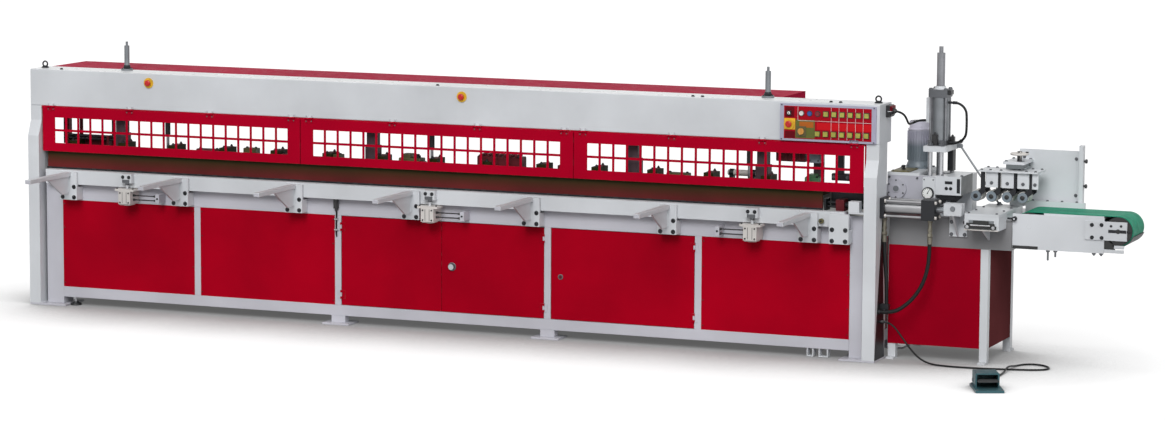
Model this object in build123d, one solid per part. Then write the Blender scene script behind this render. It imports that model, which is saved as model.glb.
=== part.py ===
"""Finger joint press with its infeed unit, in millimetres.

X runs along the machine towards the infeed, Y from front to back, Z up.
Lengths are laid out from the left front corner of the body on the floor, and
the finished pieces are moved so that the origin is the middle of the footprint.
"""
import math
import os

from build123d import *

# Main body
BODY_LENGTH = 5800.0
POST_WIDTH = 80.0
POST_DEPTH = 200.0
POST_STEP = 40.0
STEP_DROP = 195.0
STEP_RISE = 100.0
POST_GAP = 20.0
FRAME_SETBACK = 60.0
BASE_DEPTH = 640.0
LEG_DEPTH = 120.0
LEFT_MARGIN = 220.0
RIGHT_MARGIN = 180.0
BAY_WIDTHS = (969.0, 961.0, 1396.0, 951.0)
UPRIGHT_WIDTH = 44.0
RAIL_DEPTH = 60.0
FOOT_THICKNESS = 12.0
FOOT_OVERHANG = 45.0
FOOT_LEG_WIDTH = 96.0
RAIL_BOTTOM = 55.0
RAIL_HEIGHT = 68.0
TOP_RAIL_HEIGHT = 176.0
TUBE_WALL = 5.0
PAN_THICKNESS = 6.0
PAN_LAP = 20.0
PAIR_BAY = 2
SIDE_BAY = 3
ANCHOR_HOLE_RADIUS = 9.0

# Table and rear fence
TABLE_TOP = 885.0
TABLE_THICKNESS = 12.0
REAR_FENCE_Y = 545.0
REAR_FENCE_THICKNESS = 15.0
REAR_FENCE_HEIGHT = 100.0
SHELF_LENGTH = 95.0
SHELF_THICKNESS = 8.0
END_BLOCK = 66.0

# Upper girder and rear cover
BOX_RISE = 425.0
BOX_HEIGHT = 238.0
BOX_DEPTH = 230.0
BOX_WALL = 5.0
BOX_EDGE_RADIUS = 6.0
ACCESS_COUNT = 3
ACCESS_WIDTH = 300.0
ACCESS_HEIGHT = 110.0
COVER_LEFT = 30.0
COVER_RIGHT_GAP = 694.0
COVER_DEPTH = 445.0
COVER_SHEET = 3.0

# Window doors
WINDOW_DOOR_COUNT = 3
DOOR_SIDE_GAP = 14.0
DOOR_GAP = 5.0
DOOR_TOP_GAP = 7.0
DOOR_HEIGHT = 288.0
DOOR_SHEET = 4.0
WINDOW_SIDE = 88.0
WINDOW_SILL = 55.0
WINDOW_HEIGHT = 166.0
WINDOW_COLUMNS = 19
WINDOW_ROWS = 2
WINDOW_BAR = 15.0
WINDOW_HINGES = 4
WINDOW_HINGE_INSET = 60.0

# Panels and cabinet doors
PANEL_SHEET = 3.0
PANEL_INSET = 2.0
PANEL_GAP = 3.0
CABINET_HINGE_INSET = 70.0
KNOB_RADIUS = 18.0
KNOB_HEIGHT = 20.0
KNOB_INSET = 70.0
LOCK_RADIUS = 11.0
KNOB_LEVEL = 414.0
LOCK_LEVEL = 392.0
LOCK_INSET = 62.0
DOOR_RETURN = 18.0
CAM_RADIUS = 5.0
CAM_LENGTH = 34.0
CAM_THICKNESS = 5.0

# Hinges
HINGE_RADIUS = 6.0
PIN_RADIUS = 3.0
PIN_CLEARANCE = 0.05
KNUCKLE_HALF = 12.0
KNUCKLE_LENGTH = 14.0
KNUCKLE_GAP = 1.0
LEAF_THICKNESS = 3.0
LEAF_LENGTH = 26.0
LEAF_CLEAR = 1.5
HINGE_STAND = 6.5
CABINET_HINGE_STAND = 6.0

# Front fence with its lift cylinders
FENCE_LEFT_GAP = 50.0
FENCE_RIGHT_GAP = 120.0
FENCE_RISE = 15.0
FENCE_HEIGHT = 92.0
FENCE_DEPTH = 50.0
FENCE_LIFT = 50.0
LIFT_LEFT = 745.0
LIFT_SHIFT = -8.0
LIFT_RIGHT = 775.0
LIFT_BODY = 86.0
LIFT_BODY_HEIGHT = 84.0
LIFT_FLANGE_WIDTH = 136.0
LIFT_FLANGE_THICKNESS = 14.0
LIFT_FLANGE_GAP = 5.0
LIFT_ROD_RADIUS = 8.0
LIFT_ROD_GUIDE = 32.0
LIFT_END_WALL = 8.0
LIFT_BRACKET_WIDTH = 82.0
LIFT_BRACKET_HEIGHT = 60.0
LIFT_BRACKET_DEPTH = 40.0
AIR_TUBE_RADIUS = 4.0
AIR_TUBE_RUN = 165.0
AIR_TUBE_PITCH = 28.0
AIR_BLOCK_REACH = 8.0
SLIDE_FIT = 0.05

# Support arms
ARM_FIRST = 309.0
ARM_PITCH = 816.0
ARM_LAST = 423.0
ARM_WIDE_PITCH = 902.0
ARM_EVEN_COUNT = 5
ARM_WIDE_COUNT = 2
FLANGE_WIDTH = 124.0
FLANGE_HEIGHT = 182.0
FLANGE_THICKNESS = 18.0
FLANGE_DROP = 10.0
FENCE_CLEARANCE = 4.0
SPACER_HEIGHT = 84.0
ARM_LENGTH = 510.0
ARM_WIDTH = 40.0
ARM_THICKNESS = 26.0
GUSSET_THICKNESS = 12.0
GUSSET_REACH = 270.0
GUSSET_TOE = 84.0
GUSSET_LIFT = 42.0
GUIDE_PLATE_GAP = 72.0
BOLT_PITCH_X = 84.0
BOLT_PITCH_Z = 68.0
BOLT_EDGE = 18.0
BOLT_RADIUS = 9.0
BOLT_HEIGHT = 8.0

# Press beam
BEAM_LEFT = 110.0
BEAM_RIGHT = 360.0
BEAM_FRONT = 65.0
BEAM_DEPTH = 140.0
BEAM_RISE = 25.0
BEAM_HEIGHT = 130.0
SKIRT_THICKNESS = 15.0
PLATEN_HEIGHT = 55.0
PAD_HEIGHT = 12.0
SHOE_PITCH = 368.0
SHOE_SHIFT = -95.0
SHOE_WIDTH = 62.0
SHOE_HEIGHT = 46.0
BEAM_LIFT = 60.0
COLUMN_LEFT = 629.0
COLUMN_INNER = (-470.0, 1303.0)
COLUMN_RIGHT = 760.0
COLUMN_SIZE = 64.0
COLUMN_CLEARANCE = 4.0
GUIDE_ROD_RADIUS = 18.0
GUIDE_ROD_END = 20.0
JACK_SIDE = 160.0
JACK_RADIUS = 17.0
JACK_HEIGHT = 150.0
JACK_FLANGE_RADIUS = 38.0
JACK_FLANGE_THICKNESS = 12.0
JACK_TIP_RADIUS = 8.0
JACK_TIP_HEIGHT = 26.0
EYE_INSET = 45.0
EYE_RADIUS = 17.0
EYE_WIRE = 5.0
EYE_COLLAR_RADIUS = 14.0
EYE_COLLAR_HEIGHT = 8.0

# Controls
PANEL_WIDTH = 602.0
PANEL_RIGHT_GAP = 19.0
PANEL_HEIGHT = 222.0
PANEL_BOTTOM_GAP = 4.0
PANEL_DEPTH = 16.0
FIELD_BORDER = 26.0
FIELD_RAISE = 2.0
BUTTON_COUNT = 7
BUTTON_PITCH = 51.0
BUTTON_SIZE = 28.0
BUTTON_CLEARANCE = 0.3
BUTTON_PROUD = 11.0
BUTTON_TRAVEL = 4.0
BUTTON_POCKET = 9.0
BUTTON_ROW = 47.0
BUTTON_RIGHT = 57.0
LAMP_ROW = 167.0
LAMP_COUNT = 9
LAMP_SQUARES = 6
LAMP_SIZE = 27.0
LAMP_PROUD = 7.0
STOP_HEAD_RADIUS = 20.0
STOP_HEAD_HEIGHT = 13.0
STOP_STEM_RADIUS = 9.0
STOP_BASE_RADIUS = 33.0
STOP_BASE_HEIGHT = 7.0
STOP_STEM_SHOW = 6.0
STOP_TRAVEL = 4.0
STOP_LEFT = 876.0
STOP_SHIFT = 183.0
STOP_HEIGHT = 178.0
SWITCH_RADIUS = 19.0
SWITCH_GRIP = 9.0
SWITCH_DEPTH = 20.0
SWITCH_PLATE = 60.0
KEY_BOX = 26.0
PANEL_STOP_X = 60.0
PANEL_STOP_Z = 100.0
SWITCH_X = 137.0
SWITCH_Z = 59.0

# Infeed stand and bed
STAND_GAP = 12.0
STAND_LENGTH = 618.0
STAND_FRONT = 228.0
STAND_DEPTH = 572.0
STAND_LEG = 48.0
STAND_RAIL_BOTTOM = 92.0
STAND_RAIL_HEIGHT = 46.0
STAND_FOOT = 90.0
BED_DROP = 5.0
BED_HEIGHT = 187.0
BED_PLATE = 12.0
BED_OVERHANG = 138.0
BRACE_FOOT = 55.0
BRACE_PAD = 110.0

# Infeed table with its side clamp and guide fence
LANE_RISE = 45.0
INFEED_LEFT = 514.0
INFEED_LENGTH = 210.0
INFEED_PROUD = 168.0
INFEED_REACH = 362.0
INFEED_PLATE = 20.0
APRON_HEIGHT = 78.0
APRON_THICKNESS = 14.0
CLAMP_BODY_WIDTH = 150.0
CLAMP_BODY_HEIGHT = 44.0
CLAMP_BODY_PROUD = 12.0
LEVER_RADIUS = 6.0
LEVER_LENGTH = 42.0
LEVER_HUB_RADIUS = 14.0
LEVER_HUB_LENGTH = 22.0
LEVER_DROP = 30.0
LEVER_PIN_RADIUS = 5.0
LEVER_PIN_SHOW = 5.0
GUIDE_RAIL_HEIGHT = 47.0
GUIDE_RAIL_DEPTH = 24.0
GUIDE_LENGTH = 364.0
GUIDE_PLATE_WIDTH = 374.0
GUIDE_PLATE_HEIGHT = 343.0
GUIDE_PLATE_SHEET = 6.0
GUIDE_POST_WIDTH = 26.0
GUIDE_POST_HEIGHT = 388.0

# Feed head over the lane
HEAD_LEFT = -40.0
HEAD_SETBACK = 72.0
HEAD_DEPTH = 72.0
HEAD_LENGTH = 300.0
HEAD_HEIGHT = 225.0
HEAD_PLATE = 17.0
HEAD_PLATE_LENGTH = 200.0
HEAD_PLATE_BACK = 39.0
SIDE_BLOCK_LENGTH = 161.0
SIDE_BLOCK_RISE = 118.0
BRIDGE_BLOCK_GAP = 48.0
SIDE_BLOCK_HEIGHT = 231.0
LANE_WIDTH = 173.0
REAR_BLOCK_LENGTH = 461.0
REAR_BLOCK_DEPTH = 95.0
CAP_RADIUS = 61.0
CAP_THICKNESS = 14.0
SHAFT_PLACE = 59.0
SHAFT_RISE = 144.0
SHAFT_RADIUS = 17.0
SHAFT_STUB = 5.0
FEED_ROLLER_RADIUS = 50.0
FEED_ROLLER_INSET = 10.0
GAUGE_PLACE = 259.0
GAUGE_RISE = 126.0
GAUGE_RADIUS = 36.0
GAUGE_DEPTH = 22.0
MOTOR_PLACE = 108.0
MOTOR_RADIUS = 66.0
MOTOR_HEIGHT = 222.0
MOTOR_FLANGE_RADIUS = 78.0
MOTOR_FLANGE_HEIGHT = 14.0
MOTOR_CAP_HEIGHT = 50.0
MOTOR_CAP_RADIUS = 61.0
TERMINAL_BOX = 62.0

# Vertical clamp cylinder
CLAMP_PLACE = 245.0
CLAMP_SETBACK = 58.0
CLAMP_PLATE_RISE = 148.0
CLAMP_PLATE_THICKNESS = 34.0
CLAMP_PLATE_WIDTH = 140.0
CLAMP_BASE_HEIGHT = 30.0
CLAMP_BARREL_RADIUS = 54.0
CLAMP_BORE_RADIUS = 46.0
CLAMP_BARREL_HEIGHT = 258.0
CLAMP_CAP_SIZE = 116.0
CLAMP_CAP_HEIGHT = 46.0
CLAMP_COLUMN_RADIUS = 14.0
CLAMP_COLUMN_SPAN = 68.0
CLAMP_COLUMN_SHIFT = 4.0
CLAMP_SHAFT_RADIUS = 25.0
CLAMP_SHAFT_HEIGHT = 220.0
CLAMP_TIP_RADIUS = 13.0
CLAMP_TIP_HEIGHT = 38.0
CLAMP_ROD_RADIUS = 18.0
CLAMP_PISTON_HEIGHT = 50.0
CLAMP_PISTON_DROP = 30.0
CLAMP_FIT = 0.1
CLAMP_FOOT = 110.0
CLAMP_FOOT_THICKNESS = 24.0
CLAMP_BOARD = 75.0
CLAMP_STROKE = 80.0
CLAMP_FITTING = 23.0
HEAD_BOX_LENGTH = 26.0
HEAD_BOX_DROP = 7.0

# Horizontal press cylinder with its pusher
PUSH_SETBACK = 60.0
PUSH_RISE = 43.0
PUSH_CAP_SIZE = 122.0
PUSH_LEFT_CAP = 26.0
PUSH_RIGHT_CAP = 82.0
PUSH_BARREL_LENGTH = 230.0
PUSH_BARREL_RADIUS = 43.0
PUSH_BORE_RADIUS = 36.0
PUSH_TIE_RADIUS = 9.0
PUSH_TIE_SPREAD = 45.0
PUSH_STUD_RADIUS = 18.0
PUSH_STUD_LENGTH = 50.0
CLEVIS_LENGTH = 110.0
CLEVIS_WIDTH = 66.0
CLEVIS_HEIGHT = 60.0
CLEVIS_DROP = 15.0
PUSH_ROD_RADIUS = 20.0
PUSH_ROD_CLEARANCE = 6.0
PUSH_PISTON_LENGTH = 34.0
PUSH_END_GAP = 9.0
PUSH_BLOCK_GAP = 150.0
PUSH_BLOCK_LENGTH = 52.0
PUSH_BLOCK_WIDTH = 80.0
PUSH_BLOCK_HEIGHT = 70.0
PUSH_GUIDE_RADIUS = 8.0
PUSH_GUIDE_LENGTH = 62.0
PUSH_GUIDE_SPREAD = 24.0
PUSH_STROKE = 140.0
FITTING_RADIUS = 12.0
FITTING_LENGTH = 85.0
FITTING_INSET = 40.0
BRACKET_PLATE = 12.0
BRACKET_HEIGHT = 139.0

# Hold-down rollers
BRIDGE_PLACE = 516.0
BRIDGE_LENGTH = 366.0
BRIDGE_LAP = 42.0
BRIDGE_DEPTH = 180.0
BRIDGE_RISE = 222.0
BRIDGE_PLATE = 10.0
ROLLER_COUNT = 4
ROLLER_PITCH = 96.0
ROLLER_FIRST = -20.0
ROLLER_RADIUS = 35.0
ROLLER_LENGTH = 92.0
ROLLER_RISE = 72.0
AXLE_RADIUS = 8.0
HANGER_OFFSET = 41.0
HANGER_WIDTH = 26.0
HANGER_THICKNESS = 10.0
HANGER_GAP = 4.0
TRAIL_HEIGHT = 22.0
BRIDGE_DOWN = 25.0
BRIDGE_UP = 6.0
TOWER_WIDTH = 90.0
TOWER_DEPTH = 44.0
TOWER_HEAD_LAP = 42.0
TOWER_HEAD_HEIGHT = 16.0
TOWER_HEAD_CLEARANCE = 29.0
TOWER_HEAD_REACH = 46.0
SCREW_SHIFT = 45.0
SCREW_RADIUS = 9.0
SCREW_NUT_RADIUS = 16.0
SCREW_NUT_HEIGHT = 12.0
WHEEL_RADIUS = 56.0
WHEEL_RIM = 7.0
WHEEL_TURN = 45.0
WHEEL_RISE = 46.0
WHEEL_HUB_RADIUS = 15.0
WHEEL_SPOKE_RADIUS = 5.0
SLIDER_WIDTH = 60.0
SLIDER_HEIGHT = 70.0
SLIDER_CLEARANCE = 0.3

# Infeed conveyor
CONVEYOR_SETBACK = 22.0
CONVEYOR_SIDE = 6.0
CONVEYOR_SIDE_LENGTH = 556.0
CONVEYOR_SIDE_DROP = 9.0
CONVEYOR_SIDE_HEIGHT = 210.0
BELT_WIDTH = 272.0
BELT_GAP = 2.0
BELT_THICKNESS = 4.0
BELT_RISE = 5.0
DRUM_RADIUS = 84.0
DRUM_CLEARANCE = 0.3
DRUM_SPAN = 540.0
DRUM_START = 100.0
DRUM_AXLE_RADIUS = 14.0
TAIL_PLATE_LENGTH = 252.0
TAIL_PLATE_HEIGHT = 112.0
TAIL_PLATE_THICKNESS = 8.0
TAIL_OVERLAP = 114.0
SLIDER_BED_HEIGHT = 20.0
CROSS_SIZE = 50.0

# Hydraulic unit in the cabinet
TANK_LENGTH = 620.0
TANK_DEPTH = 380.0
TANK_HEIGHT = 280.0
TANK_LEFT = 120.0
TANK_FRONT = 200.0
TANK_WALL = 4.0
FILLER_RADIUS = 20.0
FILLER_INSET = 60.0
PUMP_RADIUS = 80.0
PUMP_LENGTH = 260.0
PUMP_RISE = 20.0

# Foot switch
PEDAL_X = 868.0
PEDAL_Y = -600.0
PEDAL_TURN = 24.0
PEDAL_WIDTH = 164.0
PEDAL_LENGTH = 262.0
PEDAL_BASE = 14.0
PEDAL_HOOD_WIDTH = 134.0
PEDAL_HOOD_HEIGHT = 94.0
PEDAL_HOOD_LENGTH = 150.0
PEDAL_SHELL = 6.0
TREADLE_WIDTH = 118.0
TREADLE_LENGTH = 190.0
TREADLE_THICKNESS = 10.0
TREADLE_HEEL = 10.0
TREADLE_PIN_RADIUS = 5.0
TREADLE_HEIGHT = 40.0
TREADLE_TILT = 6.0
TREADLE_PIN_INSET = 30.0

# Cables and hoses
CABLE_DIAMETER = 11.0
HOSE_DIAMETER = 24.0
CLAMP_HOSE_DIAMETER = 15.0
HEAD_CABLE_DIAMETER = 13.0
GLAND_LENGTH = 12.0
GLAND_RADIUS = 17.0
CABLE_GLAND_RADIUS = 10.0
PLUG_LENGTH = 14.0
ELBOW_REACH = 52.0
PEDAL_ENTRY = 30.0
ARC_SHARE = 0.45

# Routes of the cables and hoses as they hang and lie, along X from the right post's outer face
PEDAL_ROUTE = ((12, 100, 238), (48, 100, 238), (90, 100, 216), (136, 98, 160), (190, 94, 92), (250, 84, 36),
               (326, 64, 7), (450, 36, 6.5), (596, 40, 6.5), (730, 62, 6.5), (855, 92, 6.5), (960, 122, 6.5),
               (1018, 166, 6.5), (1018, 232, 6.5), (972, 296, 6.5), (900, 324, 6.5), (840, 288, 6.5),
               (810, 214, 6.5), (804, 118, 21), (806, 42, 21), (812, -40, 6.5), (816, -150, 6.5),
               (808, -260, 6.5), (792, -345, 16), (785.4, -414.6, 30), (809.7, -469.1, 30))
HOSE_LEFT_ROUTE = ((13, 125, 782), (13, 125, 700), (22, 122, 590), (35, 117, 460), (35, 117, 345))
HOSE_RIGHT_ROUTE = ((296, 125, 782), (296, 125, 705), (291, 122, 590), (264, 113, 484), (215, 100, 400),
                    (153, 80, 338), (86, 70, 302), (12, 70, 302))
CLAMP_ROUTE = ((338, 425, 1543), (364, 425, 1543), (392.6, 424, 1531.1), (414.6, 421, 1509.2), (426.4, 417, 1480.6),
               (426.4, 417, 1364.6), (414.6, 421, 1335.9), (392.6, 424, 1314), (364, 425, 1302), (338, 425, 1302))
HEAD_ROUTE = ((14, 205, 1500), (40, 205, 1500), (64.9, 215.3, 1494.8), (84, 234.4, 1482.2), (94.3, 259.3, 1461.1),
              (94.3, 317.5, 1412.3), (94.3, 375.7, 1412.3), (104.6, 400.6, 1417.1), (123.7, 419.7, 1425.9),
              (148.6, 430, 1430.7), (173, 430, 1430.7))

# Heights and places that follow from the sizes above
BOX_FRONT = POST_STEP
BOX_BOTTOM = TABLE_TOP + BOX_RISE
STEP_HEIGHT = BOX_BOTTOM - STEP_DROP
BOX_BACK = BOX_FRONT + BOX_DEPTH
BOX_TOP = BOX_BOTTOM + BOX_HEIGHT
RAIL_TOP = RAIL_BOTTOM + RAIL_HEIGHT
TABLE_BOTTOM = TABLE_TOP - TABLE_THICKNESS
TOP_RAIL_BOTTOM = TABLE_BOTTOM - TOP_RAIL_HEIGHT
FRAME_BACK = FRAME_SETBACK + BASE_DEPTH
PANEL_LEFT = LEFT_MARGIN
PANEL_RIGHT = BODY_LENGTH - RIGHT_MARGIN
LEG_LEFT = POST_WIDTH + POST_GAP
LEG_RIGHT = BODY_LENGTH - POST_WIDTH - POST_GAP
FENCE_TOP = TABLE_TOP + FENCE_RISE
FENCE_BOTTOM = FENCE_TOP - FENCE_HEIGHT
FLANGE_BACK = -FENCE_CLEARANCE
FLANGE_FRONT = FLANGE_BACK - FLANGE_THICKNESS
FLANGE_TOP = FENCE_TOP - FLANGE_DROP
FLANGE_BOTTOM = FLANGE_TOP - FLANGE_HEIGHT
BEAM_LENGTH = BODY_LENGTH - BEAM_LEFT - BEAM_RIGHT
BEAM_BOTTOM = TABLE_TOP + BEAM_RISE
BEAM_TOP = BEAM_BOTTOM + BEAM_HEIGHT
BEAM_BACK = BEAM_FRONT + BEAM_DEPTH
COLUMN_Y = (BEAM_FRONT + BEAM_BACK) / 2
COLUMN_BOTTOM = BEAM_TOP + SHOE_HEIGHT + BEAM_LIFT + COLUMN_CLEARANCE
COLUMN_PLACES = (COLUMN_LEFT, BODY_LENGTH / 2 + COLUMN_INNER[0], BODY_LENGTH / 2 + COLUMN_INNER[1],
                 BODY_LENGTH - COLUMN_RIGHT)
GUIDE_ROD_LENGTH = BOX_BOTTOM - BEAM_TOP - BEAM_LIFT - GUIDE_ROD_END
LIFT_PLACES = (LIFT_LEFT, BODY_LENGTH / 2 + LIFT_SHIFT, BODY_LENGTH - LIFT_RIGHT)
STOP_PLACES = (STOP_LEFT, BODY_LENGTH / 2 + STOP_SHIFT)
LIFT_TOP = FENCE_BOTTOM - LIFT_FLANGE_GAP
LIFT_BOTTOM = LIFT_TOP - LIFT_FLANGE_THICKNESS - LIFT_BODY_HEIGHT
LIFT_ROD_Y = -LIFT_BRACKET_DEPTH / 2
STAND_LEFT = BODY_LENGTH + STAND_GAP
STAND_RIGHT = STAND_LEFT + STAND_LENGTH
STAND_BACK = STAND_FRONT + STAND_DEPTH
BED_RIGHT = STAND_RIGHT + BED_OVERHANG
BED_TOP = TABLE_TOP - BED_DROP
BED_BOTTOM = BED_TOP - BED_HEIGHT
LANE_TOP = BED_TOP + LANE_RISE
INFEED_FRONT = STAND_FRONT - INFEED_PROUD
INFEED_BACK = STAND_FRONT + INFEED_REACH
INFEED_X0 = STAND_LEFT + INFEED_LEFT
INFEED_X1 = INFEED_X0 + INFEED_LENGTH
HEAD_X0 = STAND_LEFT + HEAD_LEFT
HEAD_X1 = HEAD_X0 + HEAD_LENGTH
HEAD_FRONT = STAND_FRONT + HEAD_SETBACK
HEAD_TOP = BED_TOP + HEAD_HEIGHT
GAUGE_HEIGHT = BED_TOP + GAUGE_RISE
LANE_FRONT = HEAD_FRONT + HEAD_DEPTH
LANE_BACK = LANE_FRONT + LANE_WIDTH
REAR_BLOCK_BACK = LANE_BACK + REAR_BLOCK_DEPTH
SHAFT_X = HEAD_X0 + SHAFT_PLACE
SHAFT_HEIGHT = BED_TOP + SHAFT_RISE
CLAMP_X = STAND_LEFT + CLAMP_PLACE
CLAMP_Y = LANE_FRONT + CLAMP_SETBACK
CLAMP_PLATE_BOTTOM = HEAD_TOP + CLAMP_PLATE_RISE
CLAMP_BARREL_BOTTOM = CLAMP_PLATE_BOTTOM + CLAMP_PLATE_THICKNESS + CLAMP_BASE_HEIGHT
CLAMP_BARREL_TOP = CLAMP_BARREL_BOTTOM + CLAMP_BARREL_HEIGHT
CLAMP_CAP_TOP = CLAMP_BARREL_TOP + CLAMP_CAP_HEIGHT
CLAMP_FOOT_BOTTOM = LANE_TOP + CLAMP_BOARD + CLAMP_STROKE
PUSH_Y = BEAM_FRONT + PUSH_SETBACK
PUSH_Z = TABLE_TOP + PUSH_RISE
PUSH_BARREL_START = BODY_LENGTH + PUSH_LEFT_CAP
PUSH_BARREL_END = PUSH_BARREL_START + PUSH_BARREL_LENGTH
PUSH_CAP_END = PUSH_BARREL_END + PUSH_RIGHT_CAP
CLEVIS_START = PUSH_CAP_END + PUSH_STUD_LENGTH
CLEVIS_END = CLEVIS_START + CLEVIS_LENGTH
PUSH_BLOCK_END = BODY_LENGTH - POST_WIDTH - PUSH_BLOCK_GAP
PUSH_BLOCK_START = PUSH_BLOCK_END - PUSH_BLOCK_LENGTH
BRIDGE_X0 = STAND_LEFT + BRIDGE_PLACE
BRIDGE_X1 = BRIDGE_X0 + BRIDGE_LENGTH
BRIDGE_MID = (BRIDGE_X0 + BRIDGE_X1) / 2
SCREW_X = BRIDGE_MID + SCREW_SHIFT
BRIDGE_FRONT = LANE_FRONT - BRIDGE_LAP
BRIDGE_BACK = BRIDGE_FRONT + BRIDGE_DEPTH
BRIDGE_BOTTOM = LANE_TOP + BRIDGE_RISE
BRIDGE_TOP = BRIDGE_BOTTOM + BRIDGE_PLATE
ROLLER_Y = BRIDGE_FRONT + BRIDGE_DEPTH / 2
ROLLER_HEIGHT = LANE_TOP + ROLLER_RISE
TOWER_FRONT = INFEED_BACK - TOWER_DEPTH
TOWER_HEAD_BOTTOM = BRIDGE_TOP + BRIDGE_UP + TOWER_HEAD_CLEARANCE
TOWER_HEAD_TOP = TOWER_HEAD_BOTTOM + TOWER_HEAD_HEIGHT
CONVEYOR_FRONT = STAND_FRONT + CONVEYOR_SETBACK
CONVEYOR_SIDE_TOP = LANE_TOP - CONVEYOR_SIDE_DROP
CONVEYOR_SIDE_BOTTOM = CONVEYOR_SIDE_TOP - CONVEYOR_SIDE_HEIGHT
BELT_TOP = LANE_TOP + BELT_RISE
BELT_FRONT = CONVEYOR_FRONT + CONVEYOR_SIDE + BELT_GAP
BELT_BACK = BELT_FRONT + BELT_WIDTH
CONVEYOR_BACK = BELT_BACK + BELT_GAP + CONVEYOR_SIDE
BELT_RADIUS = DRUM_RADIUS + DRUM_CLEARANCE + BELT_THICKNESS
DRUM_Z = BELT_TOP - BELT_RADIUS
DRIVE_X = BED_RIGHT + DRUM_START
TAIL_X = DRIVE_X + DRUM_SPAN
SIDE_END = BED_RIGHT + CONVEYOR_SIDE_LENGTH
CONTROL_X1 = BODY_LENGTH - PANEL_RIGHT_GAP
CONTROL_X0 = CONTROL_X1 - PANEL_WIDTH
CONTROL_Z0 = BOX_BOTTOM + PANEL_BOTTOM_GAP
CONTROL_Z1 = CONTROL_Z0 + PANEL_HEIGHT
CONTROL_FRONT = BOX_FRONT - PANEL_DEPTH
FIELD_FRONT = CONTROL_FRONT - FIELD_RAISE
TREADLE_PIVOT = PEDAL_LENGTH / 2 - TREADLE_PIN_INSET
PEDAL_CABLE = [(BODY_LENGTH + x, y, z) for x, y, z in PEDAL_ROUTE]
HOSE_LEFT = [(BODY_LENGTH + x, y, z) for x, y, z in HOSE_LEFT_ROUTE]
HOSE_RIGHT = [(BODY_LENGTH + x, y, z) for x, y, z in HOSE_RIGHT_ROUTE]
CLAMP_HOSE = [(BODY_LENGTH + x, y, z) for x, y, z in CLAMP_ROUTE]
HEAD_CABLE = [(BODY_LENGTH + x, y, z) for x, y, z in HEAD_ROUTE]


# Building blocks
def block(x0, x1, y0, y1, z0, z1):
    """Box between two opposite corners."""
    return Pos((x0 + x1) / 2, (y0 + y1) / 2, (z0 + z1) / 2) * Box(x1 - x0, y1 - y0, z1 - z0)


def rod_x(x0, x1, y, z, radius):
    """Round bar along X."""
    return Pos((x0 + x1) / 2, y, z) * Rot(0, 90, 0) * Cylinder(radius, x1 - x0)


def rod_y(x, y0, y1, z, radius):
    """Round bar along Y."""
    return Pos(x, (y0 + y1) / 2, z) * Rot(90, 0, 0) * Cylinder(radius, y1 - y0)


def rod_z(x, y, z0, z1, radius):
    """Round bar along Z."""
    return Pos(x, y, (z0 + z1) / 2) * Cylinder(radius, z1 - z0)


def prism_x(points, x0, x1):
    """Outline in Y and Z carried along X."""
    return extrude(Plane.YZ.offset(x0) * Polygon(*points, align=None), amount=x1 - x0, dir=(1, 0, 0))


def prism_y(points, y0, y1):
    """Outline in X and Z carried along Y."""
    return extrude(Plane.XZ.offset(-y0) * Polygon(*points, align=None), amount=y1 - y0, dir=(0, 1, 0))


def tube_x(x0, x1, y0, y1, z0, z1):
    """Hollow bar along X, open at both ends."""
    w = TUBE_WALL
    return block(x0, x1, y0, y1, z0, z1) - block(x0, x1, y0 + w, y1 - w, z0 + w, z1 - w)


def tube_y(x0, x1, y0, y1, z0, z1):
    """Hollow bar along Y, open at both ends."""
    w = TUBE_WALL
    return block(x0, x1, y0, y1, z0, z1) - block(x0 + w, x1 - w, y0, y1, z0 + w, z1 - w)


def tube_z(x0, x1, y0, y1, z0, z1):
    """Hollow bar along Z, open at both ends."""
    w = TUBE_WALL
    return block(x0, x1, y0, y1, z0, z1) - block(x0 + w, x1 - w, y0 + w, y1 - w, z0, z1)


def ring_y(x, y0, y1, z, outer, inner):
    """Round tube along Y."""
    return rod_y(x, y0, y1, z, outer) - rod_y(x, y0, y1, z, inner)


def bay_edges():
    """Left and right edge of each front bay, from left to right."""
    edges = []
    left = PANEL_LEFT
    for width in BAY_WIDTHS:
        edges.append((left, left + width))
        left += width + UPRIGHT_WIDTH
    edges.append((left, PANEL_RIGHT))
    return edges


def upright_edges():
    """Left and right edge of each upright between two bays."""
    return [(edges[1], edges[1] + UPRIGHT_WIDTH) for edges in bay_edges()[:-1]]


def arm_places():
    """Middle of each support arm along X."""
    even = [ARM_FIRST + ARM_PITCH * i for i in range(ARM_EVEN_COUNT)]
    last = BODY_LENGTH - ARM_LAST
    return even + [last - ARM_WIDE_PITCH * (ARM_WIDE_COUNT - 1 - i) for i in range(ARM_WIDE_COUNT)]


# Hinges: the axis lies along the local X, the fixed leaf points to the local Z
def fixed_half(place, stand):
    """Middle knuckle with its pin and the leaf on the fixed face."""
    inner = HINGE_RADIUS + LEAF_CLEAR
    half = KNUCKLE_HALF + KNUCKLE_GAP + KNUCKLE_LENGTH
    leaf = block(-half, half, stand - LEAF_THICKNESS, stand, inner, LEAF_LENGTH)
    tab = block(-KNUCKLE_HALF, KNUCKLE_HALF, 0, stand, 0, inner)
    knuckle = rod_x(-KNUCKLE_HALF, KNUCKLE_HALF, 0, 0, HINGE_RADIUS)
    return place * (leaf + tab + knuckle + rod_x(-half, half, 0, 0, PIN_RADIUS))


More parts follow.
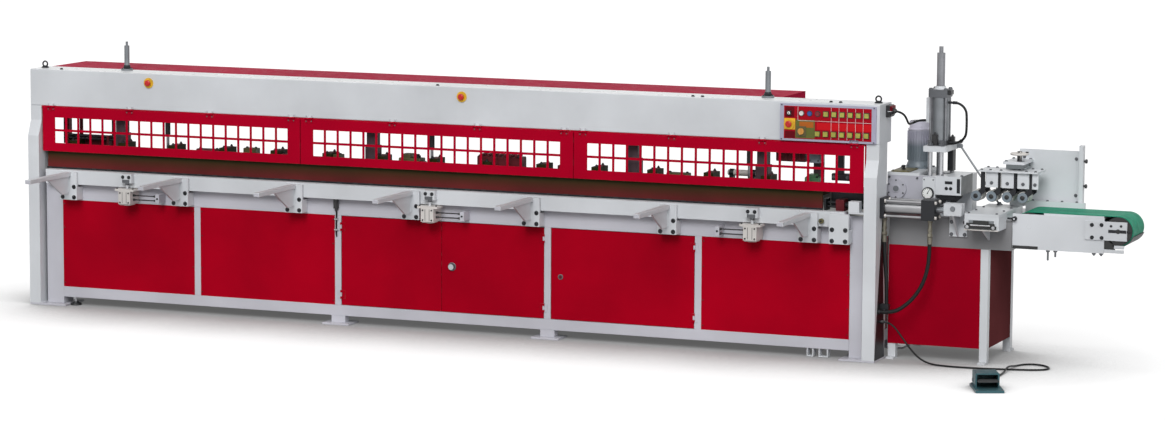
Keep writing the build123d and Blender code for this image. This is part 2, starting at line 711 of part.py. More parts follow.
def moving_half(place, stand):
    """Two outer knuckles with the leaf on the moving sheet."""
    inner = HINGE_RADIUS + LEAF_CLEAR
    start = KNUCKLE_HALF + KNUCKLE_GAP
    half = start + KNUCKLE_LENGTH
    body = block(-half, half, stand - LEAF_THICKNESS, stand, -LEAF_LENGTH, -inner)
    for x0, x1 in ((-half, -start), (start, half)):
        body += block(x0, x1, stand - LEAF_THICKNESS, stand, -inner, 0)
        body += rod_x(x0, x1, 0, 0, HINGE_RADIUS)
    bore = PIN_RADIUS + PIN_CLEARANCE
    return place * (body - rod_x(-half, half, 0, 0, bore))


# Main frame
def make_end_posts():
    """Two hollow end posts with the cable glands on the right one."""
    w = TUBE_WALL
    outer = [(0, FOOT_THICKNESS), (0, STEP_HEIGHT), (POST_STEP, STEP_HEIGHT + STEP_RISE),
             (POST_STEP, BOX_BOTTOM), (POST_DEPTH, BOX_BOTTOM), (POST_DEPTH, FOOT_THICKNESS)]
    inner = [(w, FOOT_THICKNESS), (w, STEP_HEIGHT), (POST_STEP + w, STEP_HEIGHT + STEP_RISE),
             (POST_STEP + w, BOX_BOTTOM - w), (POST_DEPTH - w, BOX_BOTTOM - w),
             (POST_DEPTH - w, FOOT_THICKNESS)]
    posts = []
    for x0 in (0, BODY_LENGTH - POST_WIDTH):
        posts.append(prism_x(outer, x0, x0 + POST_WIDTH) - prism_x(inner, x0 + w, x0 + POST_WIDTH - w))
    hole = PUSH_ROD_RADIUS + PUSH_ROD_CLEARANCE
    posts[1] -= rod_x(BODY_LENGTH - POST_WIDTH, BODY_LENGTH, PUSH_Y, PUSH_Z, hole)
    end = BODY_LENGTH + GLAND_LENGTH
    cable, hose = PEDAL_CABLE[0], HOSE_RIGHT[-1]
    posts.append(rod_x(BODY_LENGTH, end, cable[1], cable[2], CABLE_GLAND_RADIUS))
    posts.append(rod_x(BODY_LENGTH, end, hose[1], hose[2], GLAND_RADIUS))
    elbow = HOSE_LEFT[-1]
    posts.append(block(BODY_LENGTH, BODY_LENGTH + ELBOW_REACH, elbow[1] - GLAND_RADIUS,
                       elbow[1] + GLAND_RADIUS, elbow[2] - 2 * GLAND_RADIUS, elbow[2]))
    return posts


def make_base_frame():
    """Welded cabinet frame of hollow bars on foot plates."""
    front, back = FRAME_SETBACK, FRAME_BACK
    legs_x = ((LEG_LEFT, PANEL_LEFT), (PANEL_RIGHT, LEG_RIGHT))
    rails_y = ((front, front + RAIL_DEPTH), (back - RAIL_DEPTH, back))
    frame = []
    for x0, x1 in legs_x:
        for y0, y1 in ((front, front + LEG_DEPTH), (back - LEG_DEPTH, back)):
            frame.append(tube_z(x0, x1, y0, y1, FOOT_THICKNESS, TABLE_BOTTOM))
        for z0, z1 in ((RAIL_BOTTOM, RAIL_TOP), (TOP_RAIL_BOTTOM, TABLE_BOTTOM)):
            frame.append(tube_y(x0, x1, front + LEG_DEPTH, back - LEG_DEPTH, z0, z1))
    for y0, y1 in rails_y:
        frame.append(tube_x(PANEL_LEFT, PANEL_RIGHT, y0, y1, RAIL_BOTTOM, RAIL_TOP))
        frame.append(tube_x(PANEL_LEFT, PANEL_RIGHT, y0, y1, TOP_RAIL_BOTTOM, TABLE_BOTTOM))
        for x0, x1 in upright_edges():
            frame.append(tube_z(x0, x1, y0, y1, RAIL_TOP, TOP_RAIL_BOTTOM))
    for x0, x1 in upright_edges():
        frame.append(tube_y(x0, x1, rails_y[0][1], rails_y[1][0], RAIL_BOTTOM, RAIL_TOP))
        frame.append(tube_y(x0, x1, rails_y[0][1], rails_y[1][0], TOP_RAIL_BOTTOM, TABLE_BOTTOM))
    pan_x0, pan_x1 = bay_edges()[PAIR_BAY]
    frame.append(block(pan_x0, pan_x1, rails_y[0][1] - PAN_LAP, rails_y[1][0] + PAN_LAP,
                       RAIL_TOP, RAIL_TOP + PAN_THICKNESS))
    return frame + make_feet(rails_y)


def make_feet(rails_y):
    """Foot plates with anchor holes at the ends and short legs in the middle."""
    feet = []
    anchor_front, anchor_back = anchor_rows()
    for x0, x1, hole_x in ((0, PANEL_LEFT + FOOT_OVERHANG, POST_WIDTH / 2),
                           (PANEL_RIGHT - FOOT_OVERHANG, BODY_LENGTH, BODY_LENGTH - POST_WIDTH / 2)):
        for y0, y1, hole_y in ((0, POST_DEPTH + FOOT_OVERHANG, anchor_front),
                               (FRAME_BACK - LEG_DEPTH, FRAME_BACK + FOOT_OVERHANG, anchor_back)):
            plate = block(x0, x1, y0, y1, 0, FOOT_THICKNESS)
            feet.append(plate - rod_z(hole_x, hole_y, 0, FOOT_THICKNESS, ANCHOR_HOLE_RADIUS))
    for x0, x1 in upright_edges()[1:3]:
        leg_x0 = (x0 + x1 - FOOT_LEG_WIDTH) / 2
        leg_x1 = leg_x0 + FOOT_LEG_WIDTH
        for y0, y1 in rails_y:
            feet.append(block(leg_x0, leg_x1, y0, y1, FOOT_THICKNESS, RAIL_BOTTOM))
            feet.append(block(leg_x0 - FOOT_OVERHANG, leg_x1 + FOOT_OVERHANG, y0 - FOOT_OVERHANG,
                              y1 + FOOT_OVERHANG, 0, FOOT_THICKNESS))
    return feet


def anchor_rows():
    """Y of the front and rear anchor holes."""
    return POST_DEPTH + FOOT_OVERHANG / 2, FRAME_BACK - LEG_DEPTH / 2


def make_top_box():
    """Closed girder over the posts with the bosses of two stop buttons and a connector."""
    w = BOX_WALL
    girder = fillet(block(0, BODY_LENGTH, BOX_FRONT, BOX_BACK, BOX_BOTTOM, BOX_TOP).edges()
                    .filter_by(Axis.X), BOX_EDGE_RADIUS)
    girder -= block(w, BODY_LENGTH - w, BOX_FRONT + w, BOX_BACK - w, BOX_BOTTOM + w, BOX_TOP - w)
    middle = (BOX_BOTTOM + BOX_TOP) / 2
    for index in range(ACCESS_COUNT):
        x = BODY_LENGTH * (index + 1) / (ACCESS_COUNT + 1)
        girder -= block(x - ACCESS_WIDTH / 2, x + ACCESS_WIDTH / 2, BOX_BACK - w, BOX_BACK,
                        middle - ACCESS_HEIGHT / 2, middle + ACCESS_HEIGHT / 2)
    bosses = [stop_base(x, BOX_FRONT, BOX_BOTTOM + STOP_HEIGHT) for x in STOP_PLACES]
    y, z = HEAD_CABLE[0][1:]
    plug = block(BODY_LENGTH, BODY_LENGTH + PLUG_LENGTH, y - GLAND_RADIUS, y + GLAND_RADIUS,
                 z - GLAND_RADIUS, z + GLAND_RADIUS)
    return [girder] + bosses + [plug]


def make_rear_cover():
    """Folded sheet cover behind the girder, open below."""
    s = COVER_SHEET
    x0, x1 = COVER_LEFT, BODY_LENGTH - COVER_RIGHT_GAP
    y0, y1 = BOX_BACK, BOX_BACK + COVER_DEPTH
    return [block(x0, x1, y0, y1, BOX_TOP - s, BOX_TOP),
            block(x0, x1, y1 - s, y1, BOX_BOTTOM, BOX_TOP - s),
            block(x0, x0 + s, y0, y1 - s, BOX_BOTTOM, BOX_TOP - s),
            block(x1 - s, x1, y0, y1 - s, BOX_BOTTOM, BOX_TOP - s)]


# Window doors
def door_edges(index):
    """Left and right edge of one window door."""
    start = POST_WIDTH + DOOR_SIDE_GAP
    span = BODY_LENGTH - 2 * start + DOOR_GAP
    left = start + span / WINDOW_DOOR_COUNT * index
    return left, left + span / WINDOW_DOOR_COUNT - DOOR_GAP


def window_hinge_places(index):
    """Places of the hinges of one window door."""
    x0, x1 = door_edges(index)
    step = (x1 - x0 - 2 * WINDOW_HINGE_INSET) / (WINDOW_HINGES - 1)
    axis_y, axis_z = window_axis()
    return [Pos(x0 + WINDOW_HINGE_INSET + step * i, axis_y, axis_z) for i in range(WINDOW_HINGES)]


def window_axis():
    """Y and Z of the window doors' hinge line."""
    return BOX_FRONT - DOOR_SHEET - HINGE_STAND, BOX_BOTTOM - DOOR_TOP_GAP / 2


def make_window_door(index):
    """Sheet door with a grid of panes and its hinge leaves."""
    x0, x1 = door_edges(index)
    top = BOX_BOTTOM - DOOR_TOP_GAP
    bottom = top - DOOR_HEIGHT
    front = BOX_FRONT - DOOR_SHEET
    door = block(x0, x1, front, BOX_FRONT, bottom, top)
    pitch_x = (x1 - x0 - 2 * WINDOW_SIDE + WINDOW_BAR) / WINDOW_COLUMNS
    pitch_z = (WINDOW_HEIGHT + WINDOW_BAR) / WINDOW_ROWS
    for column in range(WINDOW_COLUMNS):
        for row in range(WINDOW_ROWS):
            px = x0 + WINDOW_SIDE + pitch_x * column
            pz = bottom + WINDOW_SILL + pitch_z * row
            door -= block(px, px + pitch_x - WINDOW_BAR, front, BOX_FRONT, pz, pz + pitch_z - WINDOW_BAR)
    for place in window_hinge_places(index):
        door += moving_half(place, HINGE_STAND)
    return [door]


# Cabinet doors and fixed panels
def cabinet_layout():
    """Left edge, right edge and hinge side of each cabinet door."""
    edges = bay_edges()
    pair0, pair1 = edges[PAIR_BAY]
    side0, side1 = edges[SIDE_BAY]
    middle = (pair0 + pair1) / 2
    return {"cabinet_door_left": (pair0 + PANEL_GAP, middle - PANEL_GAP / 2, -1),
            "cabinet_door_right": (middle + PANEL_GAP / 2, pair1 - PANEL_GAP, 1),
            "cabinet_door_side": (side0 + PANEL_GAP, side1 - PANEL_GAP, 1)}


def cabinet_axis(name):
    """X and Y of the hinge line of one cabinet door."""
    x0, x1, side = cabinet_layout()[name]
    x = x1 + PANEL_GAP / 2 if side > 0 else x0 - PANEL_GAP / 2
    return x, FRAME_SETBACK - CABINET_HINGE_STAND


def cabinet_hinge_places(name):
    """Places of the two hinges of one cabinet door."""
    side = cabinet_layout()[name][2]
    x, y = cabinet_axis(name)
    levels = (RAIL_TOP + CABINET_HINGE_INSET, TOP_RAIL_BOTTOM - CABINET_HINGE_INSET)
    return [Pos(x, y, z) * Rot(0, 90 * side, 0) for z in levels]


def make_cabinet_door(name):
    """Tray door with returned edges, its hinge leaves and the hole of its catch."""
    x0, x1, side = cabinet_layout()[name]
    y0 = FRAME_SETBACK + PANEL_INSET
    y1 = y0 + DOOR_RETURN
    z0, z1 = RAIL_TOP + PANEL_GAP, TOP_RAIL_BOTTOM - PANEL_GAP
    s = PANEL_SHEET
    door = block(x0, x1, y0, y1, z0, z1) - block(x0 + s, x1 - s, y0 + s, y1, z0 + s, z1 - s)
    for place in cabinet_hinge_places(name):
        door += moving_half(place, CABINET_HINGE_STAND + PANEL_INSET)
    if name == "cabinet_door_right":
        x, z = knob_place()
        door -= rod_y(x, y0, y0 + s, z, CAM_RADIUS + SLIDE_FIT)
    if name == "cabinet_door_side":
        door += rod_y(x0 + LOCK_INSET, y0 - s, y0, LOCK_LEVEL, LOCK_RADIUS)
    return [door]


def knob_place():
    """X and Z of the door knob."""
    return cabinet_layout()["cabinet_door_right"][0] + KNOB_INSET, KNOB_LEVEL


def make_door_knob():
    """Round knob on its spindle, with the catch behind the sheet."""
    x, z = knob_place()
    face = FRAME_SETBACK + PANEL_INSET
    back = face + PANEL_SHEET
    gap = SLIDE_FIT
    knob = rod_y(x, face - gap - KNOB_HEIGHT, face - gap, z, KNOB_RADIUS)
    knob += rod_y(x, face - gap, back + gap + CAM_THICKNESS, z, CAM_RADIUS)
    knob += block(x - CAM_RADIUS, x + CAM_RADIUS, back + gap, back + gap + CAM_THICKNESS,
                  z - CAM_LENGTH, z + CAM_RADIUS)
    return [knob]


def make_hinges():
    """Fixed halves of all hinges with their pins."""
    halves = []
    for index in range(WINDOW_DOOR_COUNT):
        stand = HINGE_STAND + DOOR_SHEET
        halves += [fixed_half(place, stand) for place in window_hinge_places(index)]
    for name in cabinet_layout():
        halves += [fixed_half(place, CABINET_HINGE_STAND) for place in cabinet_hinge_places(name)]
    return halves


def make_fixed_panels():
    """Sheets of the fixed bays, the rear, the ends and the infeed stand."""
    s = PANEL_SHEET
    front = FRAME_SETBACK + PANEL_INSET
    rear = FRAME_BACK - PANEL_INSET
    edges = bay_edges()
    panels = []
    for index, (x0, x1) in enumerate(edges):
        if index not in (PAIR_BAY, SIDE_BAY):
            panels.append(block(x0, x1, front, front + s, RAIL_TOP, TOP_RAIL_BOTTOM))
        panels.append(block(x0, x1, rear - s, rear, RAIL_TOP, TOP_RAIL_BOTTOM))
    for x0 in (LEG_LEFT + PANEL_INSET, LEG_RIGHT - PANEL_INSET - s):
        panels.append(block(x0, x0 + s, FRAME_SETBACK + LEG_DEPTH, FRAME_BACK - LEG_DEPTH,
                            RAIL_TOP, TOP_RAIL_BOTTOM))
    z0 = STAND_RAIL_BOTTOM
    x0, x1 = STAND_LEFT, STAND_RIGHT
    y0, y1 = STAND_FRONT, STAND_BACK
    panels.append(block(x0, x1 - STAND_LEG, y0, y0 + s, z0, BED_BOTTOM))
    panels.append(block(x1 - PANEL_INSET - s, x1 - PANEL_INSET, y0 + STAND_LEG, y1 - STAND_LEG,
                        z0, BED_BOTTOM))
    panels.append(block(x0 + STAND_LEG, x1 - STAND_LEG, y1 - PANEL_INSET - s, y1 - PANEL_INSET,
                        z0, BED_BOTTOM))
    return panels


# Table, front fence and arms
def make_work_table():
    """Table plate with its rear fence and the end block on its shelf."""
    back = REAR_FENCE_Y + REAR_FENCE_THICKNESS
    shelf_x1 = BODY_LENGTH - POST_WIDTH
    shelf_x0 = shelf_x1 - SHELF_LENGTH
    return [block(LEG_LEFT, LEG_RIGHT, FRAME_SETBACK, FRAME_BACK, TABLE_BOTTOM, TABLE_TOP),
            block(LEG_LEFT, LEG_RIGHT, REAR_FENCE_Y, back, TABLE_TOP, TABLE_TOP + REAR_FENCE_HEIGHT),
            block(shelf_x0, shelf_x1, 0, FRAME_SETBACK, FENCE_TOP - SHELF_THICKNESS, FENCE_TOP),
            block(shelf_x0, shelf_x0 + END_BLOCK, 0, FRAME_SETBACK, FENCE_TOP, FENCE_TOP + END_BLOCK)]


def make_front_fence():
    """Hollow fence beam with its lift brackets and rods."""
    x0 = POST_WIDTH + FENCE_LEFT_GAP
    x1 = BODY_LENGTH - POST_WIDTH - FENCE_RIGHT_GAP
    fence = [tube_x(x0, x1, 0, FENCE_DEPTH, FENCE_BOTTOM, FENCE_TOP)]
    for x in LIFT_PLACES:
        half = LIFT_BRACKET_WIDTH / 2
        bottom = FENCE_TOP - LIFT_BRACKET_HEIGHT
        rod_bottom = LIFT_TOP - FENCE_LIFT - LIFT_ROD_GUIDE
        fence.append(block(x - half, x + half, -LIFT_BRACKET_DEPTH, 0, bottom, FENCE_TOP)
                     + rod_z(x, LIFT_ROD_Y, rod_bottom, bottom, LIFT_ROD_RADIUS))
    return fence


def make_lift_cylinder(x, side):
    """Compact cylinder under the fence, its block on the rail and two air tubes."""
    half = LIFT_BODY / 2
    neck = LIFT_TOP - LIFT_FLANGE_THICKNESS
    y0, y1 = LIFT_ROD_Y - half, LIFT_ROD_Y + half
    body = block(x - half, x + half, y0, y1, LIFT_BOTTOM, neck)
    body += block(x - LIFT_FLANGE_WIDTH / 2, x + LIFT_FLANGE_WIDTH / 2, y0, y1, neck, LIFT_TOP)
    body -= rod_z(x, LIFT_ROD_Y, LIFT_BOTTOM + LIFT_END_WALL, LIFT_TOP, LIFT_ROD_RADIUS + SLIDE_FIT)
    pieces = [body, block(x - half, x + half, y1, FRAME_SETBACK, LIFT_BOTTOM, neck)]
    start, end = x + side * half, x + side * (half + AIR_TUBE_RUN)
    middle = (LIFT_BOTTOM + neck) / 2
    for z in (middle - AIR_TUBE_PITCH / 2, middle + AIR_TUBE_PITCH / 2):
        pieces.append(rod_x(min(start, end), max(start, end), LIFT_ROD_Y, z, AIR_TUBE_RADIUS))
    reach = end + side * AIR_TUBE_PITCH
    pieces.append(block(min(end, reach), max(end, reach), LIFT_ROD_Y - AIR_BLOCK_REACH, FRAME_SETBACK,
                        middle - AIR_TUBE_PITCH, middle + AIR_TUBE_PITCH))
    return pieces


def make_air_cylinders():
    """Fence lift cylinders, the guide columns of the press beam, two jacks and the side clamp."""
    pieces = []
    for index, x in enumerate(LIFT_PLACES):
        side = -1 if index == len(LIFT_PLACES) - 1 else 1
        pieces += make_lift_cylinder(x, side)
    half = COLUMN_SIZE / 2
    for x in COLUMN_PLACES:
        column = block(x - half, x + half, COLUMN_Y - half, COLUMN_Y + half, COLUMN_BOTTOM, BOX_BOTTOM)
        pieces.append(column - rod_z(x, COLUMN_Y, COLUMN_BOTTOM, BOX_BOTTOM, GUIDE_ROD_RADIUS + SLIDE_FIT))
    for x in (COLUMN_PLACES[0], COLUMN_PLACES[-1]):
        y = BOX_FRONT + JACK_SIDE
        collar = BOX_TOP + JACK_FLANGE_THICKNESS
        top = collar + JACK_HEIGHT
        jack = rod_z(x, y, BOX_TOP, collar, JACK_FLANGE_RADIUS) + rod_z(x, y, collar, top, JACK_RADIUS)
        pieces.append(jack + rod_z(x, y, top, top + JACK_TIP_HEIGHT, JACK_TIP_RADIUS))
    x = (INFEED_X0 + INFEED_X1) / 2
    z = LANE_TOP - INFEED_PLATE - APRON_HEIGHT / 2
    pieces.append(block(x - CLAMP_BODY_WIDTH / 2, x + CLAMP_BODY_WIDTH / 2, INFEED_FRONT - CLAMP_BODY_PROUD,
                        INFEED_FRONT, z - CLAMP_BODY_HEIGHT / 2, z + CLAMP_BODY_HEIGHT / 2))
    return pieces


def guide_plate_place():
    """Middle of the fence's end guide plate along X."""
    return arm_places()[-1] + FLANGE_WIDTH + GUIDE_PLATE_GAP


def make_support_arms():
    """Seven arms on flanges, each with its gusset, and the guide plate at the fence's end."""
    pieces = []
    spacer_top = FLANGE_BOTTOM + SPACER_HEIGHT
    for x in arm_places() + [guide_plate_place()]:
        half = FLANGE_WIDTH / 2
        pieces.append(block(x - half, x + half, FLANGE_FRONT, FLANGE_BACK, FLANGE_BOTTOM, FLANGE_TOP))
        pieces.append(block(x - half, x + half, FLANGE_BACK, FRAME_SETBACK, FLANGE_BOTTOM, spacer_top))
    for x in arm_places():
        half, web = ARM_WIDTH / 2, GUSSET_THICKNESS / 2
        bottom = FLANGE_TOP - ARM_THICKNESS
        toe = FLANGE_BOTTOM + GUSSET_LIFT
        pieces.append(block(x - half, x + half, FLANGE_FRONT - ARM_LENGTH, FLANGE_FRONT, bottom, FLANGE_TOP))
        outline = [(FLANGE_FRONT, bottom), (FLANGE_FRONT - GUSSET_REACH, bottom),
                   (FLANGE_FRONT - GUSSET_TOE, toe), (FLANGE_FRONT, toe)]
        pieces.append(prism_x(outline, x - web, x + web))
    return pieces


def hex_bolt(x, z):
    """Hexagon head on the front of a flange."""
    head = extrude(Plane.XZ * RegularPolygon(BOLT_RADIUS, 6), amount=BOLT_HEIGHT)
    return Pos(x, FLANGE_FRONT, z) * head


def make_bolts_and_eyes():
    """Flange bolts of the arms and the lifting eyes on the girder."""
    pieces = []
    low = FLANGE_BOTTOM + BOLT_EDGE
    for x in arm_places() + [guide_plate_place()]:
        for bolt_x in (x - BOLT_PITCH_X / 2, x + BOLT_PITCH_X / 2):
            pieces += [hex_bolt(bolt_x, low), hex_bolt(bolt_x, low + BOLT_PITCH_Z)]
    for x in (EYE_INSET, BODY_LENGTH - EYE_INSET):
        y = (BOX_FRONT + BOX_BACK) / 2
        collar = BOX_TOP + EYE_COLLAR_HEIGHT
        eye = rod_z(x, y, BOX_TOP, collar, EYE_COLLAR_RADIUS)
        eye += Pos(x, y, collar + EYE_RADIUS) * Rot(90, 0, 0) * Torus(EYE_RADIUS, EYE_WIRE)
        pieces.append(eye)
    return pieces


def make_press_beam():
    """Hold-down beam: skirt with its pad strip, platen with shoes, and guide rods."""
    x0, x1 = BEAM_LEFT, BEAM_LEFT + BEAM_LENGTH
    y1 = BEAM_FRONT + SKIRT_THICKNESS
    skirt = block(x0, x1, BEAM_FRONT, y1, BEAM_BOTTOM, BEAM_TOP)
    strip = block(x0, x1, BEAM_FRONT, y1, BEAM_BOTTOM - PAD_HEIGHT, BEAM_BOTTOM)
    platen = block(x0, x1, y1, BEAM_BACK, BEAM_TOP - PLATEN_HEIGHT, BEAM_TOP)
    count = int(BEAM_LENGTH // SHOE_PITCH)
    first = (x0 + x1) / 2 + SHOE_SHIFT - SHOE_PITCH * (count - 1) / 2
    for i in range(count):
        x = first + SHOE_PITCH * i
        platen += block(x - SHOE_WIDTH / 2, x + SHOE_WIDTH / 2, y1, BEAM_BACK, BEAM_TOP,
                        BEAM_TOP + SHOE_HEIGHT)
    rod_top = BEAM_TOP + GUIDE_ROD_LENGTH
    rods = [rod_z(x, COLUMN_Y, BEAM_TOP, rod_top, GUIDE_ROD_RADIUS) for x in COLUMN_PLACES]
    for rod in rods:
        platen -= rod
    return [skirt, strip, platen] + rods


# Controls
def stop_base(x, face, z):
    """Round boss that carries a stop button."""
    return ring_y(x, face - STOP_BASE_HEIGHT, face, z, STOP_BASE_RADIUS, STOP_STEM_RADIUS + SLIDE_FIT)


def stop_head(x, face, z):
    """Mushroom head on its stem."""
    neck = face - STOP_BASE_HEIGHT - STOP_STEM_SHOW
    end = face - STOP_TRAVEL - 2 * SLIDE_FIT
    head = rod_y(x, neck - STOP_HEAD_HEIGHT, neck, z, STOP_HEAD_RADIUS)
    return head + rod_y(x, neck, end, z, STOP_STEM_RADIUS)


def panel_stop_place():
    """X and Z of the stop button on the control panel."""
    return CONTROL_X0 + PANEL_STOP_X, CONTROL_Z0 + PANEL_STOP_Z


def switch_place():
    """X and Z of the main switch."""
    return CONTROL_X0 + SWITCH_X, CONTROL_Z0 + SWITCH_Z


def button_place(index):
    """X and Z of one push button, counted from the left."""
    from_right = BUTTON_COUNT - 1 - index
    return CONTROL_X1 - BUTTON_RIGHT - BUTTON_PITCH * from_right, CONTROL_Z0 + BUTTON_ROW


def make_control_panel():
    """Panel plate with its raised field, button pockets and switch bases."""
    plate = block(CONTROL_X0, CONTROL_X1, CONTROL_FRONT, BOX_FRONT, CONTROL_Z0, CONTROL_Z1)
    plate += block(CONTROL_X0 + FIELD_BORDER, CONTROL_X1 - FIELD_BORDER, FIELD_FRONT, CONTROL_FRONT,
                   CONTROL_Z0 + FIELD_BORDER / 2, CONTROL_Z1 - FIELD_BORDER / 2)
    half = BUTTON_SIZE / 2 + BUTTON_CLEARANCE
    for index in range(BUTTON_COUNT):
        x, z = button_place(index)
        plate -= block(x - half, x + half, FIELD_FRONT, FIELD_FRONT + BUTTON_POCKET, z - half, z + half)
    for place in window_hinge_places(WINDOW_DOOR_COUNT - 1):
        x = place.position.X
        reach = KNUCKLE_HALF + KNUCKLE_GAP + KNUCKLE_LENGTH + KNUCKLE_GAP
        if x + reach > CONTROL_X0:
            top = window_axis()[1] + LEAF_LENGTH + KNUCKLE_GAP
            plate -= block(x - reach, x + reach, FIELD_FRONT, BOX_FRONT, BOX_BOTTOM, top)
    x, z = panel_stop_place()
    base = stop_base(x, FIELD_FRONT, z)
    x, z = switch_place()
    size = SWITCH_PLATE / 2
    front = FIELD_FRONT - STOP_BASE_HEIGHT
    switch_plate = block(x - size, x + size, front, FIELD_FRONT, z - size, z + size)
    return [plate, base, switch_plate - rod_y(x, front, FIELD_FRONT, z, STOP_STEM_RADIUS + SLIDE_FIT)]


def make_panel_lamps():
    """Row of indicator lamps, round at the left and square at the right, and the key unit."""
    lamps = []
    z = CONTROL_Z0 + LAMP_ROW
    front = FIELD_FRONT - LAMP_PROUD
    half = LAMP_SIZE / 2
    for index in range(LAMP_COUNT):
        x = CONTROL_X1 - BUTTON_RIGHT - BUTTON_PITCH * index
        if index < LAMP_SQUARES:
            lamps.append(block(x - half, x + half, front, FIELD_FRONT, z - half, z + half))
        else:
            lamps.append(rod_y(x, front, FIELD_FRONT, z, half))
    x = panel_stop_place()[0]
    half = KEY_BOX / 2
    lamps.append(block(x - half, x + half, FIELD_FRONT - STOP_HEAD_HEIGHT, FIELD_FRONT, z - half, z + half))
    return lamps


def make_main_switch():
    """Rotary switch knob with its grip bar."""
    x, z = switch_place()
    face = FIELD_FRONT - STOP_BASE_HEIGHT - SLIDE_FIT
    knob = rod_y(x, face - SWITCH_GRIP, face, z, SWITCH_RADIUS)
    knob += block(x - SWITCH_GRIP / 2, x + SWITCH_GRIP / 2, face - SWITCH_DEPTH, face - SWITCH_GRIP,
                  z - SWITCH_RADIUS, z + SWITCH_RADIUS)
    return [knob + rod_y(x, face, FIELD_FRONT - SLIDE_FIT, z, STOP_STEM_RADIUS)]


def make_push_button(index):
    """Square button cap that slides in its pocket."""
    x, z = button_place(index)
    half = BUTTON_SIZE / 2
    back = FIELD_FRONT + BUTTON_POCKET - BUTTON_TRAVEL - 2 * BUTTON_CLEARANCE
    return [block(x - half, x + half, FIELD_FRONT - BUTTON_PROUD, back, z - half, z + half)]


# Infeed stand
def make_stand_frame():
    """Stand of hollow legs and rails, the bed on top and the anchor of the press cylinder."""
    x0, x1, y0, y1 = STAND_LEFT, STAND_RIGHT, STAND_FRONT, STAND_BACK
    leg, s = STAND_LEG, PANEL_SHEET
    z0, z1 = STAND_RAIL_BOTTOM, STAND_RAIL_BOTTOM + STAND_RAIL_HEIGHT
    pieces = []
    for lx, ly0, ly1 in ((x0, y0 + s, y0 + leg), (x1 - leg, y0, y0 + leg),
                         (x0, y1 - leg, y1), (x1 - leg, y1 - leg, y1)):
        pieces.append(tube_z(lx, lx + leg, ly0, ly1, FOOT_THICKNESS, BED_BOTTOM))
    inset = PANEL_INSET + s
    pieces.append(tube_x(x0 + leg, x1 - leg, y0 + s, y0 + leg, z0, z1))
    pieces.append(tube_x(x0 + leg, x1 - leg, y1 - leg, y1 - inset, z0, z1))
    pieces.append(tube_y(x0, x0 + leg, y0 + leg, y1 - leg, z0, z1))
    pieces.append(tube_y(x1 - leg, x1 - inset, y0 + leg, y1 - leg, z0, z1))
    for lx in (x0, x1 - leg):
        for fy0, fy1, hole in stand_feet():
            foot = block(lx, lx + leg, fy0, fy1, 0, FOOT_THICKNESS)
            pieces.append(foot - rod_z(lx + leg / 2, hole, 0, FOOT_THICKNESS, ANCHOR_HOLE_RADIUS))
    return pieces + make_bed() + make_anchor_bracket()


def stand_feet():
    """Front edge, back edge and anchor hole of the stand's feet along Y."""
    reach = STAND_FOOT - STAND_LEG
    return ((STAND_FRONT - reach, STAND_FRONT + STAND_LEG, STAND_FRONT - reach / 2),
            (STAND_BACK - STAND_LEG, STAND_BACK + reach, STAND_BACK + reach / 2))


def make_bed():
    """Plate box that carries the head, the infeed table and the conveyor."""
    x0, x1, y0, y1 = STAND_LEFT, BED_RIGHT, STAND_FRONT, STAND_BACK
    p = BED_PLATE
    under = BED_TOP - p
    return [block(x0, x1, y0, y1, under, BED_TOP),
            block(x0, x1, y0, y0 + p, BED_BOTTOM, under),
            block(x0, x1, y1 - p, y1, BED_BOTTOM, under),
            block(x0, x0 + p, y0 + p, y1 - p, BED_BOTTOM, under),
            block(x1 - p, x1, y0 + p, y1 - p, BED_BOTTOM, under)]


def make_anchor_bracket():
    """Bracket on the bed's front that holds the press cylinder's clevis, and a second gusset."""
    p = BRACKET_PLATE
    shelf_top = clevis_bottom()
    shelf = shelf_top - p
    back = STAND_FRONT
    front = PUSH_Y - CLEVIS_WIDTH / 2
    x0, x1 = CLEVIS_START, CLEVIS_END
    middle = (x0 + x1) / 2
    foot = shelf - BRACKET_HEIGHT
    web = [(back - p, foot), (back - p, shelf), (front, shelf)]
    pieces = [block(x0, x1, back - p, back, foot, shelf),
              block(x0, x1, front, back, shelf, shelf_top),
              prism_x(web, middle - p / 2, middle + p / 2)]
    x = (INFEED_X0 + INFEED_X1) / 2
    apron_bottom = LANE_TOP - INFEED_PLATE - APRON_HEIGHT
    apron_back = INFEED_FRONT + APRON_THICKNESS
    brace = [(back, BED_BOTTOM + BRACE_FOOT), (back, apron_bottom), (apron_back, apron_bottom)]
    pieces.append(prism_x(brace, x - p / 2, x + p / 2))
    pad = BRACE_PAD / 2
    pieces.append(block(x - pad, x + pad, apron_back, back, apron_bottom, apron_bottom + p))
    return pieces


def clevis_bottom():
    """Underside of the clevis."""
    return PUSH_Z - CLEVIS_DROP


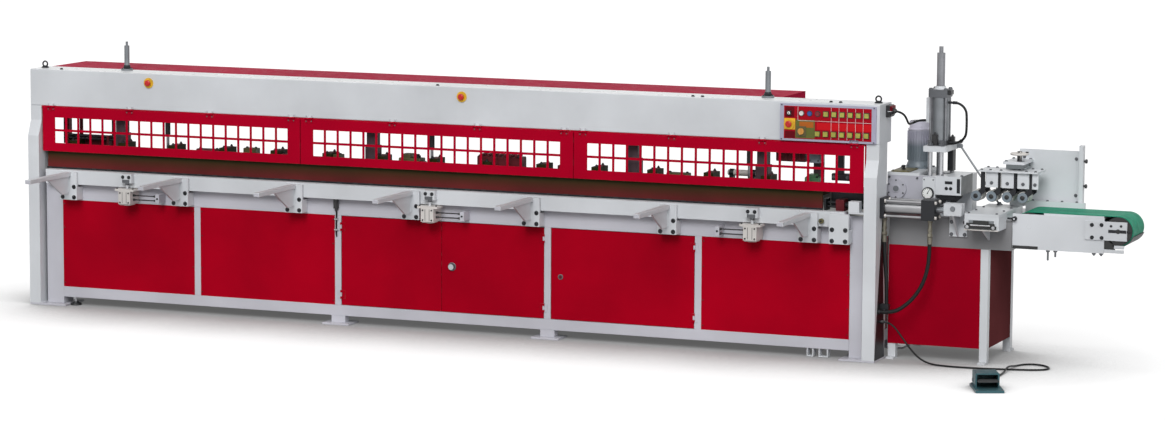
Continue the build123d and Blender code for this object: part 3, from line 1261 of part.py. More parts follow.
def make_infeed_table():
    """Plate with its apron, cheeks and spacer, and the guide fence with its tower behind it."""
    x0, x1, y0, y1 = INFEED_X0, INFEED_X1, INFEED_FRONT, INFEED_BACK
    t = APRON_THICKNESS
    under = LANE_TOP - INFEED_PLATE
    low = under - APRON_HEIGHT
    pieces = [block(x0, x1, y0, y1, under, LANE_TOP),
              block(x0, x1, STAND_FRONT, y1, BED_TOP, under),
              block(x0, x1, y0, y0 + t, low, under),
              block(x0, x0 + t, y0 + t, STAND_FRONT, low, under),
              block(x1 - t, x1, y0 + t, STAND_FRONT, low, under)]
    tower_x0, tower_x1 = BRIDGE_MID - TOWER_WIDTH / 2, BRIDGE_MID + TOWER_WIDTH / 2
    pieces.append(block(tower_x0, tower_x1, TOWER_FRONT, y1, LANE_TOP, TOWER_HEAD_BOTTOM))
    head = block(tower_x0, SCREW_X + TOWER_HEAD_LAP, ROLLER_Y - TOWER_HEAD_REACH, y1,
                 TOWER_HEAD_BOTTOM, TOWER_HEAD_TOP)
    bore = SCREW_RADIUS + SLIDE_FIT
    pieces.append(head - rod_z(SCREW_X, ROLLER_Y, TOWER_HEAD_BOTTOM, TOWER_HEAD_TOP, bore))
    plate_x0 = BRIDGE_MID
    plate_x1 = plate_x0 + GUIDE_PLATE_WIDTH
    rail_y0 = CONVEYOR_BACK - CONVEYOR_SIDE
    rail_y1 = rail_y0 + GUIDE_RAIL_DEPTH
    plate_y1 = y1 + GUIDE_PLATE_SHEET
    low = CONVEYOR_SIDE_TOP
    pieces.append(block(plate_x0, plate_x1, y1, plate_y1, LANE_TOP, LANE_TOP + GUIDE_PLATE_HEIGHT))
    pieces.append(block(BED_RIGHT, BED_RIGHT + GUIDE_LENGTH, rail_y0, rail_y1, low, low + GUIDE_RAIL_HEIGHT))
    pieces.append(block(plate_x1, plate_x1 + GUIDE_POST_WIDTH, rail_y1, plate_y1, low,
                        low + GUIDE_POST_HEIGHT))
    return pieces


def lever_place():
    """X and Z of the clamp lever's pin."""
    return BED_RIGHT + LEVER_HUB_RADIUS, CONVEYOR_SIDE_TOP - LEVER_DROP


def make_clamp_lever():
    """Hand lever on its hub."""
    x, z = lever_place()
    back = CONVEYOR_FRONT - SLIDE_FIT
    front = back - LEVER_HUB_LENGTH
    middle = (front + back) / 2
    lever = rod_y(x, front, back, z, LEVER_HUB_RADIUS)
    lever += rod_x(x - LEVER_LENGTH, x, middle, z, LEVER_RADIUS)
    return [lever - rod_y(x, front, back, z, LEVER_PIN_RADIUS + SLIDE_FIT)]


# Feed head
def make_feed_head():
    """Housing in front of the lane, blocks over and behind it, top plate, bearing cap and gauge."""
    x0, x1 = HEAD_X0, HEAD_X1
    bore = rod_y(SHAFT_X, HEAD_FRONT - CAP_THICKNESS, LANE_FRONT, SHAFT_HEIGHT, SHAFT_RADIUS + SLIDE_FIT)
    housing = block(x0, x1, HEAD_FRONT, LANE_FRONT, BED_TOP, HEAD_TOP)
    cap = rod_y(SHAFT_X, HEAD_FRONT - CAP_THICKNESS, HEAD_FRONT, SHAFT_HEIGHT, CAP_RADIUS)
    side_x1 = x1 + SIDE_BLOCK_LENGTH
    gauge_x = x0 + GAUGE_PLACE
    plate_back = REAR_BLOCK_BACK + HEAD_PLATE_BACK
    side_bottom, side_top = BED_TOP + SIDE_BLOCK_RISE, BED_TOP + SIDE_BLOCK_HEIGHT
    return [housing - bore, cap - bore,
            block(x1, side_x1, HEAD_FRONT, LANE_FRONT, side_bottom, side_top),
            block(x1 + BRIDGE_BLOCK_GAP, side_x1, LANE_FRONT, LANE_BACK, side_bottom, side_top),
            block(x0, x0 + REAR_BLOCK_LENGTH, LANE_BACK, REAR_BLOCK_BACK, BED_TOP, HEAD_TOP),
            block(x0, x0 + HEAD_PLATE_LENGTH, HEAD_FRONT, plate_back, HEAD_TOP, HEAD_TOP + HEAD_PLATE),
            rod_y(gauge_x, HEAD_FRONT - GAUGE_DEPTH, HEAD_FRONT, GAUGE_HEIGHT, GAUGE_RADIUS)]


def make_feed_shaft():
    """Shaft through the housing with the feed roller over the lane."""
    start = LANE_FRONT + FEED_ROLLER_INSET
    end = LANE_BACK - FEED_ROLLER_INSET
    stub = HEAD_FRONT - CAP_THICKNESS - SHAFT_STUB
    shaft = rod_y(SHAFT_X, stub, start, SHAFT_HEIGHT, SHAFT_RADIUS)
    return [shaft + rod_y(SHAFT_X, start, end, SHAFT_HEIGHT, FEED_ROLLER_RADIUS)]


def motor_place():
    """X and Y of the head motor's axis."""
    return HEAD_X0 + MOTOR_PLACE, (LANE_BACK + REAR_BLOCK_BACK) / 2


def make_head_motor():
    """Upright flange motor with its fan cap and terminal box."""
    x, y = motor_place()
    base = HEAD_TOP + HEAD_PLATE
    flange = base + MOTOR_FLANGE_HEIGHT
    top = flange + MOTOR_HEIGHT
    half = TERMINAL_BOX / 2
    motor = rod_z(x, y, base, flange, MOTOR_FLANGE_RADIUS) + rod_z(x, y, flange, top, MOTOR_RADIUS)
    motor += rod_z(x, y, top, top + MOTOR_CAP_HEIGHT, MOTOR_CAP_RADIUS)
    middle = (flange + top) / 2
    motor += block(x - half, x + half, y, y + MOTOR_RADIUS + half, middle - half, middle + half)
    return [motor]


def make_clamp_cylinder():
    """Upright clamp cylinder on its plate and four columns."""
    x, y = CLAMP_X, CLAMP_Y
    z0 = CLAMP_PLATE_BOTTOM
    z1 = z0 + CLAMP_PLATE_THICKNESS
    rod_hole = rod_z(x, y, z0, CLAMP_BARREL_BOTTOM, CLAMP_ROD_RADIUS + SLIDE_FIT)
    edge = 2 * CLAMP_COLUMN_RADIUS
    rows = ((HEAD_FRONT + LANE_FRONT) / 2, LANE_BACK + edge)
    half = CLAMP_PLATE_WIDTH / 2
    middle = x + CLAMP_COLUMN_SHIFT
    plate = block(middle - half, middle + half, rows[0] - edge, rows[1] + edge, z0, z1)
    cap = CLAMP_CAP_SIZE / 2
    base = block(x - cap, x + cap, y - cap, y + cap, z1, CLAMP_BARREL_BOTTOM)
    reach = x + cap + CLAMP_FITTING
    upper, lower, entry = CLAMP_HOSE[0], CLAMP_HOSE[-1], HEAD_CABLE[-1]
    box = HEAD_CABLE_DIAMETER
    barrel = rod_z(x, y, CLAMP_BARREL_BOTTOM, CLAMP_BARREL_TOP, CLAMP_BARREL_RADIUS)
    barrel += rod_x(x, reach, upper[1], upper[2], CLAMP_HOSE_DIAMETER / 2)
    barrel += block(x - cap - HEAD_BOX_LENGTH, x, entry[1] - box, entry[1] + box, entry[2] - box,
                    CLAMP_BARREL_TOP - HEAD_BOX_DROP)
    barrel -= rod_z(x, y, CLAMP_BARREL_BOTTOM, CLAMP_BARREL_TOP, CLAMP_BORE_RADIUS)
    top = block(x - cap, x + cap, y - cap, y + cap, CLAMP_BARREL_TOP, CLAMP_CAP_TOP)
    top -= rod_z(x, y, CLAMP_BARREL_TOP, CLAMP_CAP_TOP, CLAMP_SHAFT_RADIUS + SLIDE_FIT)
    pieces = [plate - rod_hole, base - rod_hole, barrel, top]
    side = SIDE_BLOCK_HEIGHT + BED_TOP
    for dx, foot in ((-CLAMP_COLUMN_SPAN / 2, HEAD_TOP), (CLAMP_COLUMN_SPAN / 2, side)):
        pieces.append(rod_z(middle + dx, rows[0], foot, z0, CLAMP_COLUMN_RADIUS))
    for dx in (-CLAMP_COLUMN_SPAN / 2, CLAMP_COLUMN_SPAN / 2):
        pieces.append(rod_z(middle + dx, rows[1], HEAD_TOP, z0, CLAMP_COLUMN_RADIUS))
    pieces.append(rod_x(x + cap, reach, lower[1], lower[2], CLAMP_HOSE_DIAMETER / 2))
    return pieces


def make_clamp_ram():
    """Through rod with its piston and the clamp foot."""
    x, y = CLAMP_X, CLAMP_Y
    piston_top = CLAMP_BARREL_TOP - CLAMP_PISTON_DROP
    piston = piston_top - CLAMP_PISTON_HEIGHT
    shaft_top = CLAMP_CAP_TOP + CLAMP_SHAFT_HEIGHT
    foot_top = CLAMP_FOOT_BOTTOM + CLAMP_FOOT_THICKNESS
    half = CLAMP_FOOT / 2
    ram = rod_z(x, y, piston, piston_top, CLAMP_BORE_RADIUS - CLAMP_FIT)
    ram += rod_z(x, y, piston_top, shaft_top, CLAMP_SHAFT_RADIUS)
    ram += rod_z(x, y, shaft_top, shaft_top + CLAMP_TIP_HEIGHT, CLAMP_TIP_RADIUS)
    ram += rod_z(x, y, foot_top, piston, CLAMP_ROD_RADIUS)
    ram += block(x - half, x + half, y - half, y + half, CLAMP_FOOT_BOTTOM, foot_top)
    return [ram]


def make_press_cylinder():
    """Tie-rod cylinder on the right post with its stud, clevis and hose fittings."""
    y, z = PUSH_Y, PUSH_Z
    half = PUSH_CAP_SIZE / 2
    start, end = PUSH_BARREL_START, PUSH_BARREL_END
    left = block(BODY_LENGTH, start, y - half, y + half, z - half, z + half)
    left -= rod_x(BODY_LENGTH, start, y, z, PUSH_ROD_RADIUS + SLIDE_FIT)
    barrel = rod_x(start, end, y, z, PUSH_BARREL_RADIUS) - rod_x(start, end, y, z, PUSH_BORE_RADIUS)
    pieces = [left, barrel, block(end, PUSH_CAP_END, y - half, y + half, z - half, z + half)]
    for dy in (-PUSH_TIE_SPREAD, PUSH_TIE_SPREAD):
        for dz in (-PUSH_TIE_SPREAD, PUSH_TIE_SPREAD):
            pieces.append(rod_x(start, end, y + dy, z + dz, PUSH_TIE_RADIUS))
    pieces.append(rod_x(PUSH_CAP_END, CLEVIS_START, y, z, PUSH_STUD_RADIUS))
    low = clevis_bottom()
    pieces.append(block(CLEVIS_START, CLEVIS_END, y - CLEVIS_WIDTH / 2, y + CLEVIS_WIDTH / 2,
                        low, low + CLEVIS_HEIGHT))
    for x in (BODY_LENGTH + PUSH_LEFT_CAP / 2, end + FITTING_INSET):
        pieces.append(rod_z(x, y, z - half - FITTING_LENGTH, z - half, FITTING_RADIUS))
    return pieces


def make_press_ram():
    """Piston and rod through the right post with the pusher block and its guide rods."""
    y, z = PUSH_Y, PUSH_Z
    piston = PUSH_BARREL_START + PUSH_STROKE + PUSH_END_GAP
    ram = rod_x(piston, piston + PUSH_PISTON_LENGTH, y, z, PUSH_BORE_RADIUS - CLAMP_FIT)
    ram += rod_x(PUSH_BLOCK_END, piston, y, z, PUSH_ROD_RADIUS)
    half = PUSH_BLOCK_WIDTH / 2
    low, high = z - PUSH_BLOCK_HEIGHT / 2, z + PUSH_BLOCK_HEIGHT / 2
    pusher = block(PUSH_BLOCK_START, PUSH_BLOCK_END, y - half, y + half, low, high)
    shoe = PUSH_BLOCK_START - PUSH_GUIDE_LENGTH
    plate = block(shoe - BRACKET_PLATE, shoe, y - half, y + half, low, high)
    rods = [rod_x(shoe, PUSH_BLOCK_START, y, z + dz, PUSH_GUIDE_RADIUS)
            for dz in (-PUSH_GUIDE_SPREAD / 2, PUSH_GUIDE_SPREAD / 2)]
    return [ram, pusher, plate] + rods


# Hold-down rollers
def roller_x(index):
    """X of one hold-down roller."""
    return BRIDGE_X0 + ROLLER_FIRST + ROLLER_PITCH * index


def make_roller_bridge():
    """Bridge plate with its slider, nut and the trailing plates of the rollers."""
    plate = block(BRIDGE_X0, BRIDGE_X1, BRIDGE_FRONT, BRIDGE_BACK, BRIDGE_BOTTOM, BRIDGE_TOP)
    nut_bottom = BRIDGE_BOTTOM - SCREW_NUT_HEIGHT
    nut = rod_z(SCREW_X, ROLLER_Y, nut_bottom, BRIDGE_BOTTOM, SCREW_NUT_RADIUS)
    thread = rod_z(SCREW_X, ROLLER_Y, nut_bottom, BRIDGE_TOP, SCREW_RADIUS + SLIDE_FIT)
    half = SLIDER_WIDTH / 2
    slider = block(BRIDGE_MID - half, BRIDGE_MID + half, BRIDGE_BACK, TOWER_FRONT - SLIDER_CLEARANCE,
                   BRIDGE_TOP - SLIDER_HEIGHT, BRIDGE_TOP)
    pieces = [plate - thread, nut - thread, slider]
    inner = ROLLER_LENGTH / 2 + HANGER_GAP
    z, t, w = ROLLER_HEIGHT, TRAIL_HEIGHT / 2, HANGER_WIDTH / 2
    for index in range(ROLLER_COUNT):
        xr = roller_x(index)
        xh = xr + HANGER_OFFSET
        outline = [(xh - w, BRIDGE_BOTTOM), (xh - w, z + 2 * TRAIL_HEIGHT), (xr - t, z + t), (xr - t, z - t),
                   (xr + t, z - t), (xh + w, z + TRAIL_HEIGHT), (xh + w, BRIDGE_BOTTOM)]
        for y0 in (ROLLER_Y - inner - HANGER_THICKNESS, ROLLER_Y + inner):
            hanger = prism_y(outline, y0, y0 + HANGER_THICKNESS)
            pieces.append(hanger - rod_y(xr, y0, y0 + HANGER_THICKNESS, z, AXLE_RADIUS + SLIDE_FIT))
    return pieces


def make_press_roller(index):
    """Hold-down roller with its axle."""
    half = ROLLER_LENGTH / 2
    reach = half + HANGER_GAP + HANGER_THICKNESS
    x = roller_x(index)
    return [rod_y(x, ROLLER_Y - half, ROLLER_Y + half, ROLLER_HEIGHT, ROLLER_RADIUS)
            + rod_y(x, ROLLER_Y - reach, ROLLER_Y + reach, ROLLER_HEIGHT, AXLE_RADIUS)]


def make_handwheel():
    """Spoked handwheel on its screw."""
    x, y = SCREW_X, ROLLER_Y
    z = TOWER_HEAD_TOP + WHEEL_RISE
    low = BRIDGE_BOTTOM - SCREW_NUT_HEIGHT - BRIDGE_DOWN
    rim = WHEEL_RADIUS - WHEEL_RIM
    hub = rod_z(x, y, TOWER_HEAD_TOP + SLIDE_FIT, z + WHEEL_HUB_RADIUS, WHEEL_HUB_RADIUS)
    spokes = rod_x(x - rim, x + rim, y, z, WHEEL_SPOKE_RADIUS)
    spokes += rod_y(x, y - rim, y + rim, z, WHEEL_SPOKE_RADIUS)
    ring = Pos(x, y, z) * Rot(0, 0, WHEEL_TURN) * Torus(rim, WHEEL_RIM)
    return [hub + rod_z(x, y, low, z, SCREW_RADIUS) + spokes + ring]


# Conveyor
def make_conveyor_frame():
    """Side plates, tail plates, slider bed, cross tubes and the lever's pin."""
    x0, x1 = BED_RIGHT, SIDE_END
    low, high = CONVEYOR_SIDE_BOTTOM, CONVEYOR_SIDE_TOP
    inner0, inner1 = CONVEYOR_FRONT + CONVEYOR_SIDE, CONVEYOR_BACK - CONVEYOR_SIDE
    bore = DRUM_AXLE_RADIUS + SLIDE_FIT
    pieces = []
    for y0, y1 in ((CONVEYOR_FRONT, inner0), (inner1, CONVEYOR_BACK)):
        pieces.append(block(x0, x1, y0, y1, low, high) - rod_y(DRIVE_X, y0, y1, DRUM_Z, bore))
    tail0 = x1 - TAIL_OVERLAP
    tail1 = tail0 + TAIL_PLATE_LENGTH
    z0, z1 = DRUM_Z - TAIL_PLATE_HEIGHT / 2, DRUM_Z + TAIL_PLATE_HEIGHT / 2
    t = TAIL_PLATE_THICKNESS
    for y0, y1 in ((CONVEYOR_FRONT - t, CONVEYOR_FRONT), (CONVEYOR_BACK, CONVEYOR_BACK + t)):
        pieces.append(block(tail0, tail1, y0, y1, z0, z1) - rod_y(TAIL_X, y0, y1, DRUM_Z, bore))
    under = BELT_TOP - BELT_THICKNESS - DRUM_CLEARANCE
    bed0, bed1 = DRIVE_X + BELT_RADIUS, TAIL_X - BELT_RADIUS
    pieces.append(block(bed0, bed1, inner0, inner1, under - SLIDER_BED_HEIGHT, under))
    z0, z1 = DRUM_Z - CROSS_SIZE / 2, DRUM_Z + CROSS_SIZE / 2
    for x in (bed0 + CROSS_SIZE, x1 - 2 * CROSS_SIZE):
        pieces.append(tube_y(x, x + CROSS_SIZE, inner0, inner1, z0, z1))
    x, z = lever_place()
    pin_front = CONVEYOR_FRONT - LEVER_HUB_LENGTH - LEVER_PIN_SHOW
    pieces.append(rod_y(x, pin_front, CONVEYOR_FRONT, z, LEVER_PIN_RADIUS))
    return pieces


def make_conveyor_belt():
    """Endless belt: upper run, lower run and the two turns."""
    y0, y1, t = BELT_FRONT, BELT_BACK, BELT_THICKNESS
    bottom = DRUM_Z - BELT_RADIUS
    pieces = [block(DRIVE_X, TAIL_X, y0, y1, BELT_TOP - t, BELT_TOP),
              block(DRIVE_X, TAIL_X, y0, y1, bottom, bottom + t)]
    for x, side in ((DRIVE_X, -1), (TAIL_X, 1)):
        far = x + side * 2 * BELT_RADIUS
        half = block(min(x, far), max(x, far), y0, y1, bottom, BELT_TOP)
        pieces.append(ring_y(x, y0, y1, DRUM_Z, BELT_RADIUS, BELT_RADIUS - t) & half)
    return pieces


def make_drum(x, reach):
    """Belt drum with its axle."""
    inner0, inner1 = CONVEYOR_FRONT + CONVEYOR_SIDE, CONVEYOR_BACK - CONVEYOR_SIDE
    return [rod_y(x, inner0 + BELT_GAP, inner1 - BELT_GAP, DRUM_Z, DRUM_RADIUS)
            + rod_y(x, inner0 - reach, inner1 + reach, DRUM_Z, DRUM_AXLE_RADIUS)]


# Hydraulic unit
def make_hydraulic_unit():
    """Oil tank on the cabinet's floor with its pump motor on top."""
    x0 = bay_edges()[PAIR_BAY][0] + TANK_LEFT
    y0, z0 = TANK_FRONT, RAIL_TOP + PAN_THICKNESS
    x1, y1, z1 = x0 + TANK_LENGTH, y0 + TANK_DEPTH, z0 + TANK_HEIGHT
    middle = (y0 + y1) / 2
    pump_x0 = (x0 + x1 - PUMP_LENGTH) / 2
    saddle = block(pump_x0, pump_x0 + PUMP_LENGTH, middle - PUMP_RADIUS / 2, middle + PUMP_RADIUS / 2,
                   z1, z1 + PUMP_RISE + PUMP_RADIUS)
    pump = rod_x(pump_x0, pump_x0 + PUMP_LENGTH, middle, z1 + PUMP_RISE + PUMP_RADIUS, PUMP_RADIUS)
    w = TANK_WALL
    tank = block(x0, x1, y0, y1, z0, z1) - block(x0 + w, x1 - w, y0 + w, y1 - w, z0 + w, z1 - w)
    filler = rod_z(x0 + FILLER_INSET, y0 + FILLER_INSET, z1 - w, z1, FILLER_RADIUS)
    return [tank - filler, saddle + pump]


# Foot switch, laid out around its own middle and turned on the floor
def pedal_frame():
    """Place of the foot switch on the floor."""
    return Pos(BODY_LENGTH + PEDAL_X, PEDAL_Y, 0) * Rot(0, 0, PEDAL_TURN)


def make_pedal_base():
    """Base plate and hood of the foot switch."""
    base, half, long = PEDAL_WIDTH / 2, PEDAL_HOOD_WIDTH / 2, PEDAL_LENGTH / 2
    s, top = PEDAL_SHELL, PEDAL_HOOD_HEIGHT
    hood = long - PEDAL_HOOD_LENGTH
    pin = rod_x(-half, half, TREADLE_PIVOT, TREADLE_HEIGHT, TREADLE_PIN_RADIUS + SLIDE_FIT)
    pieces = [block(-base, base, -long, long, 0, PEDAL_BASE),
              block(-half, -half + s, hood, long, PEDAL_BASE, top - s) - pin,
              block(half - s, half, hood, long, PEDAL_BASE, top - s) - pin,
              block(-half + s, half - s, long - s, long, PEDAL_BASE, top - s),
              block(-half, half, hood, long, top - s, top),
              rod_y(0, long, long + GLAND_LENGTH, PEDAL_ENTRY, CABLE_GLAND_RADIUS)]
    return [pedal_frame() * piece for piece in pieces]


def make_foot_pedal():
    """Treadle on its cross pin, tilted up at the front."""
    half = TREADLE_WIDTH / 2
    pin_half = PEDAL_HOOD_WIDTH / 2 - SLIDE_FIT
    thick = TREADLE_THICKNESS / 2
    treadle = block(-half, half, -TREADLE_LENGTH, TREADLE_HEEL, -thick, thick)
    treadle += rod_x(-pin_half, pin_half, 0, 0, TREADLE_PIN_RADIUS)
    return [pedal_frame() * Pos(0, TREADLE_PIVOT, TREADLE_HEIGHT) * Rot(-TREADLE_TILT, 0, 0) * treadle]


# Cables and hoses
def bend_radii(points):
    """Largest even bend at each inner point of a route."""
    radii = []
    for before, corner, after in zip(points, points[1:], points[2:]):
        back, ahead = Vector(before) - Vector(corner), Vector(after) - Vector(corner)
        turn = math.radians(180 - back.get_angle(ahead))
        radii.append(ARC_SHARE * min(back.length, ahead.length) / math.tan(turn / 2))
    return radii


def make_cord(points, diameter):
    """Round tube along straight runs joined by tangent arcs."""
    radii = bend_radii(points)
    path = FilletPolyline(*points, radius=radii)
    start = Plane(origin=path @ 0, z_dir=path % 0)
    tube = sweep(start * Circle(diameter / 2), path=path)
    ratio = tube.volume / (math.pi * diameter ** 2 / 4 * path.length)
    print(f"cord {diameter:.0f} mm: {path.length:.0f} mm, least bend {min(radii):.0f} mm, fill {ratio:.4f}")
    return [tube]


# Assembly
CORDS = {"pedal_cable": (PEDAL_CABLE, CABLE_DIAMETER), "press_hose_left": (HOSE_LEFT, HOSE_DIAMETER),
         "press_hose_right": (HOSE_RIGHT, HOSE_DIAMETER), "clamp_hose": (CLAMP_HOSE, CLAMP_HOSE_DIAMETER),
         "head_cable": (HEAD_CABLE, HEAD_CABLE_DIAMETER)}


def make_pieces():
    """Every rigid piece by name, in the layout frame."""
    pieces = {
        "end_posts": make_end_posts(),
        "base_frame": make_base_frame(),
        "top_box": make_top_box(),
        "rear_cover": make_rear_cover(),
        "hinges": make_hinges(),
        "fixed_panels": make_fixed_panels(),
        "door_knob": make_door_knob(),
        "work_table": make_work_table(),
        "front_fence": make_front_fence(),
        "air_cylinders": make_air_cylinders(),
        "support_arms": make_support_arms(),
        "bolts_and_eyes": make_bolts_and_eyes(),
        "press_beam": make_press_beam(),
        "control_panel": make_control_panel(),
        "panel_lamps": make_panel_lamps(),
        "main_switch": make_main_switch(),
        "stand_frame": make_stand_frame(),
        "infeed_table": make_infeed_table(),
        "clamp_lever": make_clamp_lever(),
        "feed_head": make_feed_head(),
        "feed_shaft": make_feed_shaft(),
        "head_motor": make_head_motor(),
        "clamp_cylinder": make_clamp_cylinder(),
        "clamp_ram": make_clamp_ram(),
        "press_cylinder": make_press_cylinder(),
        "press_ram": make_press_ram(),
        "roller_bridge": make_roller_bridge(),
        "handwheel": make_handwheel(),
        "conveyor_frame": make_conveyor_frame(),
        "conveyor_belt": make_conveyor_belt(),
        "drive_drum": make_drum(DRIVE_X, CONVEYOR_SIDE),
        "tail_drum": make_drum(TAIL_X, CONVEYOR_SIDE + TAIL_PLATE_THICKNESS),
        "hydraulic_unit": make_hydraulic_unit(),
        "pedal_base": make_pedal_base(),
        "foot_pedal": make_foot_pedal(),
    }
    for index, x in enumerate(STOP_PLACES):
        pieces[f"estop_{index + 1}"] = [stop_head(x, BOX_FRONT, BOX_BOTTOM + STOP_HEIGHT)]
    x, z = panel_stop_place()
    pieces[f"estop_{len(STOP_PLACES) + 1}"] = [stop_head(x, FIELD_FRONT, z)]
    for name in cabinet_layout():
        pieces[name] = make_cabinet_door(name)
    for index in range(WINDOW_DOOR_COUNT):
        pieces[f"window_door_{index + 1}"] = make_window_door(index)
    for index in range(BUTTON_COUNT):
        pieces[f"push_button_{index + 1}"] = make_push_button(index)
    for index in range(ROLLER_COUNT):
        pieces[f"press_roller_{index + 1}"] = make_press_roller(index)
    return pieces


def origin_shift(pieces):
    """Move that puts the origin under the middle of the rigid pieces' footprint."""
    boxes = [shape.bounding_box() for shapes in pieces.values() for shape in shapes]
    x = (min(b.min.X for b in boxes) + max(b.max.X for b in boxes)) / 2
    y = (min(b.min.Y for b in boxes) + max(b.max.Y for b in boxes)) / 2
    return x, y


def main():
    """Build every piece and write one file for each."""
    os.makedirs("parts", exist_ok=True)
    pieces = make_pieces()
    x, y = origin_shift(pieces)
    for name, (route, diameter) in CORDS.items():
        pieces[name] = make_cord(route, diameter)
    for name, shapes in pieces.items():
        solids = [Pos(-x, -y, 0) * solid for shape in shapes for solid in shape.solids()]
        export_step(Compound(label=name, children=solids), f"parts/{name}.step")
    print(f"{len(pieces)} pieces, origin at {x:.3f}, {y:.3f}")


if __name__ == "__main__":
    main()
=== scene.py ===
"""Finger joint press: finishes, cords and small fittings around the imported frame."""

import logging
import math
from dataclasses import dataclass
from enum import Enum
from itertools import product

import bmesh
import bpy
from mathutils import Matrix, Vector


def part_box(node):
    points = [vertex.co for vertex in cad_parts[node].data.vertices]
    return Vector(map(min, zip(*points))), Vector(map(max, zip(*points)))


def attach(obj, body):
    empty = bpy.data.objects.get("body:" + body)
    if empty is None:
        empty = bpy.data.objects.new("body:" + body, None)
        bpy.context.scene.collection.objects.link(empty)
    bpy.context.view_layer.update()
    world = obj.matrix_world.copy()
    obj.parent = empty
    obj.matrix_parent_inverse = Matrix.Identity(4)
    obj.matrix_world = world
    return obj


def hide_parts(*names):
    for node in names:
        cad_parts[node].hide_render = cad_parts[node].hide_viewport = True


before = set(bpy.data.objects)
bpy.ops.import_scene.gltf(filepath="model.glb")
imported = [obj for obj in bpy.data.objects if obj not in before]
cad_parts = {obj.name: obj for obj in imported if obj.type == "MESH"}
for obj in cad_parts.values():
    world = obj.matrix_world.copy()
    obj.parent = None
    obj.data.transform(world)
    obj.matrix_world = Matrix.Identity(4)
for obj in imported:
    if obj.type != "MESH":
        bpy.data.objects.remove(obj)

LOG = logging.getLogger("finger_joint_press")
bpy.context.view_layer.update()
MM = 0.001
POST_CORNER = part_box("end_posts")[0]
SHARP = math.radians(35.0)
EASED = math.radians(60.0)
EASE_STEPS = 2
WELD_REACH = 1e-5
NOISE_RANGE = (0.3, 0.7)
DUST = (196, 192, 184)
WHITE = (1.0, 1.0, 1.0, 1.0)

Pair = tuple[float, float]
Pairs = tuple[Pair, ...]
Point = tuple[float, float, float]
Colour = tuple[float, float, float]
Places = tuple[float, ...]
Spread = float | Places
Profile = list[Pair]
Socket = bpy.types.NodeSocket
Piece = bpy.types.Object
Area = tuple[Point, Point, "Finish"]


class Axis(Enum):
    """The direction that a turned or extruded form runs along, and the two across it."""

    X = (0, 1, 2)
    Y = (1, 0, 2)
    Z = (2, 0, 1)


class Facing(Enum):
    """Where a fastener's head or a cord's end points: its axis and the way along it."""

    RIGHT = (Axis.X, 1)
    FRONT = (Axis.Y, -1)
    REAR = (Axis.Y, 1)
    UP = (Axis.Z, 1)
    DOWN = (Axis.Z, -1)


def place(point: Point) -> Vector:
    """Carry a point from millimetres off the left post's front foot into the frame."""
    x, y, z = point
    return Vector((POST_CORNER.x + x * MM, POST_CORNER.y + y * MM, z * MM))


def row(start: float, pitch: float, count: int) -> Places:
    """List places at an even pitch."""
    return tuple(start + pitch * step for step in range(count))


def grid(x: Spread, y: Spread, z: Spread) -> list[Point]:
    """List the points of a grid of one or several x, y and z, z changing first."""
    return list(product(*(part if isinstance(part, tuple) else (part,) for part in (x, y, z))))


def arc(x: float, y: float, radius: float, angles: Places) -> Profile:
    """List the corners of a curve about a middle, at angles in degrees."""
    turns = [math.radians(angle) for angle in angles]
    return [(x + radius * math.cos(turn), y + radius * math.sin(turn)) for turn in turns]


def lift(axis: Axis, level: float, pair: Pair) -> Point:
    """Set a pair of places across an axis at a level along it."""
    point = dict(zip(axis.value, (level, *pair)))
    return point[0], point[1], point[2]


def around(centre: Point, axis: Axis, radius: float, count: int, start: float) -> list[Point]:
    """List points at even steps round an axis, from a start angle in degrees."""
    level, x, y = (centre[i] for i in axis.value)
    return [lift(axis, level, pair)
            for pair in arc(x, y, radius, row(start, 360.0 / count, count))]


def linear(colour: Colour) -> tuple[float, float, float, float]:
    """Turn a colour as seen, in steps of 255, into the shader's linear values.

    Args:
        colour: red, green and blue, 0 to 255.

    Returns:
        Linear red, green, blue and a full alpha.
    """
    def step(value: float) -> float:
        """Undo the display curve for one channel."""
        part = min(max(value / 255.0, 0.0), 1.0)
        return part / 12.92 if part <= 0.04045 else ((part + 0.055) / 1.055) ** 2.4

    return (*(step(channel) for channel in colour), 1.0)


def shade(colour: Colour, share: float) -> Colour:
    """Lighten or darken a colour by a share of itself."""
    return tuple(channel * share for channel in colour)


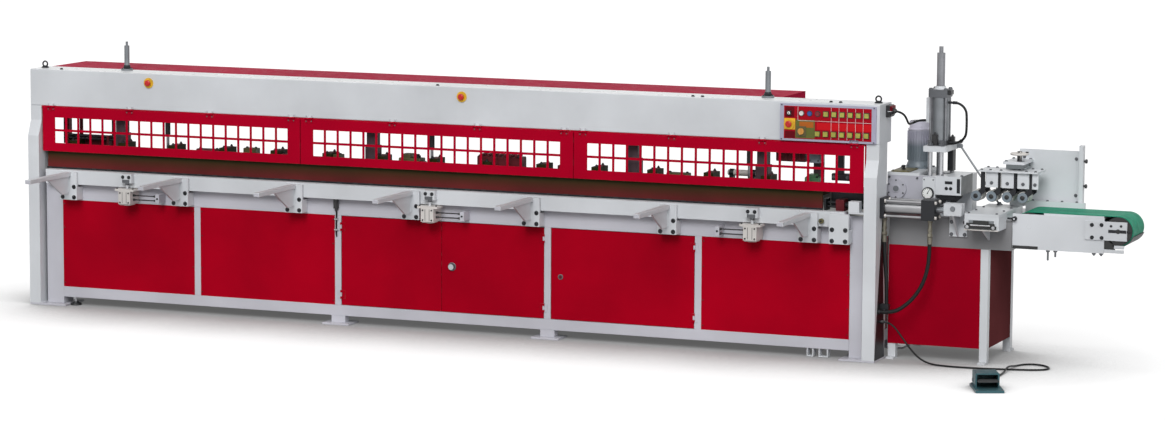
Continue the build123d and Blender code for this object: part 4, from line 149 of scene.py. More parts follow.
class Graph:
    """A node tree, with short calls for what its users share."""

    def __init__(self, tree: bpy.types.NodeTree) -> None:
        """Take the tree."""
        self.tree = tree

    def feed(self, socket: Socket, value: object) -> None:
        """Link a socket to another, or set its own value.

        Args:
            socket: the input to fill.
            value: an output socket, a number or a colour's linear values.
        """
        if isinstance(value, Socket):
            self.tree.links.new(value, socket)
        else:
            socket.default_value = value

    def fill(self, node: bpy.types.Node, **values: object) -> bpy.types.Node:
        """Fill a node's inputs.

        Args:
            node: the node.
            values: its inputs, named in lower case with underscores.

        Returns:
            The node.
        """
        for name, value in values.items():
            self.feed(node.inputs[name.replace("_", " ").title()], value)
        return node

    def node(self, kind: str, **values: object) -> bpy.types.Node:
        """Add a shader node of that kind and fill its inputs."""
        return self.fill(self.tree.nodes.new("ShaderNode" + kind), **values)

    def maths(self, operation: str, first: Socket, second: Socket) -> Socket:
        """Put two varying values together.

        Args:
            operation: what is done with them.
            first: one value.
            second: the other.

        Returns:
            The result.
        """
        result = self.node("Math")
        result.operation = operation
        self.feed(result.inputs[0], first)
        self.feed(result.inputs[1], second)
        return result.outputs[0]

    def both(self, first: Socket, second: Socket) -> Socket:
        """Multiply two varying values."""
        return self.maths("MULTIPLY", first, second)

    def span(self, value: Socket, start: float, end: float, low: float = 0.0,
             high: float = 1.0) -> Socket:
        """Stretch a value from the range start to end over low to high, and hold it there."""
        return self.node("MapRange", value=value, from_min=start, from_max=end,
                         to_min=low, to_max=high).outputs[0]


class Surface(Graph):
    """A material's node tree, with the patterns that the finishes are made of."""

    def __init__(self, name: str) -> None:
        """Start a material that holds its shader alone.

        Args:
            name: the material's name.
        """
        self.material = bpy.data.materials.new(name)
        self.material.use_nodes = True
        super().__init__(self.material.node_tree)
        self.tree.nodes.clear()
        self.shader = self.node("BsdfPrincipled")
        self.node("OutputMaterial", surface=self.shader.outputs[0])
        self.spot = self.node("TexCoord").outputs["Object"]

    def lay(self, **values: object) -> None:
        """Fill the shader's sockets, named in lower case with underscores."""
        self.fill(self.shader, **values)

    def gloss(self, level: float) -> None:
        """Set how strongly the surface mirrors."""
        self.shader.inputs["Specular IOR Level"].default_value = level

    def noise(self, scale: float, detail: float, stretch: Point = (1.0, 1.0, 1.0)) -> Socket:
        """Add grain tied to the object: grains per metre, finer layers, stretch by axis."""
        spot = self.node("Mapping", vector=self.spot, scale=stretch).outputs[0]
        return self.node("TexNoise", vector=spot, scale=scale, detail=detail).outputs[0]

    def grain(self, scale: float, detail: float, low: float = 0.0, high: float = 1.0) -> Socket:
        """Add grain that is stretched over the range from low to high."""
        return self.span(self.noise(scale, detail), *NOISE_RANGE, low, high)

    def bands(self, scale: float, direction: str) -> Socket:
        """Add even ribs across one axis.

        Args:
            scale: how close the ribs are.
            direction: the axis that the ribs follow one another along.

        Returns:
            The ribs' height, 0 to 1.
        """
        wave = self.node("TexWave", vector=self.spot, scale=scale)
        wave.bands_direction = direction
        return wave.outputs[1]

    def mix(self, share: Socket, first: object, second: object) -> Socket:
        """Lay one colour over another by a varying share.

        Args:
            share: 0 shows the first, 1 the second.
            first: a colour socket or linear values.
            second: a colour socket or linear values.

        Returns:
            The mixed colour.
        """
        blend = self.node("Mix")
        blend.data_type = "RGBA"
        for number, value in ((0, share), (6, first), (7, second)):
            self.feed(blend.inputs[number], value)
        return blend.outputs[2]

    def shades(self, share: Socket, colour: Colour, low: float, high: float) -> Socket:
        """Vary a colour between a low and a high share of itself."""
        return self.mix(share, linear(shade(colour, low)), linear(shade(colour, high)))

    def edges(self, radius: float) -> Socket:
        """Find the object's outer and inner edges.

        Args:
            radius: how far from the edge it reaches, in metres.

        Returns:
            1 at an edge, 0 on the flats.
        """
        rounded = self.node("Bevel", radius=radius)
        rounded.samples = 4
        dot = self.node("VectorMath")
        dot.operation = "DOT_PRODUCT"
        self.feed(dot.inputs[0], rounded.outputs[0])
        self.feed(dot.inputs[1], self.node("NewGeometry").outputs["Normal"])
        return self.span(dot.outputs["Value"], 0.99, 0.78)

    def upward(self) -> Socket:
        """Find the faces that look up, where dust settles."""
        normal = self.node("NewGeometry").outputs["Normal"]
        return self.span(self.node("SeparateXYZ", vector=normal).outputs["Z"], 0.6, 1.0)

    def rise(self, start: float, end: float) -> Socket:
        """Follow the height above the floor, from 0 at start to 1 at end, in metres."""
        return self.span(self.node("SeparateXYZ", vector=self.spot).outputs["Z"], start, end)

    def bump(self, height: Socket, depth: float, strength: float) -> None:
        """Raise the surface by a height of 0 to 1, over a depth in metres."""
        relief = self.node("Bump", height=height, distance=depth, strength=strength)
        self.lay(normal=relief.outputs[0])


@dataclass(frozen=True)
class Finish:
    """A surface's colour and gloss, and what they are made of."""

    name: str
    colour: Colour
    rough: float

    def material(self) -> bpy.types.Material:
        """Give this finish's material, made on its first use.

        Returns:
            The material, shared by everything that has the finish.
        """
        made = bpy.data.materials.get("finish_" + self.name)
        if made is None:
            surface = Surface("finish_" + self.name)
            self.lay(surface)
            made = surface.material
        return made

    def lay(self, surface: Surface) -> None:
        """Lay the finish's nodes on the surface."""
        raise NotImplementedError


@dataclass(frozen=True)
class Paint(Finish):
    """Sprayed paint: faint patches, orange peel, dust on top and rubbed edges."""

    patch: float = 0.05
    wear: float = 0.35
    worn: Colour = (128, 126, 124)
    dust: float = 0.10
    gloss: float = 0.5

    def tone(self, surface: Surface) -> Socket:
        """Lay the paint's own colour with its faint patches."""
        patches = surface.grain(scale=1.6, detail=5.0)
        return surface.shades(patches, self.colour, 1.0 - self.patch, 1.0 + self.patch)

    def lay(self, surface: Surface) -> None:
        """Lay the paint, its dust and its rubbed edges.

        Args:
            surface: the material that takes the nodes.
        """
        settled = surface.span(surface.noise(scale=6.0, detail=4.0), 0.35, 0.7, 0.0, self.dust)
        dusty = surface.both(surface.upward(), settled)
        tone = surface.mix(dusty, self.tone(surface), linear(DUST))
        scuffs = surface.span(surface.noise(scale=46.0, detail=5.0), 0.47, 0.62, 0.0, self.wear)
        rubbed = surface.both(surface.edges(radius=0.003), scuffs)
        surface.gloss(self.gloss)
        surface.lay(base_color=surface.mix(rubbed, tone, linear(self.worn)),
                    roughness=surface.grain(17.0, 3.0, self.rough - 0.05, self.rough + 0.09))
        surface.bump(surface.noise(scale=380.0, detail=2.0), depth=0.0004, strength=0.12)


@dataclass(frozen=True)
class GradedPaint(Paint):
    """Paint whose colour changes with the height; on the press beam the change is painted shade,
    darker under the doors.
    """

    upper: Colour = (40, 36, 22)
    low_height: float = 925.0
    high_height: float = 1005.0

    def tone(self, surface: Surface) -> Socket:
        """Lay the paint's colour and the other one above it."""
        height = surface.rise(self.low_height * MM, self.high_height * MM)
        return surface.mix(height, super().tone(surface), linear(self.upper))


@dataclass(frozen=True)
class Metal(Finish):
    """Bare metal with the tool's lines along it."""

    lines: Point = (1.0, 1.0, 1.0)
    metallic: float = 1.0
    stain: float = 0.12

    def lay(self, surface: Surface) -> None:
        """Lay the metal, its lines and faint stains.

        Args:
            surface: the material that takes the nodes.
        """
        streak = surface.noise(scale=240.0, detail=3.0, stretch=self.lines)
        stain = surface.span(surface.noise(scale=9.0, detail=5.0), 0.4, 0.75)
        rough = surface.span(streak, *NOISE_RANGE, self.rough - 0.06, self.rough + 0.12)
        surface.lay(base_color=surface.shades(stain, self.colour, 1.0, 1.0 - self.stain),
                    metallic=self.metallic, roughness=rough)
        surface.bump(streak, depth=0.0003, strength=0.1)


@dataclass(frozen=True)
class Moulded(Finish):
    """Moulded plastic or rubber with a fine grain."""

    grain: float = 700.0
    depth: float = 0.15
    patch: float = 0.08
    gloss: float = 0.5

    def lay(self, surface: Surface) -> None:
        """Lay the plastic and its grain.

        Args:
            surface: the material that takes the nodes.
        """
        patches = surface.grain(scale=22.0, detail=4.0)
        tone = surface.shades(patches, self.colour, 1.0 - self.patch, 1.0 + self.patch)
        surface.gloss(self.gloss)
        surface.lay(base_color=tone,
                    roughness=surface.grain(60.0, 3.0, self.rough - 0.05, self.rough + 0.08))
        surface.bump(surface.noise(self.grain, detail=2.0), depth=0.0003, strength=self.depth)


@dataclass(frozen=True)
class Woven(Finish):
    """The belt's woven face, with streaks along its run."""

    gloss: float = 0.15
    run: Point = (0.05, 1.0, 1.0)
    weave: float = 110.0

    def lay(self, surface: Surface) -> None:
        """Lay the weave and the streaks.

        Args:
            surface: the material that takes the nodes.
        """
        streak = surface.span(surface.noise(40.0, 4.0, self.run), *NOISE_RANGE)
        threads = surface.both(surface.bands(self.weave, "X"), surface.bands(self.weave, "Y"))
        surface.gloss(self.gloss)
        surface.lay(base_color=surface.shades(streak, self.colour, 0.9, 1.08),
                    roughness=surface.grain(30.0, 3.0, self.rough - 0.06, self.rough + 0.08))
        surface.bump(threads, depth=0.0004, strength=0.35)


GREY_WHITE = Paint("grey_white_paint", (206, 209, 213), 0.34)
# painted light: the box's top face is whiter than its sides, for the light from above
TOP_WHITE_LIT = Paint("box_top_white", (238, 240, 242), 0.3)
FRAME_GREY = Paint("base_frame_grey", (190, 190, 198), 0.36)
# bed grey: partly the bed's own grey, partly painted shade for the shadow under the press cylinder
BED_GREY_SHADED = Paint("bed_grey", (118, 118, 120), 0.42, patch=0.1)
LIFT_GREY = Paint("lift_cylinder_grey", (206, 202, 198), 0.36, wear=0.2)
DOOR_RED = Paint("window_door_red", (172, 2, 36), 0.34, patch=0.06, dust=0.06, gloss=0.03)
CABINET_RED = Paint("cabinet_red", (164, 1, 28), 0.34, patch=0.07, dust=0.06, gloss=0.03)
STAND_RED = Paint("stand_red", (150, 2, 28), 0.36, patch=0.07, dust=0.05, gloss=0.02)
# painted shade: a darker copy of the stand's red for its right side, which faces away from the key
# light
STAND_SIDE_SHADE = Paint("stand_side_red", (112, 58, 60), 0.5, patch=0.14, dust=0.0, gloss=0.0)
COVER_RED = Paint("rear_cover_red", (178, 24, 62), 0.3, dust=0.0, wear=0.15, gloss=0.001)
PANEL_RED = Paint("panel_red", (166, 16, 34), 0.42, wear=0.1, gloss=0.06)
BRIGHT_RED = Paint("panel_bright_red", (204, 26, 36), 0.4, wear=0.05, gloss=0.06)
DEEP_RED = Paint("panel_deep_red", (104, 16, 28), 0.45, wear=0.05, gloss=0.06)
# painted shade: the beam's red is darkened for the shadow inside the press and turns olive-black
# higher up, where the doors shade it
BEAM_RED_SHADED = GradedPaint("beam_dark_red", (92, 32, 32), 0.55, patch=0.14, wear=0.3, gloss=0.1,
                       upper=(40, 40, 14))
COLUMN_GREY = Paint("column_grey", (78, 62, 68), 0.5, patch=0.12, wear=0.3, gloss=0.15)
DARK_RED = Paint("dark_red_unit", (92, 30, 36), 0.5, patch=0.14, wear=0.3, gloss=0.15)
OLIVE = Paint("olive_block", (84, 78, 42), 0.5, patch=0.12, wear=0.3)
PANEL_OLIVE = Paint("panel_olive", (98, 104, 50), 0.45, wear=0.05, gloss=0.2)
PANEL_ORANGE = Paint("panel_orange", (176, 96, 34), 0.42, wear=0.05, gloss=0.2)
UNIT_GREEN = Paint("green_block", (62, 104, 70), 0.48, patch=0.1, wear=0.3)
BORDER_LILAC = Paint("panel_border_lilac", (168, 166, 186), 0.36, wear=0.15)
LINE_WHITE = Paint("panel_line_white", (214, 206, 208), 0.45, wear=0.05, dust=0.0)
TABLE_STEEL = Metal("ground_table", (150, 150, 147), 0.38, lines=(0.08, 1.0, 1.0))
BLACK_STEEL = Metal("blackened_steel", (44, 45, 48), 0.46, metallic=0.7)
BRIGHT_STEEL = Metal("turned_steel", (176, 177, 180), 0.28)
CHROME = Metal("cylinder_chrome", (148, 148, 150), 0.34, lines=(0.1, 1.0, 1.0))
ZINC = Metal("zinc_fitting", (122, 118, 106), 0.46, metallic=0.7)
SHAFT_STEEL = Metal("oiled_shaft", (132, 133, 137), 0.30, lines=(1.0, 1.0, 0.1))
CYLINDER = Metal("anodised_tube", (128, 132, 136), 0.42, lines=(1.0, 1.0, 0.12), metallic=0.6)
CAP_GREY = Metal("cast_cap", (98, 100, 104), 0.46, metallic=0.6)
MOTOR_GREY = GradedPaint("motor_blue_grey", (112, 122, 130), 0.44, patch=0.1, wear=0.2,
                         upper=(170, 170, 184), low_height=1255.0, high_height=1300.0)
FAN_WHITE = Paint("fan_cap_lilac", (206, 204, 218), 0.4, wear=0.2)
DIAL_WHITE = Paint("dial_white", (232, 234, 232), 0.4, wear=0.0, dust=0.0)
BLACK_PLASTIC = Moulded("black_plastic", (28, 28, 30), 0.42)
GUARD_BLACK = Moulded("guard_black", (22, 23, 24), 0.5)
ROLLER = Moulded("roller_tread", (196, 195, 190), 0.55, grain=300.0)
DRUM_BLACK = Moulded("drum_lagging", (24, 25, 26), 0.62, grain=180.0, depth=0.4)
BELT_GREEN = Woven("belt_green", (30, 138, 108), 0.55)
LAMP_LENS = Moulded("lamp_lens", (172, 168, 74), 0.26, grain=240.0)
LAMP_BLUE = Moulded("lamp_blue", (44, 74, 150), 0.24, grain=240.0)
LAMP_WHITE = Moulded("lamp_white", (222, 224, 220), 0.26, grain=240.0)
LAMP_RED = Moulded("lamp_dark_red", (120, 18, 26), 0.26, grain=240.0)
STOP_RED = Moulded("stop_head_red", (196, 24, 22), 0.3)
STOP_YELLOW = Moulded("stop_collar_yellow", (226, 178, 40), 0.38)
SWITCH_TAN = Moulded("switch_tan", (206, 148, 70), 0.36)
BUTTON_GREEN = Moulded("button_yellow_green", (162, 158, 66), 0.36)
PEDAL_TEAL = Paint("pedal_teal", (40, 84, 92), 0.42, patch=0.14, wear=0.6, worn=(120, 140, 146))
TREAD_BLACK = Moulded("pedal_tread", (34, 36, 38), 0.6, grain=260.0, depth=0.4)
HOSE_BLACK = Moulded("hose_rubber", (22, 23, 24), 0.44, grain=420.0, depth=0.25, gloss=0.2)
# painted shade: dark grey for the feed head's right face and the apron under the tower's head
BLOCK_SHADE_GREY = Paint("block_side_grey", (92, 97, 99), 0.45, patch=0.12)
HOUSING_LILAC = Paint("housing_lilac", (172, 172, 181), 0.38, wear=0.2)
TANK_GREY = Paint("tank_grey", (124, 130, 134), 0.42, patch=0.1)


def ease_edges(item: Piece, width: float) -> bpy.types.Modifier:
    """Round a piece's edges a little.

    Args:
        item: the piece.
        width: the rounding's width in millimetres.

    Returns:
        The modifier that rounds them.
    """
    ease = item.modifiers.new("eased_edges", "BEVEL")
    ease.width, ease.segments, ease.limit_method = width * MM, EASE_STEPS, "ANGLE"
    ease.harden_normals = True
    return ease


def coat(node: str, finish: Finish, *areas: Area, soften: float = 0.0) -> None:
    """Give a node of the frame its finishes.

    Args:
        node: the node's name.
        finish: what it has where no area says otherwise.
        areas: low corner, high corner and finish of its other faces, in millimetres.
        soften: width of the eased edges in millimetres, none at 0.
    """
    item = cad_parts[node]
    mesh = item.data
    mesh.materials.clear()
    for one in (finish, *(area[2] for area in areas)):
        mesh.materials.append(one.material())
    boxes = [(place(low), place(high)) for low, high, _ in areas]
    for face in mesh.polygons:
        face.material_index = next(
            (number for number, (low, high) in enumerate(boxes, 1)
             if all(low[i] <= face.center[i] <= high[i] for i in range(3))), 0)
    if soften:
        item.modifiers.new("weld", "WELD").merge_threshold = WELD_REACH
        ease_edges(item, soften).angle_limit = EASED


class Shape:
    """The faces of one piece, gathered in the machine's millimetres.

    Each method that adds or turns faces gives the shape itself, so that calls can follow
    one another.
    """

    def __init__(self) -> None:
        """Start with no faces, in the piece's first finish."""
        self.points: list[Point] = []
        self.faces: list[tuple[int, ...]] = []
        self.marks: list[int] = []
        self.mark = 0

    def finish(self, mark: int) -> "Shape":
        """Give the faces that follow the piece's finish of that number."""
        self.mark = mark
        return self

    def sleeve(self, points: list[Point], sides: int, bore: bool = False) -> "Shape":
        """Take in rings of points and the walls between them.

        Args:
            points: the rings' corners, one ring after another.
            sides: how many corners a ring has.
            bore: whether the last ring joins the first, instead of both being closed.

        Returns:
            The shape itself.
        """
        start, rings = len(self.points), len(points) // sides
        last = (rings - 1) * sides
        faces = [] if bore else [tuple(range(sides)), tuple(range(last, last + sides))]
        for ring in range(rings if bore else rings - 1):
            here, onward = ring * sides, (ring + 1) % rings * sides
            for i in range(sides):
                after = (i + 1) % sides
                faces.append((here + i, here + after, onward + after, onward + i))
        self.points += points
        self.faces += [tuple(start + i for i in face) for face in faces]
        self.marks += [self.mark] * len(faces)
        return self

    def prism(self, outline: Profile, axis: Axis, low: float, high: float) -> "Shape":
        """Extrude an outline.

        Args:
            outline: corners across the axis, in order.
            axis: what it is extruded along.
            low: where it starts on the axis.
            high: where it ends.

        Returns:
            The shape itself.
        """
        points = [lift(axis, level, pair) for level, pair in product((low, high), outline)]
        return self.sleeve(points, len(outline))

    def block(self, low: Point, high: Point, cut: float) -> "Shape":
        """Add a block with its corners cut along its longest side.

        Args:
            low: lowest corner.
            high: highest corner.
            cut: how much of each corner is cut off.

        Returns:
            The shape itself.
        """
        sides = [high[i] - low[i] for i in range(3)]
        axis = (Axis.X, Axis.Y, Axis.Z)[sides.index(max(sides))]
        along, a, b = axis.value
        outline = [(low[a] + cut, low[b]), (high[a] - cut, low[b]), (high[a], low[b] + cut),
                   (high[a], high[b] - cut), (high[a] - cut, high[b]), (low[a] + cut, high[b]),
                   (low[a], high[b] - cut), (low[a], low[b] + cut)]
        return self.prism(outline, axis, low[along], high[along])

    def turned(self, base: Point, axis: Axis, profile: Profile, sides: int = 24,
               start: float = 0.0, bore: bool = False) -> "Shape":
        """Turn a profile about an axis.

        Args:
            base: the point that the profile's distances count from.
            axis: what it turns about.
            profile: distance along the axis and radius, step by step.
            sides: how many flats go round.
            start: the first flat's angle, in degrees.
            bore: whether the profile closes on itself and leaves a bore.

        Returns:
            The shape itself.
        """
        level, x, y = (base[i] for i in axis.value)
        angles = row(start, 360.0 / sides, sides)
        points = [lift(axis, level + reach, pair) for reach, radius in profile
                  for pair in arc(x, y, radius, angles)]
        return self.sleeve(points, sides, bore)

    def turn(self, centre: Point, axis: Axis, degrees: float) -> "Shape":
        """Turn everything so far about a line.

        Args:
            centre: a point on the line.
            axis: the line's direction.
            degrees: how far, the right-hand way.

        Returns:
            The shape itself.
        """
        spin, middle = Matrix.Rotation(math.radians(degrees), 3, axis.name), Vector(centre)
        self.points = [tuple(middle + spin @ (Vector(point) - middle)) for point in self.points]
        return self

    def bolts(self, places: list[Point], radius: float, facing: Facing = Facing.FRONT,
              washer: bool = True) -> "Shape":
        """Add hexagon heads on their washers.

        Args:
            places: where their shanks enter the surface.
            radius: half the width across corners.
            facing: where the heads point.
            washer: whether they have washers.

        Returns:
            The shape itself.
        """
        axis, way = facing.value
        lift = 0.22 * radius if washer else 0.0
        head = [(way * lift, radius), (way * (lift + 0.62 * radius), radius),
                (way * (lift + 0.75 * radius), 0.82 * radius)]
        for base in places:
            if washer:
                self.turned(base, axis, [(0.0, 1.32 * radius), (way * lift, 1.28 * radius)], 18)
            self.turned(base, axis, head, 6, 15.0)
        return self

    def screws(self, places: list[Point], radius: float,
               facing: Facing = Facing.FRONT) -> "Shape":
        """Add socket cap screws with their recesses.

        Args:
            places: where their shanks enter the surface.
            radius: the head's radius.
            facing: where the heads point.

        Returns:
            The shape itself.
        """
        axis, way = facing.value
        head = [(way * share * radius, size * radius) for share, size in (
            (0.0, 1.0), (0.85, 1.0), (1.0, 0.88), (1.0, 0.52), (0.45, 0.48))]
        for base in places:
            self.turned(base, axis, head, 14)
        return self

    def rod(self, path: list[Point], radius: float, sides: int = 10) -> "Shape":
        """Sweep a round rod along straight runs.

        Args:
            path: the runs' ends.
            radius: the rod's radius.
            sides: how many flats go round.

        Returns:
            The shape itself.
        """
        spots = [Vector(point) for point in path]
        steps = [(after - spot).normalized() for spot, after in zip(spots, spots[1:])]
        lean = Vector((0.0, 0.0, 1.0)) if abs(steps[0].z) < 0.9 else Vector((1.0, 0.0, 0.0))
        across = steps[0].cross(lean).normalized()
        points = []
        for number, spot in enumerate(spots):
            fore = steps[min(number, len(steps) - 1)]
            run = (fore + steps[max(number - 1, 0)]).normalized()
            across = (across - run * across.dot(run)).normalized()
            side = run.cross(across)
            for angle in row(0.0, math.tau / sides, sides):
                reach = across * math.cos(angle) + side * math.sin(angle)
                points.append(tuple(spot + radius * reach))
        return self.sleeve(points, sides)

    def make(self, name: str, slot: str, *finishes: Finish, body: str = "machine",
             ease: float = 0.0) -> Piece:
        """Make the piece and set it on what carries it.

        Args:
            name: the piece's name.
            slot: the record's slot for its main finish; not used.
            body: the body that it moves with.
            ease: width of its eased edges in millimetres, none at 0.

        Returns:
            The piece.
        """
        mesh = bpy.data.meshes.new(name)
        mesh.from_pydata([place(point) for point in self.points], [], self.faces)
        work = bmesh.new()
        work.from_mesh(mesh)
        bmesh.ops.recalc_face_normals(work, faces=work.faces)
        work.to_mesh(mesh)
        work.free()
        for one in finishes:
            mesh.materials.append(one.material())
        mesh.polygons.foreach_set("material_index", self.marks)
        mesh.polygons.foreach_set("use_smooth", [True] * len(mesh.polygons))
        mesh.set_sharp_from_angle(angle=SHARP)
        piece = bpy.data.objects.new(name, mesh)
        bpy.context.scene.collection.objects.link(piece)
        if ease:
            ease_edges(piece, ease)
        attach(piece, body)
        LOG.info("made %s on %s", name, body)
        return piece


@dataclass
class Studio:
    """The camera, the pale floor and the soft light."""

    focal: float = 113.23
    sensor: float = 36.0
    far: float = 200.0
    stand_point: Point = (12307.0, -20714.0, 3624.0)
    azimuth: float = 22.06
    drop: float = 7.143
    roll: float = 0.3154
    floor_reach: float = 60.0
    floor_tones: tuple[Colour, Colour] = ((142, 142, 143), (146, 146, 146))
    floor_rough: float = 0.9
    floor_glow: float = 0.82
    floor_shade: float = 0.10
    # reach, span and samples of the painted shadow: ambient occlusion dims the floor's glow near
    # the machine
    shadow_reach: float = 1.1
    shadow_span: Pair = (0.50, 0.94)
    shadow_samples: int = 8
    sky: float = 0.31
    lamps: tuple[tuple[str, float, float, float, float], ...] = (
        ("key", 1.76, 28.0, 54.0, 6.0), ("fill", 0.80, 60.0, 66.0, 52.0))

    def camera(self) -> None:
        """Set the camera where the photograph was taken from."""
        data = bpy.data.cameras.new("camera")
        data.lens, data.sensor_width, data.sensor_fit = self.focal, self.sensor, "HORIZONTAL"
        data.clip_end = self.far
        item = bpy.data.objects.new("camera", data)
        bpy.context.scene.collection.objects.link(item)
        turn, down, lean = (math.radians(a) for a in (self.azimuth, self.drop, self.roll))
        ahead = Vector((-math.sin(turn) * math.cos(down), math.cos(turn) * math.cos(down),
                        -math.sin(down)))
        right = Vector((math.cos(turn), math.sin(turn), 0.0))
        above = right.cross(ahead)
        across = math.cos(lean) * right + math.sin(lean) * above
        upright = -math.sin(lean) * right + math.cos(lean) * above
        matrix = Matrix((across, upright, -ahead)).transposed().to_4x4()
        matrix.translation = place(self.stand_point)
        item.matrix_world = matrix
        bpy.context.scene.camera = item

    def floor(self) -> None:
        """Lay a pale floor that keeps the cast shadow, with its glow dimmed near the machine as a
        painted shadow.
        """
        surface = Surface("pale_floor")
        low, high = self.floor_tones
        patches = surface.noise(scale=0.7, detail=2.0)
        rays = surface.node("LightPath").outputs
        seen = surface.maths("MAXIMUM", rays["Is Camera Ray"], rays["Is Glossy Ray"])
        # ambient occlusion fades the glow near the machine, a painted shadow
        occlusion = surface.node("AmbientOcclusion", distance=self.shadow_reach)
        occlusion.samples = self.shadow_samples
        clear = surface.span(occlusion.outputs["AO"], *self.shadow_span, self.floor_shade,
                             self.floor_glow)
        surface.lay(base_color=surface.mix(patches, linear(low), linear(high)),
                    roughness=self.floor_rough, emission_color=WHITE,
                    emission_strength=surface.both(seen, clear))
        reach = self.floor_reach
        mesh = bpy.data.meshes.new("floor")
        mesh.from_pydata([(-reach, -reach, 0.0), (reach, -reach, 0.0), (reach, reach, 0.0),
                          (-reach, reach, 0.0)], [], [(0, 1, 2, 3)])
        mesh.materials.append(surface.material)
        item = bpy.data.objects.new("floor", mesh)
        bpy.context.scene.collection.objects.link(item)

    def light(self) -> None:
        """Light the machine softly from the front and the right, under an even sky."""
        world = bpy.data.worlds.new("sky")
        bpy.context.scene.world = world
        world.use_nodes = True
        graph = Graph(world.node_tree)
        rays = graph.node("LightPath").outputs
        mirrored = graph.maths("MAXIMUM", rays["Is Glossy Ray"], rays["Is Transmission Ray"])
        shown = graph.maths("MAXIMUM", rays["Is Camera Ray"], mirrored)
        graph.fill(world.node_tree.nodes["Background"], color=WHITE,
                   strength=graph.span(shown, 0.0, 1.0, self.sky, 1.0))
        for name, strength, angle, pitch, turn in self.lamps:
            lamp = bpy.data.lights.new(name, "SUN")
            lamp.energy, lamp.angle = strength, math.radians(angle)
            item = bpy.data.objects.new(name, lamp)
            item.rotation_euler = (math.radians(pitch), 0.0, math.radians(turn))
            bpy.context.scene.collection.objects.link(item)
        bpy.context.scene.view_settings.view_transform = "Standard"

    def build(self) -> None:
        """Set up the camera, the floor and the light."""
        self.camera()
        self.floor()
        self.light()


class Stiffness(Enum):
    """How readily a cord bends."""

    MEDIUM = "medium"
    STIFF = "stiff"


class Lay(Enum):
    """How a cord lies between its ends."""

    LOOSE = "loose"
    HANGING = "hanging"


@dataclass
class Cord:
    """A free cable or hose that goes from one fitting to another."""

    name: str
    thick: float
    length: float
    stiffness: Stiffness
    lay: Lay
    route: list[Point]
    steps: int = 10
    roundness: int = 5
    order: int = 3

    def build(self, *fittings: Piece) -> None:
        """Args:
            fittings: the separate pieces on it; not used.
        """
        curve = bpy.data.curves.new(self.name + "_line", "CURVE")
        curve.dimensions, curve.resolution_u = "3D", self.steps
        curve.bevel_depth, curve.bevel_resolution = self.thick * MM / 2.0, self.roundness
        curve.use_fill_caps = True
        spline = curve.splines.new("NURBS")
        spline.points.add(len(self.route) - 1)
        for knot, point in zip(spline.points, self.route):
            knot.co = (*place(point), 1.0)
        spline.order_u, spline.use_endpoint_u = self.order, True
        item = bpy.data.objects.new(self.name + "_line", curve)
        bpy.context.scene.collection.objects.link(item)
        item.data.materials.append(HOSE_BLACK.material())
        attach(item, "machine")
        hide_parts(self.name)
        LOG.info("made %s, %.0f mm", self.name, self.length)


